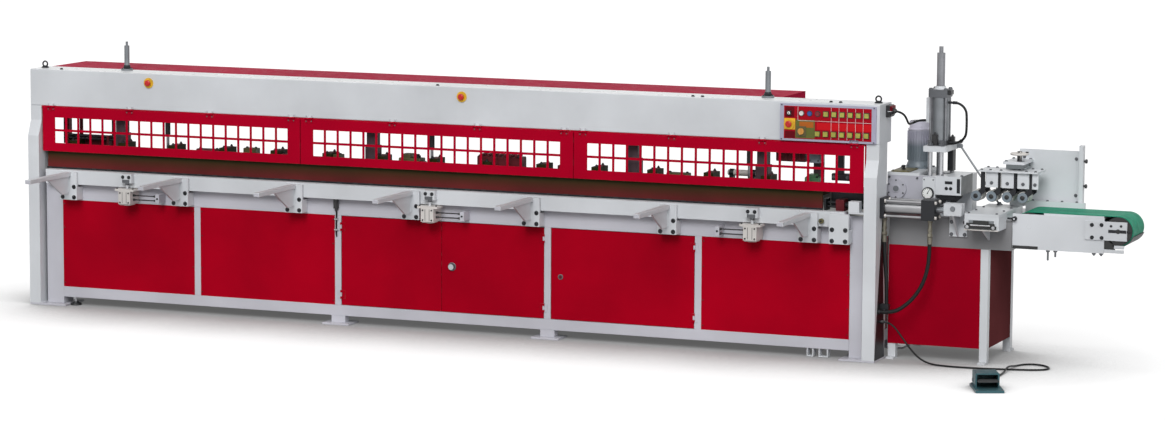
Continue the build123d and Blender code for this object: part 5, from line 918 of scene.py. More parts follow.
@dataclass
class Cords:
    """The pedal's cable, the cylinders' hoses and the head's cable, with their end fittings."""

    cable: float = 11.0
    hose: float = 24.0
    clamp_hose: float = 15.0
    head_cable: float = 13.0
    crimps: Pairs = (
        (0.34, 0.92), (0.36, 1.0), (0.52, 1.0), (0.54, 0.93), (0.60, 0.93), (0.62, 1.0),
        (0.78, 1.0), (0.80, 0.93), (0.86, 0.93), (0.88, 1.0), (0.97, 1.0), (1.0, 0.9))
    hose_nut: Pairs = (
        (0.0, 1.1), (0.03, 1.16), (0.27, 1.16), (0.3, 1.05), (0.34, 0.85))
    gland_nut: Pairs = ((0.0, 1.9), (0.26, 1.9), (0.3, 1.8))
    taper: Pairs = (
        (0.3, 1.65), (0.42, 1.62), (0.44, 1.45), (0.5, 1.45), (0.52, 1.5), (0.58, 1.46),
        (0.6, 1.34), (0.66, 1.34), (0.68, 1.38), (0.76, 1.32), (0.78, 1.22), (0.86, 1.22),
        (1.0, 1.1))

    @staticmethod
    def fitting(base: Point, facing: Facing, radius: float, length: float,
                *forms: tuple[int, Pairs]) -> Shape:
        """Turn forms that are given in shares of a length and a radius.

        Args:
            base: where the fitting leaves what carries it.
            facing: where the cord goes from there.
            radius: what the forms' radii are shares of.
            length: what their distances are shares of.
            forms: each form's number of flats and its profile.

        Returns:
            The fitting's shape.
        """
        axis, way = facing.value
        shape = Shape()
        for sides, shares in forms:
            profile = [(share * way * length, size * radius) for share, size in shares]
            shape.turned(base, axis, profile, sides)
        return shape

    def ferrule(self, name: str, base: Point, facing: Facing, radius: float, length: float,
                finish: Finish = ZINC) -> Piece:
        """Make a crimped hose end with its nut, of a radius and a length."""
        shape = self.fitting(base, facing, radius, length, (22, self.crimps), (6, self.hose_nut))
        return shape.make(name, "bright_steel", finish)

    def gland(self, name: str, base: Point, facing: Facing, radius: float, length: float) -> Piece:
        """Make a cable gland that tapers onto a cable of that radius."""
        shape = self.fitting(base, facing, radius, length, (6, self.gland_nut), (20, self.taper))
        return shape.make(name, "black_plastic", BLACK_PLASTIC)

    def pedal(self) -> None:
        """Draw the pedal's cable with its gland."""
        start = (5812, 100, 238)
        gland = self.gland("pedal_cable_gland", start, Facing.RIGHT, self.cable / 2.0, 34)
        Cord("pedal_cable", self.cable, 2173, Stiffness.MEDIUM, Lay.LOOSE, [
            start, (5848, 100, 238), (5890, 100, 216), (5936, 98, 160), (5990, 94, 92),
            (6050, 84, 36), (6126, 64, 7), (6250, 36, 6.5), (6396, 40, 6.5), (6530, 62, 6.5),
            (6655, 92, 6.5), (6760, 122, 6.5), (6818, 166, 6.5), (6818, 232, 6.5), (6772, 296, 6.5),
            (6700, 324, 6.5), (6640, 288, 6.5), (6610, 214, 6.5), (6604, 118, 21), (6606, 42, 21),
            (6612, -40, 6.5), (6616, -150, 6.5), (6608, -260, 6.5), (6592, -345, 16),
            (6585.4, -414.6, 30), (6609.7, -469.1, 30)]).build(gland)

    def hoses(self) -> None:
        """Draw the two hoses of the press cylinder with their ferrules."""
        grip = self.hose / 2.0 + 3.0
        start = (5813, 125, 782)
        end = self.ferrule("hose_end_left", start, Facing.DOWN, grip, 62)
        Cord("press_hose_left", self.hose, 438, Stiffness.STIFF, Lay.HANGING, [
            start, (5813, 125, 700), (5822, 122, 590), (5835, 117, 460),
            (5835, 117, 345)]).build(end)
        start = (6096, 125, 782)
        end = self.ferrule("hose_end_right", start, Facing.DOWN, grip, 62)
        Cord("press_hose_right", self.hose, 637, Stiffness.STIFF, Lay.HANGING, [
            start, (6096, 125, 705), (6091, 122, 590), (6064, 113, 484), (6015, 100, 400),
            (5953, 80, 338), (5886, 70, 302), (5812, 70, 302)]).build(end)

    def head(self) -> None:
        """Draw the clamp cylinder's hose and the head's cable with their fittings."""
        grip = self.clamp_hose / 2.0 + 2.0
        start, end = (6138, 425, 1543), (6138, 425, 1302)
        upper = self.ferrule("clamp_hose_top", start, Facing.RIGHT, grip, 26, BLACK_STEEL)
        lower = self.ferrule("clamp_hose_low", end, Facing.RIGHT, grip, 26, BLACK_STEEL)
        Cord("clamp_hose", self.clamp_hose, 352, Stiffness.STIFF, Lay.LOOSE, [
            start, (6164, 425, 1543), (6192.6, 424, 1531.1), (6214.6, 421, 1509.2),
            (6226.4, 417, 1480.6), (6226.4, 417, 1364.6), (6214.6, 421, 1335.9),
            (6192.6, 424, 1314), (6164, 425, 1302), end]).build(upper, lower)
        start = (5814, 205, 1500)
        gland = self.gland("head_cable_gland", start, Facing.RIGHT, self.head_cable / 2.0, 28)
        Cord("head_cable", self.head_cable, 354, Stiffness.STIFF, Lay.LOOSE, [
            start, (5840, 205, 1500), (5864.9, 215.3, 1494.8), (5884, 234.4, 1482.2),
            (5894.3, 259.3, 1461.1), (5894.3, 317.5, 1412.3), (5894.3, 375.7, 1412.3),
            (5904.6, 400.6, 1417.1), (5923.7, 419.7, 1425.9), (5948.6, 430, 1430.7),
            (5973, 430, 1430.7)]).build(gland)

    def build(self) -> None:
        """Draw the five cords and their fittings."""
        self.pedal()
        self.hoses()
        self.head()


@dataclass
class NodeFinishes:
    """The finishes of the frame's own nodes."""

    ease: float = 2.0
    fine_ease: float = 1.5
    cap_line: float = 1358.0
    tube_middles: Places = (870.5, 3017.5, 4899.5)
    block_middles: Places = (967, 3114, 4803)
    eased: tuple[tuple[str, Finish], ...] = (
        ("rear_cover", COVER_RED), ("base_frame", FRAME_GREY), ("front_fence", GREY_WHITE),
        ("support_arms", GREY_WHITE))
    plain: tuple[tuple[str, Finish], ...] = (
        ("door_knob", BRIGHT_STEEL), ("bolts_and_eyes", BLACK_STEEL), ("hydraulic_unit", TANK_GREY),
        ("clamp_ram", SHAFT_STEEL), ("feed_shaft", CYLINDER), ("main_switch", SWITCH_TAN),
        ("conveyor_frame", GREY_WHITE), ("conveyor_belt", BELT_GREEN), ("tail_drum", DRUM_BLACK),
        ("clamp_lever", BLACK_STEEL), ("pedal_base", PEDAL_TEAL), ("foot_pedal", TREAD_BLACK),
        ("pedal_cable", HOSE_BLACK), ("press_hose_left", HOSE_BLACK),
        ("press_hose_right", HOSE_BLACK), ("clamp_hose", HOSE_BLACK), ("head_cable", HOSE_BLACK))
    numbered: tuple[tuple[str, int, Finish], ...] = (
        ("window_door", 3, DOOR_RED), ("estop", 3, STOP_RED), ("push_button", 7, BUTTON_GREEN),
        ("press_roller", 4, ROLLER))

    def body(self) -> None:
        """Finish the posts, the box, the panels, the doors and the table."""
        coat("end_posts", GREY_WHITE, ((5800, 40, 200), (5860, 140, 350), BLACK_STEEL),
             soften=self.ease)
        # the box's top face takes the whiter paint as painted light
        coat("top_box", GREY_WHITE,
             ((0, 41, 1547.5), (5800, 269, 1548.5), TOP_WHITE_LIT),
             ((800, 30, 1450), (920, 39.9, 1530), STOP_YELLOW),
             ((3000, 30, 1450), (3120, 39.9, 1530), STOP_YELLOW),
             ((5800.5, 180, 1480), (5820, 230, 1520), BLACK_PLASTIC))
        # the stand's right side sheet takes the darker red as painted shade
        coat("fixed_panels", CABINET_RED,
             ((6400, 240, 0), (6500, 790, 800), STAND_SIDE_SHADE),
             ((5800, 0, 0), (6500, 900, 800), STAND_RED))
        coat("work_table", TABLE_STEEL, ((5620, -10, 880), (5800, 65, 970), GREY_WHITE),
             soften=self.fine_ease)
        for side in ("left", "right", "side"):
            coat("cabinet_door_" + side, CABINET_RED,
                 ((3725, 40, 375), (3760, 61.9, 410), DARK_RED))
        coat("hinges", FRAME_GREY,
             ((0, 20, 1270), (5800, 60, 1313.2), DOOR_RED),
             ((5600, 20, 1313.2), (5700, 60, 1340), BORDER_LILAC),
             ((0, 20, 1313.2), (5800, 60, 1340), GREY_WHITE))

    def press(self) -> None:
        """Finish the air cylinders, the beam, the ram and the press cylinder."""
        coat("air_cylinders", LIFT_GREY,
             ((590, 100, 1149), (5080, 170, 1310.1), COLUMN_GREY),
             ((590, 150, 1547), (5080, 250, 1740), CYLINDER),
             ((6350, 47, 843), (6512, 60.1, 889), CYLINDER),
             *(((middle - 60, -26, 727), (middle + 60, -14, 767), BLACK_PLASTIC)
               for middle in self.tube_middles),
             *(((middle - 16, -30, 717), (middle + 16, 61, 777), FRAME_GREY)
               for middle in self.block_middles))
        # the press beam's finish is painted shade, red darkened towards olive-black under the doors
        coat("press_beam", BEAM_RED_SHADED,
             ((600, 110, 1090), (5100, 160, 1240), BLACK_STEEL),
             ((100, 60, 890), (5450, 90, 909.9), BLACK_STEEL))
        coat("press_ram", BLACK_STEEL, ((5510, 80, 885), (5575, 170, 970), DARK_RED))
        coat("press_cylinder", BLACK_STEEL,
             ((5826.1, 60, 860), (6055.9, 190, 1000), CHROME),
             ((6138.1, 60, 860), (6187.9, 190, 1000), CYLINDER),
             ((5800, 100, 780), (6110, 140, 866.9), ZINC),
             ((6188, 80, 900), (6300, 170, 980), GREY_WHITE))

    def head(self) -> None:
        """Finish the clamp, the feed head and the control panel."""
        coat("clamp_cylinder", CAP_GREY,
             ((5950, 300, 1250), (6180, 630, 1287.1), GREY_WHITE),
             ((5970, 415, 1416), (5998.9, 445, 1568.5), GREY_WHITE),
             ((6113, 400, 1290), (6140, 450, 1560), BLACK_STEEL),
             ((6000, 370, 1317.1), (6115, 490, 1574.9), CYLINDER),
             ((5980, 320, 1100), (6160, 610, 1252.9), BRIGHT_STEEL))
        # the feed head's right face takes dark grey as painted shade
        coat("feed_head", GREY_WHITE,
             ((5990, 270, 965), (6072, 299.9, 1047), BLACK_STEEL),
             ((5769, 280, 880), (6072.1, 300.2, 1104.9), HOUSING_LILAC),
             ((6232.5, 300, 998), (6234, 546, 1110.9), BLOCK_SHADE_GREY))
        coat("head_motor", MOTOR_GREY,
             ((5800, 500, self.cap_line + 0.1), (5960, 700, 1410), FAN_WHITE))
        coat("control_panel", BORDER_LILAC,
             ((5204, 21, 1326), (5756, 22.1, 1524), PANEL_RED),
             ((5200, 14, 1380), (5275, 21.9, 1450), STOP_YELLOW),
             ((5280, 14, 1340), (5350, 21.9, 1405), OLIVE))
        coat("panel_lamps", LAMP_LENS,
             ((5400, 9, 1465), (5436, 22, 1498), LAMP_RED),
             ((5350, 9, 1465), (5384, 22, 1498), LAMP_BLUE),
             ((5300, 9, 1465), (5334, 22, 1498), LAMP_WHITE),
             ((5222, 8, 1465), (5256, 22, 1498), BLACK_PLASTIC))

    def infeed(self) -> None:
        """Finish the stand, the infeed table, the roller bridge and the conveyor's drive."""
        # the bed's darker grey is partly painted shade under the press cylinder
        coat("stand_frame", GREY_WHITE, ((5810, 226, 692), (6570, 802, 879.9), BED_GREY_SHADED),
             soften=self.ease)
        coat("infeed_table", GREY_WHITE, soften=self.fine_ease)
        coat("roller_bridge", BLACK_STEEL, ((6320, 320, 1146.9), (6700, 520, 1160), GREY_WHITE))
        coat("handwheel", BLACK_STEEL, ((6500, 360, 1246), (6620, 480, 1262), LIFT_GREY))
        coat("drive_drum", DRUM_BLACK, ((6640, 249, 810), (6700, 250.6, 875), GREY_WHITE))

    def dress(self) -> None:
        """Give every node of the frame its finishes."""
        for name, finish in self.eased:
            coat(name, finish, soften=self.ease)
        for name, finish in self.plain:
            coat(name, finish)
        for name, count, finish in self.numbered:
            for number in range(1, count + 1):
                coat(f"{name}_{number}", finish)
        self.body()
        self.press()
        self.head()
        self.infeed()


@dataclass
class BodyShell:
    """The trim, feet and small fittings of the long body."""

    left: float = 80.0
    right: float = 5720.0
    end: float = 5800.0
    box_low: float = 1310.0
    box_top: float = 1548.0
    rail_low: float = 55.0
    door_gaps: Pair = (1963.8, 3836.2)
    feet_places: Pairs = ((292, 92), (292, 668), (5508, 668))
    brackets: Pairs = ((5354, 5396), (5430, 5488))
    bracket_wall: float = 6.0
    bead: float = 4.5
    jacks: Pair = (629, 5040)
    jack_low: float = 1560.0
    eyes: Pair = (45, 5755)
    box_bolts: Pairs = (
        (4600, 80), (4662, 80), (5480, 84), (5540, 84), (210, 80),
        (2900, 80))
    switch_x: float = 2207.0

    def trim(self) -> None:
        """Make the red strips round the window doors and the dark panel behind the ram."""
        shape = Shape().block((self.left, 42, 1297), (self.right, 50, self.box_low), 1.5)
        for middle, half in ((self.left + 7, 7), *((gap, 20) for gap in self.door_gaps),
                             (self.right - 7, 7)):
            shape.block((middle - half, 50.5, 1015), (middle + half, 58, self.box_low), 2.5)
        shape.make("door_trim", "cover_red", DOOR_RED)
        shape = Shape().block((5456, 188, 900), (self.right, 194, 1034), 2)
        shape.finish(1).screws(grid((5500, 5670), 188, 1016), 6)
        shape.make("ram_back_panel", "dark_steel", BLACK_STEEL, CAP_GREY)

    def feet(self) -> None:
        """Make the levelling feet, the open brackets under the rail and the posts' welds."""
        shape = Shape()
        for x, y in self.feet_places:
            shape.finish(0).turned((x, y, 0), Axis.Z, [
                (0, 36), (6, 38), (12, 36), (16, 20), (24, 15)])
            shape.finish(1).turned((x, y, 20), Axis.Z, [(0, 9), (35, 9)], 16)
            shape.turned((x, y, 40), Axis.Z, [(0, 16), (15, 16)], 6)
        shape.make("levelling_feet", "black_plastic", BLACK_PLASTIC, BRIGHT_STEEL)
        shape, wall = Shape(), self.bracket_wall
        for low, high in self.brackets:
            for side in (low, high - wall):
                shape.block((side, 62, 4), (side + wall, 118, self.rail_low), 1)
            shape.block((low + wall, 62, 4), (high - wall, 118, 10), 1)
        shape.make("lifting_brackets", "body_white", GREY_WHITE)
        shape = Shape()
        for x in (self.left + 2, self.right - 2):
            shape.rod([(x, 8, 13.5), (x, 60, 14.2), (x, 120, 13.6), (x, 192, 14)], self.bead, 8)
        for low, high in ((0, self.left), (self.right, self.end)):
            shape.rod([(low + 6, 201.5, 13.5), (low + 40, 202, 14), (high - 6, 201.5, 13.6)],
                      self.bead, 8)
        shape.make("post_welds", "body_white", GREY_WHITE)

    def limit_switch(self) -> None:
        """Make the switch on the middle upright with its clipped conduit."""
        x = self.switch_x
        shape = Shape().block((x - 13, 36, 742), (x + 17, 60, 798), 3)
        shape.block((x - 9, 33, 750), (x + 13, 36, 790), 2)
        shape.turned((x + 2, 50, 742), Axis.Z, [(0, 10), (-10, 10), (-12, 8), (-18, 7)], 12)
        shape.finish(1).turned((x + 2, 48, 798), Axis.Z, [(0, 7), (4, 7), (5, 4), (8, 4)], 14)
        shape.finish(2).rod([(x + 2, 52, 726), (x + 2, 54, 700), (x, 54, 640), (x, 54, 575),
                             (x, 63, 560)], 5)
        for z in (600, 668):
            shape.finish(1).block((x - 12, 47.5, z), (x + 13, 60, z + 10), 2)
        shape.make("limit_switch", "black_plastic", BLACK_PLASTIC, BRIGHT_STEEL, HOSE_BLACK)

    def top(self) -> None:
        """Make the jacks' nuts, the eyes' collars and the bolts on top of the box."""
        shape = Shape()
        for x in self.jacks:
            base = (x, 200, self.jack_low)
            shape.turned(base, Axis.Z, [(0, 27), (12, 27), (15, 24)], 6)
            shape.turned(base, Axis.Z, [(15, 21), (23, 20)], 20)
            shape.screws(around(base, Axis.Z, 32, 4, 45), 4.5, Facing.UP)
        for x in self.eyes:
            shape.turned((x, 155, self.box_top), Axis.Z, [(0, 24), (5, 24), (9, 18), (14, 15)], 20)
        shape.bolts([(x, y, self.box_top) for x, y in self.box_bolts], 9, Facing.UP)
        shape.make("top_fittings", "dark_steel", BLACK_STEEL)

    def connector(self) -> None:
        """Make the plug housing on the box's right end and the hood round its cable."""
        shape = Shape().block((self.end, 158, 1464), (5824, 252, 1536), 4)
        shape.block((5824, 168, 1472), (5832, 240, 1530), 3)
        shape.turned((5832, 205, 1500), Axis.X, [
            (0, 19), (8, 19), (10, 15), (16, 14), (20, 11)], 20)
        shape.finish(1).block((5810, 164, 1502), (5834, 246, 1532), 3)
        for outer, inner in ((154, 174), (256, 236)):
            shape.finish(2).rod([(5812, outer, 1500), (5834, outer, 1500), (5834, inner, 1500)], 3)
        shape.make("plug_housing", "black_plastic", BLACK_PLASTIC, DEEP_RED, BRIGHT_STEEL)

    def back(self) -> None:
        """Make the screws of the rear cover."""
        shape = Shape().screws(grid(row(80, 497, 11), 715, (1334, 1524)), 7, Facing.REAR)
        shape.make("cover_screws", "dark_steel", BLACK_STEEL)

    def build(self) -> None:
        """Make the body's trim and fittings."""
        self.trim()
        self.feet()
        self.limit_switch()
        self.top()
        self.connector()
        self.back()


@dataclass
class EmergencyStops:
    """The mushroom heads of the three stop buttons."""

    places: tuple[Point, ...] = (
        (876, 35.9, 1488), (3083, 35.9, 1488), (5239, 17.9, 1414))
    head: float = 20.0
    stem: float = 9.0
    top: float = 21.9
    grip: float = 9.0

    def build(self) -> None:
        """Make each head with its rounded rim and grip marks."""
        profile = [(0.0, self.stem), (-8.9, self.stem)]
        profile += [(-reach, share * self.head) for reach, share in (
            (8.9, 0.85), (10, 0.97), (14, 1.0), (18, 0.96), (20.5, 0.82), (self.top, 0.55))]
        for number, middle in enumerate(self.places, 1):
            shape = Shape().turned(middle, Axis.Y, profile, 32).finish(1)
            for x, y, z in around(middle, Axis.Y, self.grip, 3, 90):
                shape.block((x - 2, y - self.top, z - 2), (x + 2, y - 21, z + 2), 0.4)
            piece = shape.make(f"stop_head_{number}", "stop_red", STOP_RED, LAMP_RED,
                               body=f"estop_{number}")
            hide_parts(f"estop_{number}")


@dataclass
class WindowDoors:
    """The folded edges and hinge screws of the three window doors."""

    starts: Places = (94, 1966.3, 3838.7)
    width: float = 1867.3
    low: float = 1019.0
    high: float = 1290.0
    hinge_inset: float = 60.0
    hinges: int = 4
    screw: float = 4.0

    def hinge_screws(self, left: float, y: float, z: float) -> list[Point]:
        """List where the screws of one door's hinges are, two at each hinge."""
        pitch = (self.width - 2 * self.hinge_inset) / (self.hinges - 1)
        return [(x + side, y, z) for x in row(left + self.hinge_inset, pitch, self.hinges)
                for side in (-18, 18)]

    def build(self) -> None:
        """Make each door's folds, and the screws of its hinges on both sides."""
        for number, left in enumerate(self.starts, 1):
            right = left + self.width
            shape = Shape()
            for edge in (left + 3, right - 6):
                shape.block((edge, 40, self.low), (edge + 3, 47, self.high), 0.8)
            shape.block((left + 6, 40, self.low), (right - 6, 47, self.low + 3), 0.8)
            shape.finish(1).screws(self.hinge_screws(left, 33, self.high), self.screw)
            shape.make(f"door_folds_{number}", "cover_red", DOOR_RED, CAP_GREY,
                       body=f"window_door_{number}")
        shape = Shape()
        for left in self.starts:
            shape.screws(self.hinge_screws(left, 37, 1323), self.screw)
        shape.make("hinge_screws", "bright_steel", FRAME_GREY)


@dataclass
class PressBeam:
    """What stands on the press beam and what hangs above it from the box."""

    body: str = "press_beam"
    pad_start: float = 121.0
    pad_pitch: float = 110.7
    pads: int = 48
    shoe_start: float = 288.0
    shoe_pitch: float = 368.0
    shoes: int = 14
    platen: float = 1040.0
    shoe_top: float = 1086.0
    column_low: float = 1150.0
    box_low: float = 1310.0
    sleeve: float = 108.0
    columns: Places = (629, 2430, 4203, 5040)
    side_columns: Places = (961, 2836, 4949)
    middle: float = 135.0
    blocks: tuple[tuple[float, float, float, int], ...] = (
        (1180, 1330, 1070, 0), (1520, 1610, 1090, 1), (1780, 1860, 1066, 0),
        (2100, 2210, 1078, 1), (3700, 3790, 1082, 0), (4420, 4560, 1072, 1))

    def edge(self) -> None:
        """Make the pads along the beam's lower edge and the shoes' bolts."""
        shape = Shape()
        for x in row(self.pad_start, self.pad_pitch, self.pads):
            shape.block((x - 15, 62, 899), (x + 15, 65, 911), 1.5)
        shape.make("edge_pads", "black_plastic", BLACK_PLASTIC, body=self.body)
        shape, top = Shape(), self.shoe_top
        for x in row(self.shoe_start, self.shoe_pitch, self.shoes):
            shape.finish(0)
            for spot in grid(x, (88, 195), top):
                shape.bolts([spot], 9, Facing.UP)
                shape.turned(spot, Axis.Z, [(9, 5.5), (14, 5.5), (15, 4)], 10)
            shape.finish(1).block((x - 24, 108, top), (x + 24, 178, top + 3), 1)
        shape.make("shoe_bolts", "dark_steel", BLACK_STEEL, DARK_RED, body=self.body)

    def guides(self) -> None:
        """Make the sleeves round the guide columns and the thin rods in their tubes."""
        shape, reach = Shape(), self.sleeve
        for x in self.columns:
            shape.turned((x, self.middle, self.platen), Axis.Z, [
                (0, 66), (6, 66), (6, 56), (reach, 56), (reach, 51), (0, 51)], 4, 45, bore=True)
        shape.make("column_sleeves", "dark_steel", COLUMN_GREY, body=self.body, ease=2.0)
        rods, tubes, drop = Shape(), Shape(), self.column_low - self.box_low
        for x in self.side_columns:
            rods.turned((x, self.middle, self.platen), Axis.Z, [
                (0, 22), (8, 22), (10, 10), (122, 10), (124, 8)], 18)
            hung = (x, self.middle, self.box_low)
            tube = [(drop, 17), (0, 17), (0, 11.5), (drop, 11.5)]
            tubes.turned(hung, Axis.Z, tube, 20, bore=True)
            tubes.turned(hung, Axis.Z, [(0, 30), (-8, 30), (-8, 17), (0, 17)], 20, bore=True)
        rods.make("side_rods", "bright_steel", SHAFT_STEEL, body=self.body)
        tubes.make("side_tubes", "dark_steel", BLACK_STEEL)

    def units(self) -> None:
        """Make the drive, the valve block and the guide block on the beam."""
        low = self.platen
        shape = Shape().block((3165, 92, low), (3457, 190, 1118), 8)
        for x in row(3188, 38, 7):
            shape.block((x, 96, 1118), (x + 18, 186, 1133), 3)
        shape.finish(1).bolts(grid((3180, 3442), 100, 1118), 8, Facing.UP)
        shape.make("beam_drive", "beam_red", DARK_RED, BLACK_STEEL, body=self.body)
        shape = Shape().block((2624, 95, low), (2769, 180, 1080), 6)
        shape.block((2640, 104, 1080), (2700, 172, 1105), 5).finish(1)
        shape.turned((2735, 138, 1080), Axis.Z, [(0, 22), (14, 22), (18, 14), (24, 14)], 20)
        shape.rod([(2769, 120, 1060), (2800, 120, 1060), (2806, 120, 1054), (2806, 120, low)], 6)
        shape.make("valve_block", "dark_steel", OLIVE, BLACK_STEEL, body=self.body)
        shape = Shape().block((5316, 95, low), (5406, 185, 1088), 6)
        shape.block((5326, 105, 1088), (5380, 175, 1104), 4)
        shape.finish(1).bolts(grid((5330, 5392), 100, 1088), 6, Facing.UP)
        shape.finish(2).block((5338, 193, low), (5406, 205, 1200), 3)
        shape.make("guide_block", "dark_steel", UNIT_GREEN, BLACK_STEEL, COLUMN_GREY,
                   body=self.body)

    def small_units(self) -> None:
        """Make the small cylinder, the pipes and the bolted blocks on the beam."""
        low = self.platen
        shape = Shape().finish(1)
        for x in (4824, 4964):
            shape.block((x - 12, 156, low), (x + 12, 198, 1072), 2)
            shape.turned((x - 13, 177, 1085), Axis.X, [(0, 23), (26, 23)])
        shape.finish(0).turned((4798, 177, 1085), Axis.X, [
            (0, 15), (5, 19), (187, 19), (192, 15)], 26)
        shape.turned((4990, 177, 1085), Axis.X, [(0, 6), (2, 6)], 10)
        shape.make("small_cylinder", "bright_steel", LIFT_GREY, BLACK_STEEL, body=self.body)
        shape = Shape()
        for y, z in ((140, 1096), (165, 1096), (150, 1114)):
            shape.rod([(190, y, z), (380, y, z), (585, y, z)], 8)
            for x in (240, 330, 470, 560):
                shape.turned((x, y, z), Axis.X, [(0, 11), (14, 11)], 6)
        shape.finish(1)
        for x in (218, 520):
            shape.block((x - 9, 126, low), (x + 9, 180, 1122), 3)
        shape.prism([(186, low), (536, low), (536, 1112), (330, 1106), (186, 1082)],
                    Axis.Y, 184, 196)
        shape.make("beam_pipes", "dark_steel", BLACK_STEEL, DARK_RED, body=self.body)
        shape = Shape()
        for left, right, top, mark in self.blocks:
            shape.finish(mark).block((left, 110, low), (right, 170, top), 5)
            shape.finish(2).bolts(grid((left + 14, right - 14), 140, top), 8, Facing.UP)
        shape.make("beam_blocks", "dark_steel", DARK_RED, OLIVE, BLACK_STEEL, body=self.body)

    def hung(self) -> None:
        """Make the lift drive, the posts and the brackets that hang from the box."""
        top = self.box_low
        shape = Shape().block((5129, 105, 1176), (5312, 205, top), 8)
        for x in row(5146, 42, 4):
            shape.block((x, 97, 1190), (x + 16, 105, 1300), 2)
        shape.finish(1).block((5331, 100, 1176), (5413, 190, top), 10)
        shape.block((5312, 120, 1230), (5331, 170, 1280), 2)
        shape.finish(2).screws(grid((5345, 5399), 100, (1190, 1296)), 5)
        shape.make("lift_drive", "beam_red", DARK_RED, MOTOR_GREY, BLACK_STEEL)
        shape = Shape().block((141, 214, 1050), (183, 258, top), 3)
        shape.block((183, 216, 1057), (533, 226, 1115), 3)
        for x in (260, 500):
            shape.block((x, 218, 1115), (x + 26, 224, top), 1.5)
        shape.make("rear_rail", "beam_red", DARK_RED)
        shape = Shape().block((5468, 150, 1070), (5583, 200, 1112), 4)
        shape.block((5500, 165, 1112), (5536, 195, top), 3)
        shape.finish(1).bolts(grid((5482, 5568), 150, 1091), 9)
        shape.make("ram_bracket", "dark_steel", BLACK_STEEL, CAP_GREY)

    def build(self) -> None:
        """Make what belongs to the press beam."""
        self.edge()
        self.guides()
        self.units()
        self.small_units()
        self.hung()


@dataclass
class FrontFence:
    """The fence's brackets, its lift cylinders' details and the arms' washers and welds."""

    body: str = "front_fence"
    lifts: Places = (745, 2892, 5025)
    sides: tuple[int, ...] = (1, 1, -1)
    lift_front: float = -63.0
    lift_middle: float = -20.0
    arms: Places = (309, 1125, 1941, 2757, 3573, 4475, 5377)
    arm_half: float = 7.5
    bead: float = 4.0
    end_guide: float = 5573.0

    def fence(self) -> None:
        """Make the nuts and bolts of the fence's brackets, its end caps and its knob."""
        shape = Shape()
        for x in self.lifts:
            shape.finish(1).bolts(grid((x - 22, x + 22), -40, 878), 9)
            shape.finish(0).turned((x, self.lift_middle, 826), Axis.Z, [
                (0, 13), (2, 15), (14, 15)], 6)
            shape.block((x - 26, -43, 842), (x + 26, -40, 862), 2)
        for x in (126, 5600):
            shape.finish(2).block((x, 3, 811), (x + 4, 47, 897), 2)
        shape.make("fence_fittings", "dark_steel", CAP_GREY, BLACK_STEEL, FRAME_GREY,
                   body=self.body)
        knob = (5462, 0, 842)
        shape = Shape().turned(knob, Axis.Y, [
            (0, 10), (-10, 10), (-12, 16), (-22, 16), (-26, 12)], 20)
        shape.finish(1).turned(knob, Axis.Y, [(-26, 6), (-28, 6)], 6)
        shape.make("fence_knob", "dark_steel", OLIVE, BLACK_STEEL, body=self.body)

    def lift_cylinders(self) -> None:
        """Make the lift cylinders' screws, covers, slots and tube fittings."""
        shape, y, front = Shape(), self.lift_middle, self.lift_front
        for x, side in zip(self.lifts, self.sides):
            shape.finish(1).screws(grid((x - 57, x + 57), -51, 803), 6, Facing.UP)
            shape.finish(0).block((x - 38, y - 38, 698), (x + 38, y + 38, 705), 3)
            shape.turned((x, y, 698), Axis.Z, [(0, 26), (-4, 24)])
            shape.finish(1).screws(grid((x - 30, x + 30), front, (716, 778)), 5)
            shape.finish(2)
            for slot in (x - 16, x + 13):
                shape.block((slot, front - 0.6, 712), (slot + 3, front, 784), 0.3)
            for z in (733, 761):
                for start, way, end in ((43, side, 18), (208, -side, 16)):
                    shape.turned((x + side * start, y, z), Axis.X, [
                        (0, 8), (way * 9, 8), (way * 11, 6), (way * end, 6)], 12)
            shape.finish(1).screws([(x + side * 222, -28, 747)], 6)
        shape.make("lift_fittings", "cylinder_metal", LIFT_GREY, BLACK_STEEL, BLACK_PLASTIC)

    def support(self) -> None:
        """Make the support arms' washers, welds and end plugs."""
        washers, beads, plugs = Shape(), Shape(), Shape()
        washer = [(0, 14), (-2, 14), (-2.6, 13), (-2.6, 9.2), (0, 9.2)]
        for x in (*self.arms, self.end_guide):
            for spot in grid((x - 42, x + 42), -22, (726, 794)):
                washers.turned(spot, Axis.Y, washer, 20, bore=True)
        for x in self.arms:
            for edge in (x - self.arm_half, x + self.arm_half):
                beads.rod([(edge, -28, 861), (edge, -110, 861.6), (edge, -200, 861),
                           (edge, -284, 861.4)], self.bead, 8)
                beads.rod([(edge, -24.5, 758), (edge, -24, 800), (edge, -24.5, 856)], self.bead, 8)
            plugs.block((x - 19, -531, 865), (x + 19, -527, 889), 3)
            plugs.prism([(x - 16, 867), (x + 16, 867), (x + 16, 887), (x - 16, 887)],
                        Axis.Y, -534, -531)
        washers.make("arm_washers", "dark_steel", BLACK_STEEL)
        beads.make("arm_welds", "body_white", GREY_WHITE)
        plugs.make("arm_plugs", "body_white", FRAME_GREY)

    def build(self) -> None:
        """Make the fence's, the lifts' and the arms' details."""
        self.fence()
        self.lift_cylinders()
        self.support()


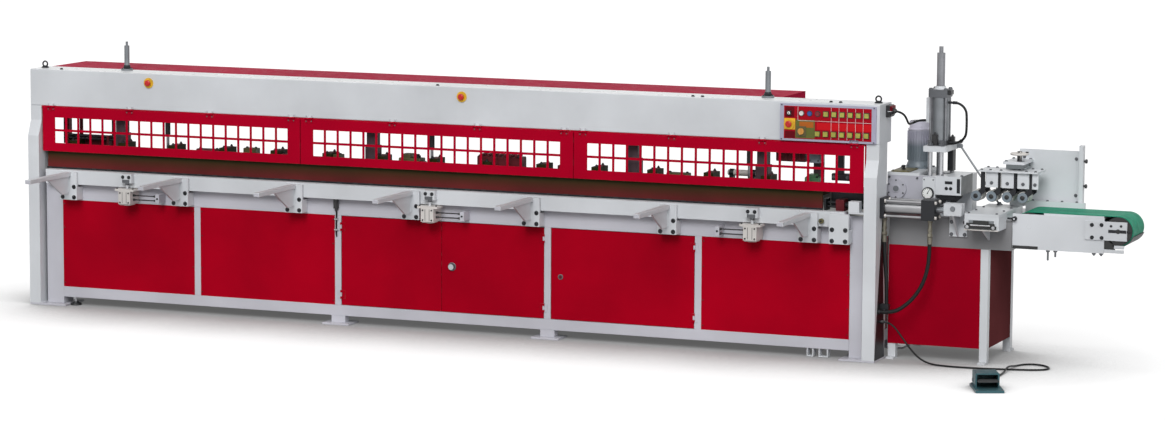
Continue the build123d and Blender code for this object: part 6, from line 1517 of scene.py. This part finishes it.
@dataclass
class Cabinet:
    """The fasteners and trim of the panels and doors under the table."""

    bays: Pairs = (
        (220, 1189), (1233, 2194), (2238, 3634), (3678, 4629), (4673, 5620))
    front_panels: tuple[int, ...] = (0, 1, 4)
    front: float = 62.0
    front_rows: Places = (150, 306, 514, 670)
    back: float = 698.0
    back_rows: Places = (150, 410, 670)
    knob: Point = (3007.5, 62, 414)
    lock: Point = (3743, 62, 392)

    def panels(self) -> None:
        """Make the panels' screws and the strip behind the doors' gap."""
        shape = Shape()
        for low, high in (self.bays[number] for number in self.front_panels):
            shape.screws(grid((low + 12, high - 12), self.front, self.front_rows), 4)
        for low, high in self.bays:
            columns = (low + 14, (low + high) / 2, high - 14)
            shape.screws(grid(columns, self.back, self.back_rows), 5, Facing.REAR)
        shape.make("panel_screws", "cover_red", DARK_RED)
        shape = Shape().block((2926, 84, 123), (2946, 90, 697), 2)
        shape.bolts(grid(2936, 84, (180, 400, 640)), 4, washer=False)
        shape.make("door_stop_strip", "dark_steel", GUARD_BLACK)

    def escutcheons(self) -> None:
        """Make the rings round the knob and the lock."""
        shape = Shape().turned(self.knob, Axis.Y, [
            (0, 27), (-2, 27), (-3.5, 25), (-3.5, 19.5), (0, 19.5)], 30, bore=True)
        shape.make("knob_ring", "bright_steel", CAP_GREY, body="cabinet_door_right")
        shape = Shape().turned(self.lock, Axis.Y, [
            (0, 17), (-1.6, 17), (-2.4, 15.5), (-2.4, 11.6), (0, 11.6)], 26, bore=True)
        x, _, z = self.lock
        shape.finish(1).block((x - 1.5, 58, z - 6), (x + 1.5, 59.2, z + 6), 0.3)
        shape.make("lock_ring", "bright_steel", CAP_GREY, BLACK_STEEL, body="cabinet_door_side")

    def build(self) -> None:
        """Make the cabinet's details."""
        self.panels()
        self.escutcheons()


@dataclass
class ControlPanel:
    """The coloured fields of the control panel and the frames round its buttons."""

    face: float = 22.0
    low_row: float = 1361.0
    high_row: float = 1481.0
    pitch: float = 51.0
    last: float = 5724.0
    buttons: int = 7
    lamps: int = 6
    round_lamps: int = 3
    cut: float = 0.2
    areas: tuple[tuple[int, float, float, float, float, float], ...] = (
        (0, 5412, 5755, 1386, 1428, 0.5), (1, 5278, 5400, 1332, 1441, 0.5),
        (2, 5303, 5392, 1396, 1431, 0.9), (3, 5207, 5276, 1381, 1402, 0.5),
        (3, 5207, 5276, 1426, 1448, 0.5), (3, 5207, 5227, 1402, 1426, 0.5),
        (3, 5251, 5276, 1402, 1426, 0.5), (4, 5212, 5276, 1330, 1371, 0.5),
        (4, 5212, 5270, 1456, 1518, 0.5))
    lines: Pairs = ((5293, 1441), (5502.5, 1330), (5551, 1330), (5603, 1330),
                               (5654.7, 1330), (5703, 1330))
    line_half: float = 1.1
    line_proud: float = 1.2

    def fields(self) -> None:
        """Make the thin coloured fields and the white lines between them."""
        shape, face, half = Shape(), self.face, self.line_half
        for mark, left, right, low, high, proud in self.areas:
            shape.finish(mark).block((left, face - proud, low), (right, face, high), self.cut)
        shape.finish(5)
        line = face - self.line_proud
        for x, low in self.lines:
            shape.block((x - half, line, low), (x + half, face, 1521), self.cut)
        shape.block((5293, line, 1436), (5755, face, 1438.4), self.cut)
        shape.make("panel_fields", "panel_red", BRIGHT_RED, PANEL_OLIVE, PANEL_ORANGE, STOP_YELLOW,
                   DEEP_RED, LINE_WHITE)

    def frames(self) -> None:
        """Make the dark frames of the lamps and buttons, and the panel's corner screws."""
        shape, places = Shape(), row(self.last, -self.pitch, self.lamps + self.round_lamps)
        for spot in (*grid(places[:self.buttons], self.face, self.low_row),
                     *grid(places[:self.lamps], self.face, self.high_row)):
            shape.turned(spot, Axis.Y, [
                (0, 25.6), (-3, 25.6), (-4, 24.4), (-4, 20.6), (0, 20.6)], 4, 45, bore=True)
        for spot in grid(places[self.lamps:], self.face, self.high_row):
            shape.turned(spot, Axis.Y, [
                (0, 18), (-2.5, 18), (-3.5, 16.6), (-3.5, 14.2), (0, 14.2)], bore=True)
        shape.finish(1).screws(grid((5190, 5770), 24, (1322, 1528)), 4.5)
        shape.finish(2).turned((5239, 9, 1481), Axis.Y, [(0, 9), (-2, 9), (-3, 7.5)], 20)
        shape.finish(1).block((5237, 5.4, 1475), (5241, 6, 1487), self.cut)
        shape.make("button_frames", "black_plastic", GUARD_BLACK, CAP_GREY, LAMP_WHITE)

    def build(self) -> None:
        """Make the panel's fields and frames."""
        self.fields()
        self.frames()


@dataclass
class FeedHead:
    """The feed head's plates, covers, gauge and linkage, and its motor's casing."""

    front: float = 300.0
    housing_top: float = 1122.0
    cap: Point = (5831, 286, 1024)
    gauge: Point = (6031, 278, 1006)
    motor: Pair = (5880, 592.5)
    body_low: float = 1136.0
    body_top: float = 1358.0
    fan_top: float = 1408.0
    fins: int = 28

    def covers(self) -> None:
        """Make the pale plate and the bearing cap's screws and rings."""
        shape = Shape().block((5993, 296, 885), (6071, self.front, 1101), 3)
        places = [(x, 296, z) for z in (900, 1086) for x in (6004, 6060)]
        shape.finish(1).screws(places, 4)
        shape.make("front_plate", "body_white", GREY_WHITE, CAP_GREY)
        shape = Shape().turned(self.cap, Axis.Y, [
            (0, 25), (-3, 25), (-4.5, 23), (-4.5, 18.2), (0, 18.2)], 32, bore=True)
        shape.turned(self.cap, Axis.Y, [
            (0, 62), (8, 63.5), (14, 63.5), (14, 61.2), (0, 61.2)], 36, bore=True)
        shape.finish(1).screws(around(self.cap, Axis.Y, 51, 6, 30), 5)
        shape.make("bearing_cap", "body_white", HOUSING_LILAC, CAP_GREY)

    def dial(self) -> None:
        """Make the gauge's rim, face, hand and marks."""
        x, y, z = self.gauge
        shape = Shape().turned(self.gauge, Axis.Y, [
            (0, 36), (-3, 36), (-5, 34), (-5, 31.5), (0, 31.5)], 36, bore=True)
        shape.finish(1).turned(self.gauge, Axis.Y, [(0, 31.4), (-1.5, 31.4), (-1.6, 30)], 36)
        shape.finish(0).turned((x, y - 1.6, z), Axis.Y, [(0, 4), (-2, 3)], 12)
        shape.prism([(x - 2, z), (x + 2, z), (x + 14, z + 22), (x + 12, z + 23)],
                    Axis.Y, y - 2.6, y - 2)
        for angle in row(-45, 27, 11):
            c, s = math.cos(math.radians(angle)), math.sin(math.radians(angle))
            shape.prism([(x + reach * c - side * s, z + reach * s + side * c) for reach, side in (
                (23, 1), (23, -1), (28, -1), (28, 1))], Axis.Y, y - 2.1, y - 1.6)
        shape.make("gauge_face", "dark_steel", BLACK_STEEL, DIAL_WHITE)

    def block(self) -> None:
        """Make the side block's recess and bolts and the dark linkage under it."""
        shape = Shape().block((6132, 298, 1064), (6178, self.front, 1082), 1)
        shape.bolts(grid((6141, 6168), self.front, 1038), 8)
        shape.block((6206, 298.5, 1012), (6226, self.front, 1098), 1)
        shape.finish(1).bolts(grid((6228, 6105), 330, 1111), 8, Facing.UP)
        shape.make("block_fittings", "dark_steel", BLACK_STEEL, CAP_GREY)
        shape = Shape().block((6082, 312, 962), (6196, 352, 998), 4)
        shape.prism([(6160, 998), (6233, 998), (6233, 985), (6190, 952), (6164, 952)],
                    Axis.Y, 318, 346)
        for x, z in ((6108, 958), (6176, 948)):
            shape.finish(0).turned((x, 306, z), Axis.Y, [(0, 15), (3, 17), (49, 17), (52, 15)])
            shape.finish(1).turned((x, 303, z), Axis.Y, [(0, 6), (58, 6)], 12)
        shape.make("feed_linkage", "dark_steel", BLACK_STEEL, BRIGHT_STEEL)

    def top(self) -> None:
        """Make the grease cover and the housing's bolts."""
        low, high = self.housing_top, self.housing_top + 7
        shape = Shape().block((5790, 312, low), (5905, 505, high), 3)
        shape.finish(1).turned((5842, 400, high), Axis.Z, [
            (0, 13), (5, 13), (8, 8), (14, 8), (17, 13), (24, 13), (27, 9)], 20)
        shape.finish(2).screws(grid((5800, 5894), (324, 492), high), 5, Facing.UP)
        shape.make("grease_cover", "dark_steel", OLIVE, BLACK_STEEL, CAP_GREY)
        shape = Shape().bolts(grid((5790, 5952), (545, 660), low), 9, Facing.UP)
        shape.screws(grid((5786, 5960), self.front, (1092, 894)), 7)
        shape.make("housing_bolts", "dark_steel", CAP_GREY)

    def casing(self) -> None:
        """Make the motor's fins, foot, fan grille, terminal lid and gland."""
        x, y = self.motor
        foot, fan = (x, y, self.body_low), (x, y, self.fan_top)
        fin = [(x + 64, y - 1.5), (x + 73, y - 1.2), (x + 73, y + 1.2), (x + 64, y + 1.5)]
        shape = Shape()
        for _ in range(self.fins):
            shape.prism(fin, Axis.Z, self.body_low + 34, self.body_top - 10)
            shape.turn((x, y, 0), Axis.Z, 360 / self.fins)
        shape.turned(foot, Axis.Z, [(0, 76), (6, 74), (28, 66.5), (34, 66.5)], 40)
        shape.finish(2).bolts(around(foot, Axis.Z, 70, 4, 45), 6, Facing.UP)
        shape.finish(1).turned((x, y, self.body_top), Axis.Z, [
            (-4, 68), (0, 69.5), (5, 69.5), (8, 62)], 40)
        for ring in (22, 36, 50):
            shape.finish(2).turned(fan, Axis.Z, [
                (0, ring + 2.4), (1.6, ring + 2), (1.6, ring - 2), (0, ring - 2.4)], 36, bore=True)
        shape.make("motor_casing", "motor_grey", MOTOR_GREY, FAN_WHITE, BLACK_STEEL)
        shape = Shape().block((x - 30, y + 90, 1220), (x + 30, y + 99, 1274), 4).finish(1)
        shape.turned((x - 32, y + 82, 1246), Axis.X, [(0, 11), (-8, 11), (-10, 8), (-20, 7)], 12)
        shape.screws(grid((x - 22, x + 22), y + 99, (1228, 1266)), 4, Facing.REAR)
        shape.make("terminal_lid", "motor_grey", MOTOR_GREY, BLACK_STEEL)

    def build(self) -> None:
        """Make the feed head's covers, gauge, block, linkage and motor casing."""
        self.covers()
        self.dial()
        self.block()
        self.top()
        self.casing()


@dataclass
class ClampCylinder:
    """The tie rods, nuts and switches of the upright clamp cylinder, and its stay."""

    middle: Pair = (6057, 430)
    base_top: float = 1317.0
    barrel_top: float = 1575.0
    cap_top: float = 1621.0
    plate_top: float = 1287.0
    tie: float = 47.0
    stay_path: tuple[Point, ...] = ((6150, 560, 1270), (6275, 560, 1097.5), (6400, 560, 925))

    def rods(self) -> None:
        """Make the tie rods with their nuts, the top collar and the columns' nuts."""
        x, y = self.middle
        shape, tie, long = Shape(), self.tie, self.barrel_top - self.base_top
        for px, py, low in grid((x - tie, x + tie), (y - tie, y + tie), self.base_top):
            shape.finish(0).turned((px, py, low), Axis.Z, [(0, 6), (long, 6)], 14)
            shape.finish(1).bolts([(px, py, self.cap_top)], 11, Facing.UP)
        for spot in grid((x - 30, x + 38), (336, 573), self.plate_top):
            shape.turned(spot, Axis.Z, [(0, 20), (3, 20), (3, 17), (14, 17), (16, 14)], 6)
            shape.turned(spot, Axis.Z, [(16, 9), (24, 9), (26, 7)], 14)
        shape.make("tie_rods", "bright_steel", SHAFT_STEEL, CAP_GREY)
        shape = Shape().turned((x, y, self.cap_top), Axis.Z, [
            (0, 40), (5, 40), (8, 36), (8, 33), (20, 31), (20, 26.5), (0, 26.5)], 36, bore=True)
        shape.make("rod_collar", "body_white", GREY_WHITE)

    def switches(self) -> None:
        """Make the dark valve blocks at the cylinder's foot and head and the dark post behind."""
        shape = Shape().block((6030, 346, self.plate_top), (6066, 371, 1352), 3)
        shape.block((6036, 341, 1318), (6060, 346, 1346), 2)
        shape.turned((6048, 358, 1352), Axis.Z, [(0, 8), (6, 8), (8, 5), (16, 5)], 12)
        shape.block((6115, 396, 1590), (6133, 452, 1619), 3)
        shape.block((6112, 452, self.plate_top), (6140, 482, 1334), 3)
        shape.turned((6126, 467, 1334), Axis.Z, [(0, 9), (5, 9), (7, 6), (12, 6)], 12)
        shape.make("valve_blocks", "black_plastic", BLACK_PLASTIC)
        shape = Shape().block((6086, 500, 1122), (6122, 560, 1253), 3)
        shape.finish(1).block((6091, 496, 1136), (6117, 500, 1240), 2)
        shape.make("guide_cover", "dark_steel", GUARD_BLACK, BLACK_STEEL)

    def stay(self) -> None:
        """Make the leaning stay between the clamp's plate and the infeed table."""
        shape = Shape().rod(list(self.stay_path), 6, 14)
        shape.block((6131, 546, 1258), (6146, 574, 1286), 2)
        shape.turned((6150, 572, 1270), Axis.Y, [(0, 13), (-24, 13)], 20).finish(1)
        shape.turned((6150, 574, 1286), Axis.Z, [(0, 7), (6, 7), (8, 12), (18, 12), (22, 8)], 18)
        shape.finish(0).turned(self.stay_path[-1], Axis.Z, [(0, 18), (5, 18), (8, 11), (16, 9)], 20)
        shape.make("stay_rod", "bright_steel", CYLINDER, BLACK_PLASTIC)

    def build(self) -> None:
        """Make the clamp cylinder's details."""
        self.rods()
        self.switches()
        self.stay()


@dataclass
class PushCylinder:
    """The nuts, collars and pins of the lying press cylinder."""

    axis_y: float = 125.0
    axis_z: float = 928.0
    right_face: float = 6138.0
    left_face: float = 5826.0
    tie: float = 45.0
    ports: Pair = (5813, 6096)
    post: Pair = (5720, 5800)

    def build(self) -> None:
        """Make the nuts, the hoses' adapters, the anchor's pin and bolts and the ram's seals."""
        shape, y, z, tie = Shape(), self.axis_y, self.axis_z, self.tie
        for _, py, pz in grid(0, (y - tie, y + tie), (z - tie, z + tie)):
            shape.turned((self.right_face, py, pz), Axis.X, [
                (0, 12), (2, 12), (2, 10.5), (10, 10.5), (11, 8)], 6)
            shape.turned((self.left_face, py, pz), Axis.X, [(0, 12), (8, 12), (10, 10)], 6)
        shape.make("tie_rod_nuts", "bright_steel", LIFT_GREY)
        shape = Shape()
        for x in self.ports:
            shape.turned((x, y, 867), Axis.Z, [(0, 17), (-16, 17), (-18, 14)], 6)
            shape.turned((x, y, 812), Axis.Z, [(0, 15), (-14, 15), (-16, 13)], 6)
        shape.make("hose_adapters", "bright_steel", ZINC)
        shape = Shape().turned((6243, 86, 943), Axis.Y, [(0, 14), (4, 16), (6, 16)], 22)
        shape.turned((6243, 158, 943), Axis.Y, [(0, 16), (4, 16), (6, 13)], 22)
        shape.turned((6188, y, z), Axis.X, [(-4, 24), (-14, 24), (-16, 21)], 6).finish(1)
        for x in (6202, 6284):
            shape.bolts(grid(x, 216, (776, 850)), 9)
            shape.bolts([(x, 186, 913)], 8, Facing.UP)
        shape.make("anchor_fittings", "bright_steel", CYLINDER, CAP_GREY)
        inner, outer = self.post
        shape = Shape().turned((outer, y, z), Axis.X, [
            (-2, 36), (0, 38), (0, 22), (-2, 22)], 30, bore=True)
        shape.finish(1).turned((inner, y, z), Axis.X, [
            (0, 34), (-6, 34), (-8, 31), (-8, 22), (0, 22)], 30, bore=True)
        shape.make("ram_seals", "dark_steel", BLACK_STEEL, CAP_GREY)


@dataclass
class InfeedTable:
    """The side clamp's dark insert, and the fasteners of the table, tower and guide plate."""

    clamp_front: float = 48.0
    middle: float = 6431.0
    table_top: float = 925.0

    def side_clamp(self) -> None:
        """Make the stepped dark insert of the side clamp with its guide rods."""
        x, y = self.middle, self.clamp_front
        shape = Shape().block((x - 46, y - 12, 866), (x + 46, y, 889), 3)
        shape.block((x - 88, y - 10, 856), (x + 84, y, 873), 3)
        shape.block((x - 98, y - 9, 840), (x + 94, y, 858), 3)
        shape.finish(1).rod([(x - 62, y - 14, 861), (x, y - 14, 861), (x + 60, y - 14, 861)], 5, 12)
        shape.bolts(grid((x - 82, x + 76), y - 9, 849), 8)
        shape.make("side_clamp", "dark_steel", GUARD_BLACK, BRIGHT_STEEL)
        shape = Shape().block((x - 104, 50, 826), (x + 104, 60, 834), 2)
        shape.make("clamp_ledge", "body_white", LIFT_GREY)

    def fasteners(self) -> None:
        """Make the bolts of the table, tower, guide rail, plate and post."""
        shape = Shape().screws(grid((6346, 6516), (84, 240, 400), self.table_top), 7, Facing.UP)
        shape.bolts(grid((6478, 6544), 546, (960, 1150)), 8)
        shape.bolts(grid(row(6610, 90, 4), 544, 963), 7, Facing.UP)
        shape.bolts(grid((6540, 6860), 590, (1000, 1220)), 8)
        shape.make("table_bolts", "dark_steel", CAP_GREY)
        shape = Shape()
        for spot in grid(6911, 576, (1060, 1210)):
            shape.turned(spot, Axis.X, [(0, 7), (8, 7), (9, 13), (19, 13), (21, 10)], 18)
        shape.turned((6898, 576, 1304), Axis.Z, [(-1, 9), (0, 9)], 12)
        shape.make("post_knobs", "black_plastic", BLACK_PLASTIC)

    def tower(self) -> None:
        """Make the studs and bolts on the tower and the apron under its head."""
        shape = Shape()
        for x in (6486, 6512, 6582):
            shape.rod([(x, 560, 1192), (x, 560, 1180), (x, 560, 1168)], 6, 12)
            shape.turned((x, 560, 1192), Axis.Z, [(0, 11), (-7, 11)], 6)
        shape.bolts(grid((6480, 6584), (400, 570), 1208), 8, Facing.UP)
        shape.make("tower_bolts", "bright_steel", CYLINDER)
        # the apron's dark grey is painted shade under the tower's head
        shape = Shape().block((6486, 374, 1166), (6594, 382, 1192), 2)
        for x in (6486, 6586):
            shape.block((x, 382, 1170), (x + 8, 470, 1192), 1)
        shape.make("head_apron", "dark_steel", BLOCK_SHADE_GREY)

    def build(self) -> None:
        """Make the infeed table's details."""
        self.side_clamp()
        self.fasteners()
        self.tower()


@dataclass
class RollerBridge:
    """The hangers' cheek plates, the rollers' hubs and guards and the handwheel's grip."""

    body: str = "roller_bridge"
    rollers: Places = (6308, 6404, 6500, 6596)
    axle_z: float = 997.0
    plate_low: float = 1147.0
    hanger_low: float = 1052.0
    cheek_ends: Pairs = (
        (6368, 6444), (6465, 6541), (6562, 6636), (6653, 6692))
    plate_bolts: Places = (6345, 6400, 6465, 6620, 6676)
    guard_depth: Pair = (371, 469)
    wheel: Point = (6556, 420, 1254)

    def cheeks(self) -> None:
        """Make the light cheek plates, the guards over two rollers and the bridge's bolts."""
        shape = Shape()
        for low, high in self.cheek_ends:
            shape.finish(0).block((low, 352, self.hanger_low), (high, 360, self.plate_low), 4)
            shape.finish(1).turned(((low + high) / 2, 352, 1080), Axis.Y, [
                (0, 10), (-5, 10), (-7, 8), (-7, 5), (-10, 5)], 20)
        shape.bolts(grid(self.plate_bolts, (346, 494), 1157), 7, Facing.UP)
        shape.make("cheek_plates", "body_white", GREY_WHITE, CAP_GREY, body=self.body)
        shape, turns = Shape(), row(25, 13, 11)
        front, back = self.guard_depth
        for x in self.rollers[2:]:
            curve = arc(x, self.axle_z, 46, turns) + arc(x, self.axle_z, 40, turns[::-1])
            shape.prism(curve, Axis.Y, front, back)
            shape.block((x - 12, front, self.axle_z + 42), (x + 12, back, self.hanger_low), 2)
        shape.make("roller_guards", "black_plastic", GUARD_BLACK, body=self.body)

    def hubs(self) -> None:
        """Make the rollers' end discs with their dark centres."""
        z = self.axle_z
        for number, x in enumerate(self.rollers, 1):
            shape = Shape()
            for y, way in ((374, -1), (466, 1)):
                lip = way * 1.2
                shape.finish(0).turned((x, y, z), Axis.Y, [(0, 31), (lip, 30), (lip, 20)], 30)
                shape.finish(1).turned((x, y + lip, z), Axis.Y, [(0, 18), (way * 1.4, 17)])
            shape.finish(0).turned((x, 359.5, z), Axis.Y, [
                (0, 30), (-3, 31.5), (-6, 30), (-6, 15)], 32)
            shape.finish(1).turned((x, 353.5, z), Axis.Y, [(0, 14), (-3, 14), (-4, 12)])
            shape.make(f"roller_hubs_{number}", "roller_rubber", MOTOR_GREY, GUARD_BLACK,
                       body=f"press_roller_{number}")

    def handwheel(self) -> None:
        """Make the handwheel's spinner grip and its centre cap."""
        x, y, z = self.wheel
        shape = Shape().turned((x + 46, y, z), Axis.Z, [
            (0, 6), (8, 6), (9, 9), (13, 10), (15, 8.5)], 18)
        shape.finish(1).turned((x, y, z + 12), Axis.Z, [(0, 13), (2, 13), (3, 11)], 20)
        shape.make("wheel_grip", "black_plastic", BLACK_PLASTIC, CAP_GREY, body="handwheel")

    def build(self) -> None:
        """Make the roller bridge's details."""
        self.cheeks()
        self.hubs()
        self.handwheel()


@dataclass
class Conveyor:
    """The conveyor's bolts, tensioner, guards and lower strips."""

    front: float = 250.0
    plates: Pair = (242, 546)
    tail: Point = (7208, 251, 841.7)
    guard_back: float = 537.0
    plate_bolts: tuple[Point, ...] = (
        (7051, 874, 9.0), (7109, 876, 9.0), (7053, 800, 9.0), (7111, 800, 9.0),
        (7166, 872, 6.0), (7226, 874, 6.0))
    slots: Pairs = ((7150, 7196), (7220, 7258))
    hung_bolts: Pairs = (
        (6782, 646), (6827, 668), (7060, 690), (7104, 690))
    hung_top: float = 706.0

    def bolts(self) -> None:
        """Make the tail plates' bolts, the tensioner's slot and nut and the side's bolts."""
        near, far = self.plates
        z, top = self.tail[2], self.hung_top
        shape = Shape()
        for x, height, size in self.plate_bolts:
            shape.bolts([(x, near, height)], size)
            shape.bolts([(x, far, height)], size, Facing.REAR)
        for low, high in self.slots:
            shape.block((low, near - 1, z - 9), (high, near, z + 9), 2)
        shape.turned((7262, 246, z), Axis.X, [(-1, 8), (8, 8), (10, 6), (20, 6)], 6)
        shape.make("tail_bolts", "dark_steel", BLACK_STEEL)
        shape = Shape()
        for x, low in self.hung_bolts:
            shape.turned((x, 268, top), Axis.Z, [
                (0, 12), (-10, 12), (-10, 6), (low - top, 6), (low - top - 2, 4)], 14)
        shape.make("side_bolts", "bright_steel", CAP_GREY)

    def guards(self) -> None:
        """Make the dark strip along the side's foot, the tail's guards and the strips under it."""
        x, y, z = self.tail
        shape = Shape().block((6570, 247, 708), (6724, self.front, 726), 1)
        shape.turned(self.tail, Axis.Y, [(0, 83), (6, 83), (6, 48), (0, 48)], 48, bore=True)
        turns = row(-112, 9.2, 11)
        shape.prism(arc(x, z, 94, turns) + arc(x, z, 90, turns[::-1]), Axis.Y, y, self.guard_back)
        shape.prism([(7125, 716), (7190, 716), (7190, 752), (7160, 790), (7125, 790)],
                    Axis.Y, y, y + 5)
        shape.make("tail_guard", "black_plastic", GUARD_BLACK)
        shape = Shape().block((7125, 245, 712), (7244, y, 732), 2)
        shape.block((7186, 246, 738), (7246, y, 758), 2)
        shape.make("tail_strips", "body_white", GREY_WHITE)

    def build(self) -> None:
        """Make the conveyor's details."""
        self.bolts()
        self.guards()


@dataclass
class FootSwitch:
    """The pedal's ribbed tread, the hood's rim and the base's screws."""

    centre: Pair = (6668, -600)
    turned: float = 24.0
    pivot: float = 101.0
    treadle_z: float = 40.0
    tilt: float = 6.0
    ribs: int = 9
    rib_pitch: float = 16.0
    hood_half: float = 67.0
    hood_front: float = -19.0
    hood_top: float = 94.0
    rim: float = 9.0

    def tread(self) -> None:
        """Make the ribs of the pedal's tread."""
        x, y = self.centre
        shape, low = Shape(), self.treadle_z
        for front in row(y + self.pivot - 184, self.rib_pitch, self.ribs):
            shape.block((x - 54, front, low + 5), (x + 54, front + 7, low + 8), 1)
        shape.turn((x, y + self.pivot, low), Axis.X, -self.tilt)
        shape.turn((x, y, 0), Axis.Z, self.turned)
        shape.make("pedal_ribs", "pedal_tread", TREAD_BLACK, body="foot_pedal")

    def hood(self) -> None:
        """Make the hood's rim, the pivot's heads and the base's screws."""
        x, y = self.centre
        front, top, half = y + self.hood_front, self.hood_top, self.hood_half
        shape = Shape()
        for side in (-1, 1):
            edge = x + side * half
            low, high = sorted((edge, edge + side * 3))
            shape.finish(0).block((low, front, 14), (high, front + self.rim, top), 1)
            shape.finish(1).turned((edge, y + self.pivot, self.treadle_z), Axis.X, [
                (0, 11), (side * 3, 11), (side * 5, 8)], 18)
        shape.finish(0).block((x - half, front, top), (x + half, front + self.rim, top + 2), 0.8)
        corners = grid((x - 72, x + 72), (y - 120, y + 120), 14)
        shape.finish(1).screws(corners, 5, Facing.UP).turn((x, y, 0), Axis.Z, self.turned)
        shape.make("pedal_rim", "pedal_teal", PEDAL_TEAL, CAP_GREY)

    def build(self) -> None:
        """Make the foot switch's details."""
        self.tread()
        self.hood()


@dataclass
class HydraulicUnit:
    """The tank's cap, glass and valve, and the pump's fins inside the cabinet."""

    left: float = 2358.0
    front: float = 200.0
    top: float = 409.0
    pump: Pair = (2538, 2798)
    fins: int = 9
    fin_pitch: float = 22.0

    def build(self) -> None:
        """Make the pump motor's fins and cap and the tank's valve block, cap and glass."""
        start, end = self.pump
        y, z = self.front + 190, self.top + 100
        shape = Shape()
        for x in row(start + 26, self.fin_pitch, self.fins):
            shape.turned((x, y, z), Axis.X, [(0, 86), (5, 86), (5, 79.5), (0, 79.5)], 36, bore=True)
        shape.turned((end, y, z), Axis.X, [(0, 74), (18, 72), (24, 60)], 36)
        shape.make("pump_fins", "motor_grey", MOTOR_GREY)
        x, y, z = self.left, self.front, self.top
        shape = Shape().block((x + 440, y + 40, z), (x + 560, y + 130, z + 90), 4).finish(1)
        for spot in grid(row(x + 465, 35, 3), y + 40, z + 60):
            shape.turned(spot, Axis.Y, [(0, 14), (-10, 14), (-12, 10), (-28, 10), (-30, 7)], 18)
        shape.turned((x + 60, y + 60, z), Axis.Z, [(0, 40), (10, 40), (12, 34), (34, 34), (38, 28)])
        shape.finish(2).block((x + 290, y - 8, 210), (x + 330, y, 330), 3)
        shape.make("tank_fittings", "cylinder_metal", CYLINDER, BLACK_PLASTIC, LAMP_WHITE)


def main() -> None:
    """Build the studio, then each sub-assembly in order."""
    logging.basicConfig(level=logging.INFO, format="%(message)s")
    Studio().build()
    Cords().build()
    NodeFinishes().dress()
    for assembly in (BodyShell, EmergencyStops, WindowDoors, PressBeam, FrontFence, Cabinet,
                     ControlPanel, FeedHead, ClampCylinder, PushCylinder, InfeedTable,
                     RollerBridge, Conveyor, FootSwitch, HydraulicUnit):
        assembly().build()


if __name__ == "__main__":
    main()
